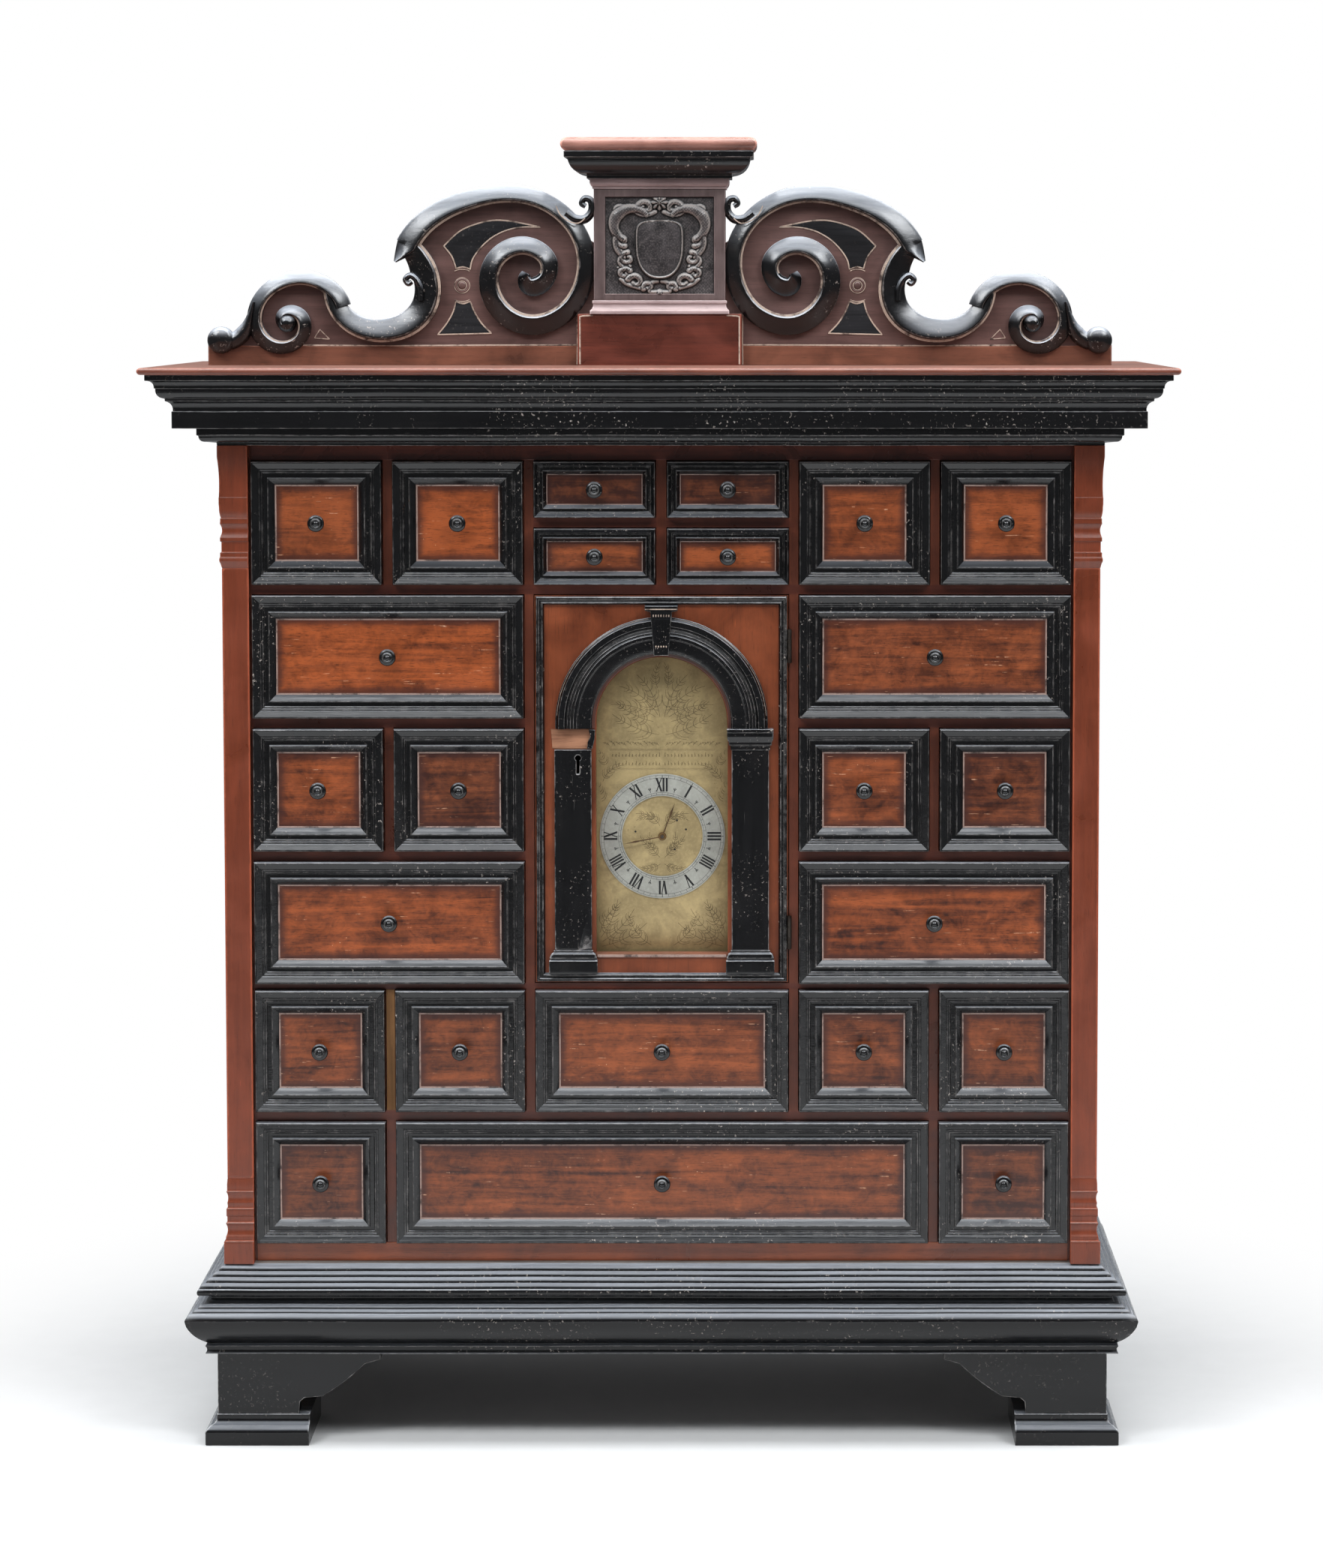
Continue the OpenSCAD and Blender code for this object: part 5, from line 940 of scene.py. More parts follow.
class CABINET_OT_base(bpy.types.Operator):
    """Torus and reeded mouldings round the base"""

    bl_idname = "cabinet.base"
    bl_label = "Base mouldings"

    def execute(self, context):
        t, h = 34.5, 45.0
        torus = moulding(
            (-t, 0), (-16, 0), (-16, 7, 1.6, 6), (-20, 8.5), *bow((-20, 8.5), (0, h - 13), -3, 8),
            *bow((0, h - 13), (-5, h - 6), -1.1, 7), (-5, h - 6), (-6.4, h - 6.2), (-10.6, h - 3.4, -1, 6),
            *bow((-10.6, h - 3.4), (-14.8, h - 0.4), -1, 6), (-14.8, h - 0.4), (-15.2, h), (-t, h),
            out=t, up=BASE_Z,
        )
        r, h = 24.5, 31.95
        low, high = np.array([r - 2.0, 14.2]), np.array([2.5, h - 1.5])
        reeds = [(*(low + (high - low) * i / 4), -1.25, 6) for i in (1, 2, 3, 4)]
        reeded = moulding(
            (0, 0), (r - 9, 0), (r - 9, 8.5, 2.4, 6), (r - 1, 8.5), (r - 1, 14, -1, 6), low, *reeds, (0, h),
            up=REEDED_Z + GAP,
        )
        surface = Surface()
        round_case(surface, torus, 0.4)
        round_case(surface, reeded, 2.2)
        surface.build("base_mouldings_run", "ebonised_base", "case", "ebonised_wood", "base_mouldings")
        return {"FINISHED"}


class CABINET_OT_case(bpy.types.Operator):
    """Case boards, shelves, partitions and back, with their front edges"""

    bl_idname = "cabinet.case"
    bl_label = "Case"

    def execute(self, context):
        dress("case_veneer_upright", "case_boards")
        dress("dark_red_polish", "shelves")
        dress("rail_polish_upright", "partitions")
        dress("bare_wood_upright", "back_boards")
        dress("grey_old_wood", "base_frame")
        rails, x, y = Surface(), FIELD_HALF - 0.4, FRONT - 0.02
        for z0, z1, slot in ((CASE_Z + 0.3, FIELD_Z - 0.25, 0), (FIELD_TOP + 0.3, CASE_TOP - 0.1, 1)):
            block(rails, (-x, FRONT - 0.7, z0), (x, y, z1), 0.25, 2.4, slot)
        # the strip beside the lower left drawers that has lost its polish
        block(rails, (-245.3, FRONT - 0.35, 296.2), (-237.8, y, 404.6), 0.15, 1.2, slot=2)
        rails.build("rail_facings", "rail_polish_along block_polish bare_wood_upright", "case", "walnut")
        return {"FINISHED"}


class CABINET_OT_pilasters(bpy.types.Operator):
    """Corner pilasters with moulded capitals and bases"""

    bl_idname = "cabinet.pilasters"
    bl_label = "Pilasters"

    def execute(self, context):
        capital_h, foot_h, width = 108, 76, 23.5
        top, low = CASE_TOP - capital_h, CASE_Z + foot_h
        capital = moulding(
            (0, 0), (1, 4), (1.2, 10, -0.8, 5), (1.2, 13.5), (0.2, 14), (0.2, 23), (1.2, 23.5), (1.2, 26.5),
            *bow((1.2, 27), (1.2, 39), 1.6, 7), (1.2, 39), (1, 41), (1, 43.5), (0.4, 44),
            *bow((0.4, 44), (1.6, 56), -0.6, 5), (2, 56.5), (2, 62), (1.8, 62.5), (3, 98, 0.8, 7),
            (3, capital_h - 0.1), up=top,
        )
        foot = moulding(
            (3, 0.1), (3, 20), (1.5, 20.5), (1.5, 24), (1.5, 36, 1.4, 7), (0.4, 37), (0.4, 42), (1, 42.5),
            (1, 49), (0, 49.5), (0, 52), *bow((1, 52.5), (1, 64.5), 1.4, 7), (1, 64.5), (0.4, 65), (0.4, 71),
            (0, foot_h), up=CASE_Z,
        )
        surface = Surface()
        for s in (-1, 1):
            x0, x1 = sorted((s * (HALF - width), s * HALF))
            for profile in (foot, capital):
                stack(surface, profile, boxed(x0, x1, DATUM, FRONT, (s < 0, s > 0, 1.35, 0)), soft=0.35)
            block(surface, (x0, DATUM, low + GAP), (x1, FRONT, top - GAP), 0.7, 2.5)
        surface.build("pilasters_moulded", "pilaster_polish", "case", "red_brown_wood", "pilasters")
        return {"FINISHED"}


# Cornice, pediment and pedestal


class CABINET_OT_cornice(bpy.types.Operator):
    """Cornice frame, nosed top board, and bed, fascia and crown mouldings"""

    bl_idname = "cabinet.cornice"
    bl_label = "Cornice"

    def execute(self, context):
        c, t, bed_h, fascia_h, z1 = 63.0, 24.0, 16.0, 15.0, CORNICE_Z - GAP
        bed = moulding(
            (0, 0), (3, 0), (3, 2.5), (11, 3.5), (17, bed_h - 7, -2, 6), (18.5, bed_h - 6.5), (18.5, bed_h),
            (0, bed_h), up=CASE_TOP,
        )
        fascia = moulding((0, GAP), (37, GAP), (37, fascia_h), (0, fascia_h), up=CASE_TOP + bed_h)
        low = CASE_TOP + bed_h + fascia_h + GAP
        h = z1 - low
        crown = moulding(
            (-c, 0), (-27, 0), (-21, 9, 2.2, 6), (-21, 11), *bow((-20, 11), (-14, 20), -2.2, 6), (-14, 20),
            (-13, 20), *bow((-13, 20), (-7, h - 5), 2.2, 6), (-6, h - 5), (-6, h), (-c, h), out=c, up=low,
        )
        mouldings, boards = Surface(), Surface()
        for profile, seed in ((bed, 1.1), (fascia, 3.1), (crown, 4.4)):
            round_case(mouldings, profile, seed)
        mouldings.build("cornice_mouldings_run", "ebonised_along", "case", "ebonised_wood",
                        "cornice_mouldings")
        for x0, x1, y0, y1 in (
            (-HALF, HALF, DATUM, DATUM + t), (-HALF, HALF, BACK - t, BACK),
            (-HALF, t - HALF, DATUM + t + GAP, BACK - t - GAP),
            (HALF - t, HALF, DATUM + t + GAP, BACK - t - GAP),
        ):
            block(boards, (x0, y0, CASE_TOP), (x1, y1, z1), slot=1)
        nosed(boards, boxed(-HALF - c, HALF + c, DATUM - c, BACK), CORNICE_Z, 6.0)
        boards.build("cornice_boards_nosed", "cornice_board_polish bare_wood_along", "case", "walnut",
                     "cornice_boards")
        return {"FINISHED"}


# Scrolls: the eye, the angle at the start, the turn from value to value, and
# the radii and widths there
BIG = (
    (-115.0, 82.0), 171.0, -45.0,
    [116, 84, 66, 54.5, 47.2, 45.7, 45.6, 41.8, 36.8, 29.4, 22.8, 18.6, 14.4, 12.3, 11.2, 7.6, 5.0],
    [22, 17.5, 15.6, 15.6, 16.4, 17.8, 18.8, 18.4, 17.4, 16.8, 16.2, 15.8, 15.5, 17, 17, 13, 8],
)
SMALL = (-335.0, 37.7), 22.0, 90.0, [52.4, 35.3, 27.4, 19.6, 14.6, 10.4, 6.0], [14, 13.2, 13.5, 11, 11, 8, 6]
HOLLOW = (-251.0, 70.4), 40.0, -64.0, [41, 43, 39.2, 42.8], [24, 23.5, 21.3, 17]

# Section of a carved scroll: free edge at -1 or 1, ridge near the other edge,
# then a step down to a pale fillet: (across, height, mark)
SECTION = [
    (-1.0, 0.0, 0.0), (-1.0, 0.30, 0.5), (-0.98, 0.36, 0.9), (-0.93, 0.40, 0.35), (-0.75, 0.49, 0.0),
    (-0.45, 0.63, 0.0), (-0.1, 0.78, 0.0), (0.25, 0.91, 0.0), (0.52, 0.985, 0.2), (0.64, 1.0, 0.8),
    (0.70, 0.97, 0.9), (0.73, 0.86, 0.0), (0.75, 0.72, -0.9), (0.80, 0.68, -0.4), (0.84, 0.68, 0.2),
    (0.98, 0.68, 0.4), (1.0, 0.62, 0.6), (1.0, 0.0, -0.6),
]
FILLET = slice(13, 16)
ROUND = [
    (-1, 0, 0), (-1, 0.35, 0), (-0.8, 0.7, 0.2), (-0.4, 0.95, 0.4), (0, 1, 0.5), (0.4, 0.95, 0.4),
    (0.8, 0.7, 0.2), (1, 0.35, 0), (1, 0, 0),
]

# Black inlays of the left half, as curves that meet in corners: the upper one
# has an arc over and an arc under its tip and a waist, and the lower one has
# two hollow sides over a straight foot
WING = [
    [(-107.5, 123.7), (-122, 126.9), (-138, 129.6), (-152, 129.6), (-168, 125.6), (-181, 119.3),
     (-194.2, 106.9)],
    [(-194.2, 106.9), (-187.6, 98.6), (-184.6, 91.5), (-183.3, 86.8)],
    [(-183.3, 86.8), (-177.0, 88.2), (-170.6, 86.2)],
    [(-170.6, 86.2), (-168.4, 95.0), (-161.6, 104.9), (-151.4, 114.2), (-138.2, 120.9), (-122.8, 123.9),
     (-107.5, 123.7)],
]
SKIRT = [
    [(-183.5, 57.2), (-186.4, 47.2), (-192.2, 37.0), (-200.1, 27.4)],
    [(-200.1, 27.4), (-176.0, 28.0), (-151.8, 28.6)],
    [(-151.8, 28.6), (-159.9, 36.8), (-166.4, 46.7), (-170.7, 57.2)],
    [(-170.7, 57.2), (-177.1, 55.2), (-183.5, 57.2)],
]
ROSETTE = (-177.9, 71.6)

# Carved ends of the scrolls: points, how many to make of them, widths and
# heights, and where the heights stand along the line
LEAF = [
    (-84, 136), (-76, 131), (-67, 131), (-61, 138), (-61.5, 147), (-67, 149.5), (-70, 145), (-66.5, 142.5),
]
CURL = [(-214, 58), (-214.5, 68), (-218, 76), (-224, 80.5), (-228.5, 77), (-226, 73), (-223, 75)]
TAIL = [(-364.5, 57), (-367.5, 45), (-371.5, 34), (-378.5, 25), (-388, 21), (-396, 23)]
ENDS = [
    (LEAF, 60, (9, 4.5), (11, 9), (0, 1)), (CURL, 50, (7, 4.2), (11, 9.5), (0, 1)),
    (TAIL, 60, (3, 8, 14, 15, 12), (10.5, 9.5, 8), (0, 0.6, 1)),
]
LAPPET = [(-92.5, 142.5), (-88.5, 134.5), (-80.5, 128.6), (-72.5, 127.2), (-66.5, 131.5)]


def wound(scroll, t, r=None):
    """Line of a scroll: round its eye, at a radius taken from its radii at t
    and an angle that grows by its step for each whole t."""
    (x, z), start, step, radii, _ = scroll
    a = np.radians(start + step * t)
    r = cubic(radii, np.clip(t, 0, len(radii) - 1)) if r is None else r
    return np.stack([x + r * np.cos(a), z + r * np.sin(a)], 1)


def big_band():
    """Places, line and widths of the large scroll, with a slanted tip: before
    the cut, the inner edge draws back to the outer one."""
    cut, tip, end = 0.08, -0.087, 16.0
    t = np.concatenate([np.linspace(tip, cut, 14)[:-1], np.linspace(cut, end, 330)])
    r, w = (cubic(values, np.clip(t, 0, end)) for values in BIG[3:])
    outer, inner = r + w / 2, r - w / 2
    before = t < cut
    for edge, tip_r in ((outer, 124.5), (inner, 122.0)):
        edge[before] = np.interp(t[before], [tip, cut], [tip_r, np.interp(cut, t, edge)])
    return t, wound(BIG, t, (outer + inner) / 2), outer - inner


def face(turn):
    """The section with its free edge on the left (turn 1) or right (-1)."""
    return [(turn * s, h, m) for s, h, m in SECTION]


def face_slots(t, first=0, last=None):
    """Slot of each strip of the section: pale on the fillet, from the first to
    the last of the strips along the scroll."""
    slots = np.zeros((len(t) - 1, len(SECTION)), int)
    slots[first:last, FILLET] = 1
    return slots


def mirrored(side):
    """Places a drawing of the left half on the left or the right."""
    return lambda p: np.stack([PEDIMENT_MID - side * p[:, 0], p[:, 1], p[:, 2] + PEDIMENT_Z], 1)


def board_outline():
    """Edge of the pediment board: along the foot, up beside the pedestal, back
    along the middle of the large scroll, round the hollow and down the small
    scroll to the end."""
    return np.vstack([
        [[-407, 0], [-73.55, 0], [-73.55, 46.05], [-59.1, 46.05], [-59.1, 110]],
        wound(BIG, np.linspace(2.9, 0.12, 36)), [[-222, 96]], arc(*HOLLOW[0], 38, 20, -150, 24),
        wound(SMALL, np.linspace(0.06, 2, 28)), [[-366, 30], [-401, 20], [-407, 18]],
    ])


def inlaid_board(boards, line_w):
    """One pediment board with its foot strip, black inlays, rosette and pale
    lines, drawn for the left half."""
    strip_y = BOARD_Y - 1.1
    plate(boards, board_outline(), BOARD_Y + 12, BOARD_Y, 0.5)
    strip = [(-406.4, 0.4), (-73.9, 0.4), (-73.9, 17.2), (-240, 16.5), (-406.4, 17.6)]
    plate(boards, strip, BOARD_Y, strip_y, 0.3, 1.8, slot=3)
    ribbon(boards, [(-340, 17.9), (-240, 17.4), (-74, 18.2)], 1.3, BOARD_Y, 0.95, slot=1)
    ribbon(boards, [(-74.6, 0.5), (-74.3, 22), (-74.6, 45.8)], 1.0, strip_y, 0.25, slot=1)
    for curves in (WING, SKIRT):
        outline = np.vstack([smooth_line(points, 7 * len(points))[:-1] for points in curves])
        plate(boards, outline, BOARD_Y, BOARD_Y - 0.45, 0.15, 0, slot=2, rim=0.0)
        ribbon(boards, outline, line_w, BOARD_Y, 0.65, slot=1, closed=True)
    boss = [(6.4, 0), (6.4, 0.6), (5.6, 1.0), (4.4, 0.6), (3.6, 0.7), (2.4, 1.8), (0.05, 2.1)]
    lathe(boards, boss, (ROSETTE[0], BOARD_Y, ROSETTE[1]), n=32, soft=0.2)
    for r, y in ((6.9, BOARD_Y), (4.0, BOARD_Y - 0.6)):
        ribbon(boards, circle(*ROSETTE, r, 40), 0.7, y, 0.5, slot=1, closed=True)
    for start in (62, 242):
        ribbon(boards, arc(*ROSETTE, 14.5, start, start + 56, 16), 0.8, BOARD_Y, 0.5, slot=1)
    corner = resample([(-306.2, 32.0), (-311.2, 24.3), (-297.5, 23.2)], 0.8, True)
    ribbon(boards, corner, 0.9, BOARD_Y, 0.5, slot=1, closed=True)


def carved_scrolls(scrolls):
    """The large, small and hollow scrolls with their carved ends, drawn for
    the left half."""
    back, full = SCROLL_Y + 12, 12.0
    t, line, width = big_band()
    height = full * np.interp(t, [-0.1, 9.5, 12, 16], [1, 1, 1.05, 1.3])
    band(scrolls, line, width, face(-1), back, height, face_slots(t, 14, np.sum(t < 12)))
    t = np.linspace(-0.06, 6.0, 170)
    height = full * np.interp(t, [0, 4, 6], [0.95, 1, 1.1])
    band(scrolls, wound(SMALL, t), cubic(SMALL[4], t), face(1), back, height, face_slots(t))
    eye = [(8.2, 0), (8.2, 7), (7.6, 9.5), (5.6, 12.0), (2.6, 13.6), (0.05, 14.0)]
    lathe(scrolls, eye, (SMALL[0][0], back, SMALL[0][1]), n=30, soft=0.6)
    t, near = np.linspace(-0.12, 3.35, 108), [-0.12, 0.25]
    width = cubic(HOLLOW[4], np.clip(t, 0, 3)) * np.interp(t, near, [0.8, 1])
    line = wound(HOLLOW, t) + np.outer(np.interp(t, near, [2.4, 0]), [0.77, 0.64])
    band(scrolls, line, width, face(1), back, 11.0, face_slots(t))
    for points, n, widths, heights, at in ENDS:
        band(scrolls, smooth_line(points, n), ramp(widths, n), ROUND, back, ramp(heights, n, at))
    ribbon(scrolls, smooth_line(LAPPET, 40), 1.0, SCROLL_Y - 0.4, 0.9, slot=1)
    button = [(12.2, 0), (12.2, 5.5), (11.6, 8.0), (9.6, 10.4), (6.0, 12.1), (2.4, 12.9), (0.05, 13.0)]
    lathe(scrolls, button, (-394.6, back, 22.4), n=36, soft=0.8)


class CABINET_OT_pediment(bpy.types.Operator):
    """Scroll pediment: boards with black inlays, and carved scrolls"""

    bl_idname = "cabinet.pediment"
    bl_label = "Pediment"

    def execute(self, context):
        boards, scrolls = Surface(), Surface()
        for side in (-1, 1):
            boards.place = scrolls.place = mirrored(side)
            inlaid_board(boards, size("line_w"))
            carved_scrolls(scrolls)
        boards.build("pediment_boards_inlaid", "scroll_ground pale_line ebonised_inlay strip_polish", "case",
                     "walnut", "pediment_boards")
        scrolls.build("pediment_scrolls_carved", "ebonised_carved pale_line", "case", "ebonised_wood",
                      "pediment_scrolls", smooth=0.9)
        return {"FINISHED"}


# Curls of the cartouche's frame: middle, first and last radius, first and last
# angle, and thickness on the way; then its stems: points, count and thickness
CURLS = [
    (24.5, 20, 16.5, 16.5, -62, 140, (2.6, 4.9, 2.6)), (13, 37.5, 6.5, 2.2, 20, 380, (2.4, 1.5)),
    (36.5, 34.5, 5.0, 1.8, 200, -150, (2.3, 1.4)), (20, 3, 19.5, 19.5, 18, -52, (2.6, 2.0)),
    (33.5, 4.0, 5.8, 2.0, -110, 230, (2.5, 1.6)), (29, -14, 6.2, 2.2, 90, -250, (2.4, 1.5)),
    (31.5, -29, 5.2, 1.8, 150, -190, (2.5, 1.6)), (22, -37.5, 7.0, 2.4, 20, 330, (2.6, 1.6)),
    (10.5, -42.5, 4.6, 1.6, -30, 300, (2.3, 1.5)),
]
STEMS = [
    ([(4, 33), (11, 30), (18, 31), (24, 36), (30, 38)], 40, 1.8), ([(40, 26), (42.6, 16), (40, 8)], 30, 1.7),
    ([(37, -2), (34, -9), (36, -17), (33, -23)], 30, 1.8), ([(34.5, -35), (29, -40), (18, -44)], 30, 1.7),
    ([(2, -37), (7, -39), (9, -47), (3, -48)], 30, 1.7),
]


def tube_height(x, z, line, radius):
    """Height over a plane of round bars laid along a line: the root of the
    radius squared less the distance squared, at the nearest point."""
    d2 = (x[..., None] - line[:, 0]) ** 2 + (z[..., None] - line[:, 1]) ** 2
    return np.sqrt(np.maximum(np.square(radius) - d2, 0)).max(-1)


def cartouche_height(x, z):
    """A blank shield in a frame of curls, stems and leaves under a rosette,
    all of it round bars, domes and shallow hollows laid over each other."""
    ax = np.abs(x)
    bars = [(arc(cx, cz, r0, a0, a1, 40, r1), ramp(w, 40)) for cx, cz, r0, r1, a0, a1, w in CURLS]
    bars += [(smooth_line(points, n), w) for points, n, w in STEMS]
    layers = [1.15 * tube_height(ax, z, line, 1.22 * radius) for line, radius in bars]
    for a in np.radians(-70 + 32 * np.arange(5)):
        leaf = np.outer(np.linspace(0, 11, 20), [math.cos(a), 0.8 * math.sin(a)]) + [27, -22]
        layers.append(1.1 * tube_height(ax, z, leaf, np.linspace(2.0, 0.7, 20)))
    upper = (ax / 21.5) ** 2.6 + (z / 25) ** 6
    lower = (ax / 21.5) ** 2.4 + (np.abs(z) / 35) ** 2.2
    inside = np.clip(1 - np.where(z > 0, upper, lower), 0, 1)
    shield = 3.6 * np.minimum(inside / 0.10, 1) ** 0.6 + 1.6 * np.sqrt(inside)
    rim = np.exp(-((inside - 0.11) / 0.05) ** 2) * 1.3
    layers.append(np.where(inside > 0, shield + rim, 0))
    r, lobes = np.hypot(x, z - 42.4), np.cos(8 * np.arctan2(z - 42.4, x))
    petals = 4.6 * np.sqrt(np.clip(1 - (r / (7.2 + 0.9 * lobes)) ** 2, 0, 1)) * (1 + 0.20 * lobes)
    layers.append(petals + 1.6 * np.exp(-((r / 2.0) ** 2)) - 0.8 * np.exp(-(((r - 3.0) / 0.8) ** 2)))
    layers.append(3.2 * np.sqrt(np.maximum(1 - (x / 3.2) ** 2 - ((z + 49) / 4.2) ** 2, 0)))
    return np.maximum(np.max(layers, axis=0), 0)


class CABINET_OT_pedestal(bpy.types.Operator):
    """Pedestal between the scrolls, with its carved cartouche and its cap"""

    bl_idname = "cabinet.pedestal"
    bl_label = "Pedestal"

    def execute(self, context):
        m, half, front = PEDIMENT_MID, 59, -40
        z0, z1, z2, z3, cap_z, board_z = PEDIMENT_Z, 1004.0, 1016.0, 1116.0, 1125.0, 1149.0
        body = Surface()
        block(body, (m - 73.5, front - 2, z0), (m + 73.5, 14, z1), 0.7, 3.0)
        for s in (-1, 1):
            corner = [(m + s * 71.6, z0 + 1.0), (m + s * 71.6, z1 - 2.0), (m + s * 60.0, z1 - 1.4)]
            ribbon(body, resample(corner, 3.0), 1.3, front - 2, 0.3, slot=1)
        foot = moulding(
            (3.5, GAP), (3.5, 3), (2.8, 3.6), (0.8, 9, 0.8, 5), (1.4, 9.6), (1.4, z2 - z1 - GAP),
            (-2, z2 - z1 - GAP), up=z1,
        )
        collar = moulding(
            (-2, GAP), (1.2, GAP), (1.2, 1.6), (3.5, 6.6, -0.7, 5), (3.5, cap_z - z3 - GAP),
            (-2, cap_z - z3 - GAP), up=z3,
        )
        for profile in (foot, collar):
            stack(body, profile, boxed(m - half, m + half, front, 10), slot=2, soft=0.4)
        # the die goes from its back over the rim and down into the sunk field
        rim_x, rim_low, rim_up, field = 10.0, 6.0, 7.0, front + 2.5
        x0, x1, low, high = m - half + rim_x, m + half - rim_x, z2 + rim_low, z3 - rim_up
        over = [(0, 8, 0), (0, front + 0.5, 0.4), (0.15, front + 0.15, 1), (0.5, front, 0.7), (2.5, front, 0)]
        down = [(-2, front, 0), (-0.4, front, 0.7), (0, front + 0.3, 1), (0, field, -0.8), (2, field, 0)]
        outer = upright_rings(m - half, m + half, z2, z3, over, 0.5, 2.0)
        inner = upright_rings(x0, x1, low, high, down, 0.4, 2.0)
        body.loops(*(np.concatenate(both) for both in zip(outer, inner)), slot=3)
        body.build("pedestal_built", "block_polish pale_line dusty_polish dark_frame_polish", "case",
                   "walnut", "pedestal")

        relief, step = Surface(), 0.55
        x, z = np.meshgrid(np.arange(-48.4, 48.5, step), np.arange(-43.8, 42.9, step), indexing="ij")
        h = cartouche_height(x, z * 1.13 - 0.5)
        rough = 0.12 * np.sin(x * 2.3 + np.sin(z * 1.7)) * np.sin(z * 2.1 + np.sin(x * 1.3))
        h = h + np.where(h < 0.25, rough, rough * 0.6)
        across, upward = np.gradient(h, step)
        bend = np.gradient(across, step, axis=0) + np.gradient(upward, step, axis=1)
        relief.relief(x + m, z + (low + high) / 2, field - 0.25 - h, field - GAP, np.clip(-0.9 * bend, -1, 1))
        relief.build("cartouche_carved", "carved_wood", "case", "ebonised_wood", "cartouche", smooth=1.2)

        cap = Surface()
        hollow = moulding(
            (5, 0), (6, 0), (6, 3), (7, 3.4), (22.5, 18, -4, 9), (25.5, 18.4), (25.5, 23.9), (22.5, 23.9),
            up=cap_z,
        )
        stack(cap, hollow, boxed(m - half, m + half, front, 8), cut=0.5)
        nosed(cap, boxed(m - 87.5, m + 87.5, -68.5, 8), board_z, 12.0, slot=1)
        cap.build("pedestal_cap_moulded", "ebonised_along cap_board_polish", "case", "ebonised_wood",
                  "pedestal_cap")
        return {"FINISHED"}


# Drawers

# Moulding round a drawer: (share of its width in from the edge, height). A
# slope with two reeds, a sunk flat, a step up and a bevel down to a pale lip
DRAWER_EDGE = [
    (0, 0), (0, 7.1), (0.03, 8), (0.07, 8), (0.16, 6.7), (0.29, 5), (0.30, 4.5), (0.335, 4.7), (0.385, 4.1),
    (0.395, 3.6), (0.43, 3.85), (0.475, 3.3), (0.485, 2.7), (0.65, 2.7), (0.665, 6.1), (0.70, 6.2),
    (0.93, 2.08), (0.945, 1.6), (1, 1.6), (1, 0),
]
LIP_FROM = 0.938

# Turned knob: (share of its radius, height). A foot, a neck, a mushroom head
# and a ringed face
KNOB = [
    (0.66, 0), (0.66, 1.0), (0.56, 2.0), (0.46, 3.4), (0.44, 5.2), (0.60, 6.3), (0.90, 7.2), (1, 8.6),
    (0.99, 9.6), (0.90, 10.6), (0.70, 11.3), (0.62, 11.4), (0.60, 12.3), (0.50, 12.9), (0.38, 12.5),
    (0.34, 12.0), (0.24, 12.6), (0.10, 13.2), (0.004, 13.3),
]


class CABINET_OT_drawers(bpy.types.Operator):
    """Drawers with mitred mouldings, veneered panels, turned knobs and boxes"""

    bl_idname = "cabinet.drawers"
    bl_label = "Drawers"

    def execute(self, context):
        board, side, bottom, sunk = 12, 6.0, 5, FRONT - 1.5
        knob = np.array(KNOB) * [size("knob_d") / 2, 1]
        for key, (tone, warm) in DRAWERS.items():
            name = "drawer_" + key
            (x0, _, z0), (x1, end, z1) = (np.array(corner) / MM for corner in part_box(name))
            width = 12 if "_mid_" in name else 22
            piece = Surface(tone, warm)
            block(piece, (x0, FRONT, z0), (x1, FRONT + board, z1), 0.3, 1.5, slot=2)
            picture_frame(
                piece, x0, x1, z0, z1, np.array(DRAWER_EDGE) * [width, 1], width, 0.3,
                lambda p: np.where((p[:, 0] > LIP_FROM * width) & (p[:, 1] > 0.3), 6, 0),
            )
            a, b, c, d = x0 + width + GAP, x1 - width - GAP, z0 + width + GAP, z1 - width - GAP
            step = min(6.0, (d - c) / 5)
            steps = [(share * step, sunk, mark) for share, mark in ((0, -1), (0.3, -0.8), (1, -0.35), (2, 0))]
            piece.loops(*upright_rings(a, b, c, d, [(0, FACE_Y, -1), *steps], 0.3, 1.0), slot=1)
            lathe(piece, knob, ((x0 + x1) / 2, sunk - GAP, (z0 + z1) / 2), n=32, soft=0.25, slot=5)
            y, top, x2, x3 = FRONT + board + GAP, z1 - 3, x0 + side, x1 - side
            block(piece, (x0, y, z0), (x2, end, top), 0.4, 1.5, slot=3)
            block(piece, (x3, y, z0), (x1, end, top), 0.4, 1.5, slot=3)
            block(piece, (x2 + GAP, end - side, z0 + bottom + GAP), (x3 - GAP, end, top), 0.4, 1.5, slot=4)
            block(piece, (x2 + GAP, y, z0), (x3 - GAP, end, z0 + bottom), 0.3, 1.5, slot=3)
            piece.build(
                name + "_made", "ebonised_along panel_veneer case_veneer_along bare_wood_deep "
                "bare_wood_along ebonised_smooth worn_lip", name, "drawer_wood", name,
            )
        return {"FINISHED"}


# Door

KEYHOLE, KEY_LOW, KEY_HALF = (-74.0, 609.4), 11.6, 1.3


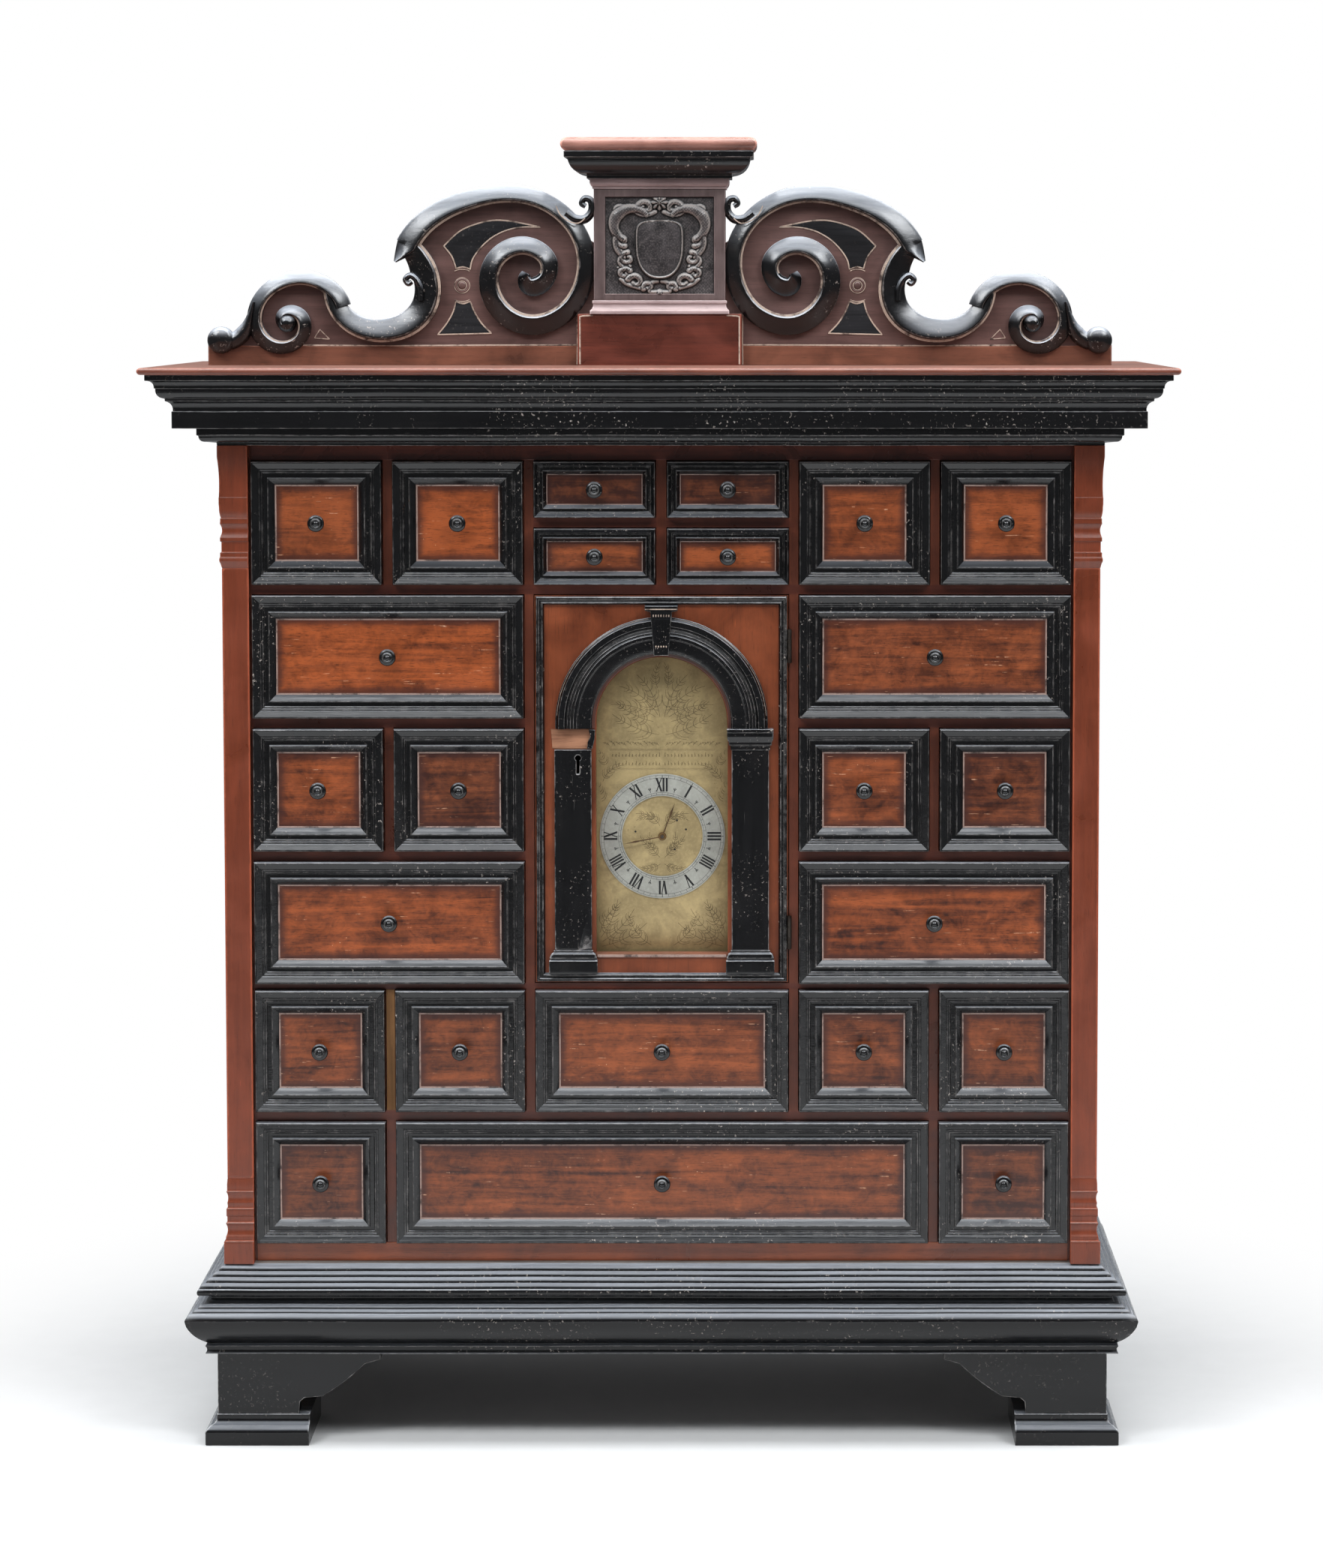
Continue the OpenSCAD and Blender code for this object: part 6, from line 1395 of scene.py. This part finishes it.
def keyhole_reach(a, grow=0.0):
    """Distance from a keyhole's middle to its edge at angle a: a slot below,
    and the far side of a circle above, whichever reaches further."""
    r, up = 2.6 + grow, 2.4
    b = up * np.sin(a)
    round_part = b + np.sqrt(np.maximum(b * b - up * up + r * r, 0))
    aside = (KEY_HALF + grow) / np.maximum(np.abs(np.cos(a)), 1e-6)
    down = np.minimum(aside, (KEY_LOW + grow) / np.maximum(-np.sin(a), 1e-6))
    return np.maximum(round_part, np.where(np.sin(a) < 0, down, 0))


def keyed_column(surface, x0, x1, z0, z1, thick):
    """A flat column with a keyhole: rings from its back edge over its worn
    front edges to the keyhole's edge and back through the hole."""
    kx, kz = KEYHOLE
    corners = [math.atan2(z - kz, x - kx) for x in (x0, x1) for z in (z0, z1)]
    corners += [math.atan2(-KEY_LOW, s * KEY_HALF) for s in (-1, 1)]
    a = np.unique(np.concatenate([np.linspace(-math.pi, math.pi, 72, endpoint=False), corners]))
    c, s = np.cos(a), np.sin(a)

    def outer(d):
        tx = np.where(c > 0, x1 - d - kx, kx - x0 - d) / np.maximum(np.abs(c), 1e-9)
        tz = np.where(s > 0, z1 - d - kz, kz - z0 - d) / np.maximum(np.abs(s), 1e-9)
        return np.minimum(tx, tz)

    y = FACE_Y - thick
    levels = [
        (outer(0), FACE_Y, 0.0), (outer(0), y + 0.5, 0.4), (outer(0.2), y + 0.12, 1.0), (outer(0.6), y, 0.8),
        (outer(2.6), y, 0.0), (keyhole_reach(a, 1.8), y, 0.1), (keyhole_reach(a, 0.5), y, 1.0),
        (keyhole_reach(a, 0.1), y + 0.2, 1.0), (keyhole_reach(a), y + 0.6, 0.5),
        (keyhole_reach(a), FACE_Y, -1.0),
    ]
    rings = np.array([np.stack([kx + r * c, np.full(len(a), d), kz + r * s], 1) for r, d, _ in levels])
    surface.loops(rings, [[mark] for _, _, mark in levels], closed=True)


def column_block(surface, steps, z, h, x0, x1, most):
    """Base or capital of a column: its profile of (out, share of h) goes
    round front and ends, at the ends by most or less."""
    thick, back = 3, 0.2
    profile = [(back, z)] + [(thick + out, z + share * h) for out, share in steps] + [(back, z + h)]

    def rect(o):
        side = np.clip(o - thick, 0, most)
        return x0 - side, x1 + side, FACE_Y - np.maximum(o, back), FACE_Y + 0 * o

    stack(surface, profile, rect, cut=0.3, soft=0.3)


def door_arch(arch):
    """The moulding round the opening, in two halves that meet beside the
    keystone, each with a pale line."""
    profile = moulding(
        (-6.1, 0), (-6.1, 1.8), (-3.4, 2.2), (-2.8, 2.6), (-2.4, 4.6), (2, 5.4), (9, 5.4), (10, 6.4),
        (13, 6.4), (14, 5), (15.6, 5.3), (16.4, 4.5), (18.2, 5.1), (19, 4.6), (21, 7), (26, 7),
        (27.5, 4.5), (29, 3.5), (29, 0), out=ARCH_IN,
    )
    up, meet = (0, -1, 0), 90 + 5.6 + 1 / 60
    for s in (1, -1):
        stations = [((0, FACE_Y, SPRING_Z + rise), (-s, 0, 0), up, 0) for rise in (0.05, 2)]
        for angle in np.append(np.linspace(180, 96, 29), meet):
            a = math.radians(angle)
            mark = 0.5 if angle == meet else 0
            stations.append(((0, FACE_Y, ARCH_Z), (s * math.cos(a), 0, math.sin(a)), up, mark))
        run(arch, profile, stations[::s], soft=0.3,
            slots=lambda p: np.where((p[:, 0] < ARCH_IN - 3.5) & (p[:, 1] > 0.2), 2, 0))
    for s in (-1, 1):
        ribbon(arch, arc(0, ARCH_Z, 92.6, 176, 97, 50) * [s, 1], 0.8, FACE_Y - 3.9, 0.5, slot=1)


def keystone(surface, low, top):
    """Keystone with flutes, two rows of small pale blocks and a pale bar."""
    y, thick = FACE_Y - 12.6, 0.8
    half = np.array([(14.5, top), (14.5, top - 4), (9.5, top - 5), (6.5, low)])
    plate(surface, np.vstack([half * [-1, 1], half[::-1]]), FACE_Y, y, 0.5, 1.2)
    for x in np.linspace(-5.6, 5.6, 5):
        flute = np.linspace([0.72 * x, low + 11.5], [x, top - 11.5], 6)
        ribbon(surface, flute, [0.9, 1.3, 1.4, 1.5, 1.6, 1.1], y, thick, mark=0.35)
    for n, half_w, z0, z1, cut, fade in (
        (7, 0.5, top - 9.4, top - 7.4, 0.25, 0.3), (5, 0.55, low + 7.4, low + 9.0, 0.3, 0.2),
    ):
        for x in 2.3 * (np.arange(n) - (n - 1) / 2):
            block(surface, (x - half_w, y - thick, z0), (x + half_w, y - GAP, z1), cut, fade, slot=2)
    block(surface, (-14.2, y - 0.7, top - 3.2), (14.2, y - GAP, top - 2.2), 0.2, 0.3, slot=2)


class CABINET_OT_door(bpy.types.Operator):
    """Clock door: boards, edge and arch mouldings, columns, keystone, lock"""

    bl_idname = "cabinet.door"
    bl_label = "Door"

    def execute(self, context):
        dress("spandrel_burr", "door_boards")
        dress("dark_steel", "door_hinge_leaves", "case_hinge_leaves", "door_lock", "lock_bolt")
        mouldings, width, inset = Surface(), 7.5, 1.1
        edge = [
            (0, 0), (0, 3), (0.12, 4), (0.35, 4), (0.42, 2.7), (0.62, 2.4), (0.7, 3.2), (0.8, 3.2), (1, 0.8),
            (1, 0),
        ]
        picture_frame(mouldings, inset - DOOR_HALF, DOOR_HALF - inset, DOOR_Z + inset, DOOR_TOP - inset,
                      np.array(edge) * [width, 1], width)
        # the sill block is made pale as a painted highlight where light from above catches it
        sill = ARCH_OPEN - 1.2
        block(mouldings, (-sill, FRONT - 1.5, SILL_Z - 2.5), (sill, FACE_Y, SILL_Z), 0.4, 0.8, slot=1)
        mouldings.build("door_edge_moulding", "ebonised_upright worn_lip", "door", "ebonised_wood",
                        "door_mouldings")

        arch = Surface()
        door_arch(arch)
        arch.build("door_arch_moulding", "ebonised_smooth pale_line reveal_polish", "door", "ebonised_wood",
                   "door_arch")

        columns = Surface()
        z0, z2 = DOOR_Z + inset + width + 0.2, SPRING_Z - 19
        z1, x0, x1 = z0 + 20, ARCH_IN - 3, ARCH_IN + 30
        keyed_column(columns, -x1, -x0, z1, z2, 3.0)
        block(columns, (x0, FACE_Y - 3, z1), (x1, FACE_Y, z2), 0.5, 2.2)
        foot = [(5, 0), (5, 0.57), (3.5, 0.62), (4.5, 0.7), (3, 0.87), (1, 0.93), (1, 1)]
        head = [(1, 0), (1, 0.18), (2.5, 0.24), (2.5, 0.37), (5, 0.63), (5, 0.82), (7.5, 0.85), (7.5, 1)]
        column_block(columns, foot, z0, 19.95, -x1, -x0, 5.5)
        column_block(columns, foot, z0, 19.95, x0, x1, 5.5)
        column_block(columns, head, z2 + GAP, 18.95, x0, x1, 4.0)
        # where the left capital is lost: bare wood and a broken remnant
        bare = moulding(
            (-98.2, 18.2), (-96.8, 1.2), (-92, 0.4), (-66, 0.6), (-61.4, 2.0), (-60.2, 9.0), (-59.6, 18.0),
            (-70, 18.5), (-85, 18.1), up=z2,
        )
        remnant = moulding(
            (-66, 1.2), (-61.2, 1.0), (-59.2, 9.5), (-58.8, 17.6), (-64.5, 18.0), (-63.2, 12.0), (-65.4, 7.0),
            up=z2,
        )
        plate(columns, bare, FACE_Y, FACE_Y - 0.5, 0.2, 1.0, slot=1)
        plate(columns, remnant, FACE_Y - 0.55, FACE_Y - 3.2, 0.5, 0.8)
        keystone(columns, ARCH_Z + ARCH_IN - 4.5, DOOR_TOP - width - inset - 0.3)
        columns.build("door_columns_and_keystone", "ebonised_upright bare_patch pale_line", "door",
                      "ebonised_wood", "door_columns")
        return {"FINISHED"}


# Clock

# Strokes of the numerals: (across, foot, across, head, width)
STROKES = {
    "I": [(0, 0, 0, 1, 1.0)],
    "V": [(-1.1, 1, 0, 0, 1.0), (1.1, 1, 0, 0, 0.4)],
    "X": [(-1.2, 1, 1.2, 0, 1.0), (1.2, 1, -1.2, 0, 0.4)],
}
STEP = {"I": 1.0, "V": 1.6, "X": 1.75}
HOURS = ["XII", "I", "II", "III", "IIII", "V", "VI", "VII", "VIII", "IX", "X", "XI"]

# Sprays of leaves on the dial plate: x, z, angle, length, turn
FRONDS = [
    (-2, 646, 100, 44, 40), (-4, 648, 122, 44, 46), (-6, 646, 146, 42, 40), (-8, 642, 168, 38, -34),
    (-4, 672, 112, 24, -60), (-3, 630, 168, 46, -26), (-54, 566, 92, 30, 30), (-53, 588, 70, 26, -70),
    (-50, 600, 100, 24, 60), (-54, 440, 12, 46, 34), (-54, 444, 32, 42, 30), (-55, 448, 54, 38, 26),
    (-56, 452, 74, 34, -40), (-10, 441, 150, 34, -50), (-2, 520, 140, 26, -60), (-3, 528, 178, 22, -70),
    (-2, 548, 120, 26, 70), (-4, 556, 165, 20, 50), (-2, 514, 215, 20, -60),
]


def numeral_strokes(word):
    """Strokes of one numeral side by side about its middle, in units of a
    stroke's spacing."""
    lean, at, out = 0.62, -sum(STEP[c] for c in word) / 2, []
    for c in word:
        mid = at + STEP[c] / 2
        at += STEP[c]
        out += [(mid + u0 * lean, v0, mid + u1 * lean, v1, wide) for u0, v0, u1, v1, wide in STROKES[c]]
    return out


def curved(start, way, reach):
    """Points of a line from start whose direction takes the angles of way."""
    moves = reach / (len(way) - 1) * np.stack([np.cos(way[:-1]), np.sin(way[:-1])], 1)
    return np.vstack([[start], np.asarray(start) + np.cumsum(moves, axis=0)])


def frond(x, z, angle, reach, turn, leaves=7):
    """A stem that turns evenly, with pairs of curved leaves that shorten
    towards its tip, each with a shorter line inside it."""
    way = np.radians(angle + turn * np.linspace(0, 1, 15))
    stem = curved((x, z), way, reach)
    lines = [(stem, 1.0)]
    for k in range(1, leaves + 1):
        i, leaf = round(13 * k / (leaves + 1)), 0.34 * reach * (1 - 0.75 * k / (leaves + 1))
        for side in (-1, 1):
            bend = way[i] + side * (1.15 - 1.1 * np.linspace(0, 1, 7))
            lines.append((curved(stem[i], bend, leaf), 0.75))
            lines.append((curved(stem[i], bend + side * 0.3, 0.6 * leaf), 0.5))
    return lines


def engraving():
    """Lines of a generic pattern of leaves for the left half of the dial
    plate, with two rows of short strokes in a frame over the ring."""
    lines = []
    for spray in FRONDS:
        lines += frond(*spray)
    for k in range(10):
        lines += frond(-3.0 - 4.9 * k, 620.5, 130 - 8 * (k % 3), 6.5, 60, 2)
    for row, base in enumerate((610.2, 602.6)):
        for k in range(15 - row):
            x, tall = -2.2 - 3.0 * k, 2.6 + 1.3 * ((5 * k + row) % 3 == 0)
            lean = 0.25 * ((3 * k + row) % 4 - 1.5)
            lines.append((np.array([[x, base], [x + lean, base + tall]]), 1.2))
            hook = np.array([[x - 1.0, base + 0.4], [x - 0.2, base + 1.9], [x + lean, base + 2.3]])
            lines.append((hook, 0.8))
    across = np.linspace(-47, 0, 24)
    for z in (617.2, 616.2, 599.8, 598.8):
        lines.append((np.stack([across, z + 0.15 * np.sin(across)], 1), 0.6))

    def inside(x, z):
        in_arch = (z < ARCH_Z) | (np.hypot(x, z - ARCH_Z) < ARCH_OPEN - 1)
        return np.all((x > 1 - ARCH_OPEN) & (x < 0.3) & (z > SILL_Z + 1) & in_arch)

    return [(line, width) for line, width in lines if inside(*line.T)]


class CABINET_OT_dial(bpy.types.Operator):
    """Engraved dial plate, silvered ring with numerals, and hands"""

    bl_idname = "cabinet.dial"
    bl_label = "Dial"

    def execute(self, context):
        front, half, line_w = -89.7, ARCH_OPEN + 3, size("engraving_w")
        dial = Surface()
        low = [[-half, SILL_Z - 6], [half, SILL_Z - 6]]
        plate(dial, np.vstack([low, arc(0, ARCH_Z, half, 0, 180, 61)]), front + 1.5, front, 0.1, 0)
        for line, share in engraving():
            for s in (-1, 1):
                ribbon(dial, line * [s, 1], line_w * share * 1.1, front, 0.03, slot=1)
        for x, z in ((13, 14), (21, 6), (11, -12), (-24, 4)):
            spot = [(0.9, 0.012), (0.95, 0.03), (0.05, 0.03)]
            lathe(dial, spot, (x, front, DIAL_Z + z), n=12, soft=0.01, slot=2)
        dial.build("dial_plate_engraved", "dial_brass engraved_line black_wax", "case", "brass", "dial_plate")

        ring, r0, r1, back, y = Surface(), 36.0, 56.0, -89.75, -90.7
        profile = [(r0, 0), (r0, back - y), (r1, back - y), (r1, 0)]
        turn = np.linspace(0, 2 * math.pi, 96, endpoint=False)
        run(ring, profile, [((0, back, DIAL_Z), (math.cos(a), 0, math.sin(a)), (0, -1, 0), 0) for a in turn],
            closed=True, soft=0.15)
        for r, wide in ((54.8, 0.22), (52.3, 0.25), (39.2, 0.22), (37.2, 0.3)):
            ribbon(ring, circle(0, DIAL_Z, r, 96), wide, y, 0.04, slot=1, closed=True)

        def spoke(hour, u0, r_a, u1, r_b, wide):
            """A stroke whose ends lie u to the right of the hour's ray."""
            t = math.radians(90 - 30 * hour)
            out, right = np.array([math.cos(t), math.sin(t)]), np.array([math.sin(t), -math.cos(t)])
            p, q = (out * r + right * u + [0, DIAL_Z] for r, u in ((r_a, u0), (r_b, u1)))
            ribbon(ring, np.array([p, (p + q) / 2, q]), wide, y, 0.06, slot=1)

        for minute in range(60):
            spoke(minute / 5, 0, 52.5, 0, 54.6, 0.22 if minute % 5 else 0.5)
        for quarter in range(48):
            spoke(quarter / 4, 0, 37.4, 0, 39.0, 0.25)
        for half_hour in np.arange(12) + 0.5:
            for ends in ((0, 40.4, 0, 44.6), (-0.48, 42.6, -1.2, 44.2), (0.48, 42.6, 1.2, 44.2)):
                spoke(half_hour, *ends, 0.55)
        r_low, r_span, unit, serif = 40.3, 11.7, 2.9, 0.95
        for hour, word in enumerate(HOURS):
            squeeze = 0.86 if len(word) == 4 else 1.0
            for u0, v0, u1, v1, wide in numeral_strokes(word):
                ends = [(u * unit * squeeze, r_low + v * r_span) for u, v in ((u0, v0), (u1, v1))]
                spoke(hour, *ends[0], *ends[1], 1.55 * wide * squeeze + 0.2)
                for u, r in ends:
                    spoke(hour, u - serif * squeeze, r, u + serif * squeeze, r, 0.36)
        ring.build("chapter_ring_inlaid", "silvered_ring black_wax", "case", "silvered_brass", "chapter_ring")

        for name, body, y, angle, reach, boss, hole, wide in (
            ("minute_hand", "minute", -93.5, 259.0, 35.0, 2.5, 1.6, 1.1),
            ("hour_hand", "hour", -92.2, 20.6, 32.0, 3.7, 3.0, 1.3),
        ):
            hand = Surface()
            half = [(0.5, 1 / reach), (1 / 3, 0.56), (0.5, 0.60), (0.9, 0.70), (0.55, 0.76), (0.28, 0.84)]
            half = np.array(half) * [wide, reach]
            shape = np.vstack([half * [-1, 1], [[0, reach]], half[::-1]])
            c, s = math.cos(math.radians(angle)), math.sin(math.radians(angle))
            plate(hand, shape @ [[c, -s], [s, c]] + [0, DIAL_Z], y + 0.8, y + 0.1, 0.1, 0)
            profile = [(hole, -0.8), (boss, -0.8), (boss, -0.1), (boss - 0.6, 0.05), (hole, 0.05)]
            lathe(hand, profile, (0, y, DIAL_Z), n=28, soft=0.1)
            hand.build(name + "_made", "browned_hand", body, "dark_steel", name)
        return {"FINISHED"}


class CABINET_OT_movement(bpy.types.Operator):
    """Brass and steel of the movement behind the dial"""

    bl_idname = "cabinet.movement"
    bl_label = "Movement"

    def execute(self, context):
        dress("movement_brass", "movement_frame", "going_barrel", "motion_wheel", "hour_wheel")
        dress("movement_steel", "centre_arbor", "third_arbor", "escape_arbor", "pendulum")
        return {"FINISHED"}


# Stage


def linked(name, data):
    """A new object in the scene."""
    made = bpy.data.objects.new(name, data)
    bpy.context.scene.collection.objects.link(made)
    return made


def area_light(name, place, look_at, width, depth, energy):
    """A soft rectangular lamp of a slightly cool white."""
    light = bpy.data.lights.new(name, "AREA")
    light.shape = "RECTANGLE"
    light.size, light.size_y = width, depth
    light.energy, light.color = energy, (0.955, 0.98, 1.0)
    holder = linked(name, light)
    holder.location = place
    holder.rotation_euler = (Vector(look_at) - Vector(place)).to_track_quat("-Z", "Y").to_euler()


def studio_world():
    """Dim cool light all round, which the camera sees as white."""
    world = bpy.data.worlds.new("studio")
    bpy.context.scene.world = world
    world.use_nodes = True
    nodes, links = world.node_tree.nodes, world.node_tree.links
    nodes.clear()
    pick, out = nodes.new("ShaderNodeMixShader"), nodes.new("ShaderNodeOutputWorld")
    links.new(nodes.new("ShaderNodeLightPath").outputs["Is Camera Ray"], pick.inputs[0])
    for i, tint, strength in ((1, (0.93, 0.96, 1.0, 1), 0.15), (2, (1, 1, 1, 1), 1.0)):
        glow = nodes.new("ShaderNodeBackground")
        glow.inputs["Color"].default_value = tint
        glow.inputs["Strength"].default_value = strength
        links.new(glow.outputs[0], pick.inputs[i])
    links.new(pick.outputs[0], out.inputs["Surface"])


def pale_floor():
    """A floor that keeps the cabinet's shadow and, as the camera sees it,
    turns to white further away."""
    mesh = bpy.data.meshes.new("floor")
    half, near, far = 2.2, -1.6, 2.4
    mesh.from_pydata([(-half, near, 0), (half, near, 0), (half, far, 0), (-half, far, 0)], [], [(0, 1, 2, 3)])
    linked("floor", mesh)
    f = Finish("floor_pale")
    flat = f.stretched((1.0, 1.0, 0.0), move=(0, -0.05, 0))
    away = f.node("VectorMath", {0: flat}, "Value", operation="LENGTH")
    f.finish(f.mix(f.noise(30.0, 4, 0.6), (0.70, 0.70, 0.70), (0.76, 0.76, 0.76)), 0.8)
    seen = f.node("LightPath", {}, "Is Camera Ray") * f.between(away, 0.43, 0.86)
    white = f.node("Emission", {"Color": (1, 1, 1), "Strength": 1.0})
    join = f.node("MixShader", {0: seen, 1: Amount(f, f.shader.outputs[0]), 2: white})
    f.put(f.out.inputs["Surface"], join)
    mesh.materials.append(f.material)


class CABINET_OT_stage(bpy.types.Operator):
    """Pale floor, white surroundings, soft studio light and the camera"""

    bl_idname = "cabinet.stage"
    bl_label = "Stage"

    def execute(self, context):
        scene = context.scene
        scene.view_settings.view_transform = "Standard"
        studio_world()
        pale_floor()
        area_light("above", (0.0, -0.35, 2.9), (0.0, -0.35, 0.0), 4.6, 1.15, 138.0)
        area_light("strip_above", (0.0, -1.65, 2.75), (0.0, -0.12, 0.55), 4.4, 0.6, 42.0)
        for side in (-1, 1):
            area_light(f"key_{side}", (side * 1.75, -1.6, 2.6), (side * 0.1, -0.1, 0.6), 0.9, 0.9, 29.0)

        # the photograph's height, the middle of its view and its focal length, in its own pixels
        high, half_wide, half_high, mid_x, mid_z, focal = 2090, 882, 1045, 1013, 707, 4876
        camera = bpy.data.cameras.new("camera")
        camera.sensor_fit = "VERTICAL"
        camera.sensor_width = camera.sensor_height = 36.0
        camera.lens = focal * 36.0 / high
        camera.shift_x, camera.shift_y = (half_wide - mid_x) / high, (mid_z - half_high) / high
        camera.clip_start, camera.clip_end = 0.05, 60.0
        eye = linked("camera", camera)
        eye.location = (0.0869, -3.330, 1.01626)
        eye.rotation_euler = (math.radians(90 - 3.6), 0, 0)
        scene.camera = eye
        return {"FINISHED"}


# Panel, registration and the run

OPERATORS = [
    CABINET_OT_feet, CABINET_OT_base, CABINET_OT_case, CABINET_OT_pilasters, CABINET_OT_cornice,
    CABINET_OT_pediment, CABINET_OT_pedestal, CABINET_OT_drawers, CABINET_OT_door, CABINET_OT_dial,
    CABINET_OT_movement, CABINET_OT_stage,
]


class CABINET_PT_panel(bpy.types.Panel):
    """Lists the cabinet's operators, sizes and colours"""

    bl_label = "Cabinet"
    bl_idname = "CABINET_PT_panel"
    bl_space_type = "VIEW_3D"
    bl_region_type = "UI"
    bl_category = "Cabinet"

    def draw(self, context):
        layout = self.layout
        for operator in OPERATORS:
            layout.operator(operator.bl_idname)
        for settings in (context.scene.cabinet_sizes, context.scene.cabinet_colours):
            box = layout.box()
            for name in settings.__annotations__:
                box.prop(settings, name)


CLASSES = [CabinetSizes, CabinetColours, *OPERATORS, CABINET_PT_panel]


def register():
    for cls in CLASSES:
        bpy.utils.register_class(cls)
    bpy.types.Scene.cabinet_sizes = PointerProperty(type=CabinetSizes)
    bpy.types.Scene.cabinet_colours = PointerProperty(type=CabinetColours)


def unregister():
    del bpy.types.Scene.cabinet_colours
    del bpy.types.Scene.cabinet_sizes
    for cls in reversed(CLASSES):
        bpy.utils.unregister_class(cls)


def main():
    register()
    for operator in OPERATORS:
        group, name = operator.bl_idname.split(".")
        getattr(getattr(bpy.ops, group), name)()


if __name__ == "__main__":
    main()
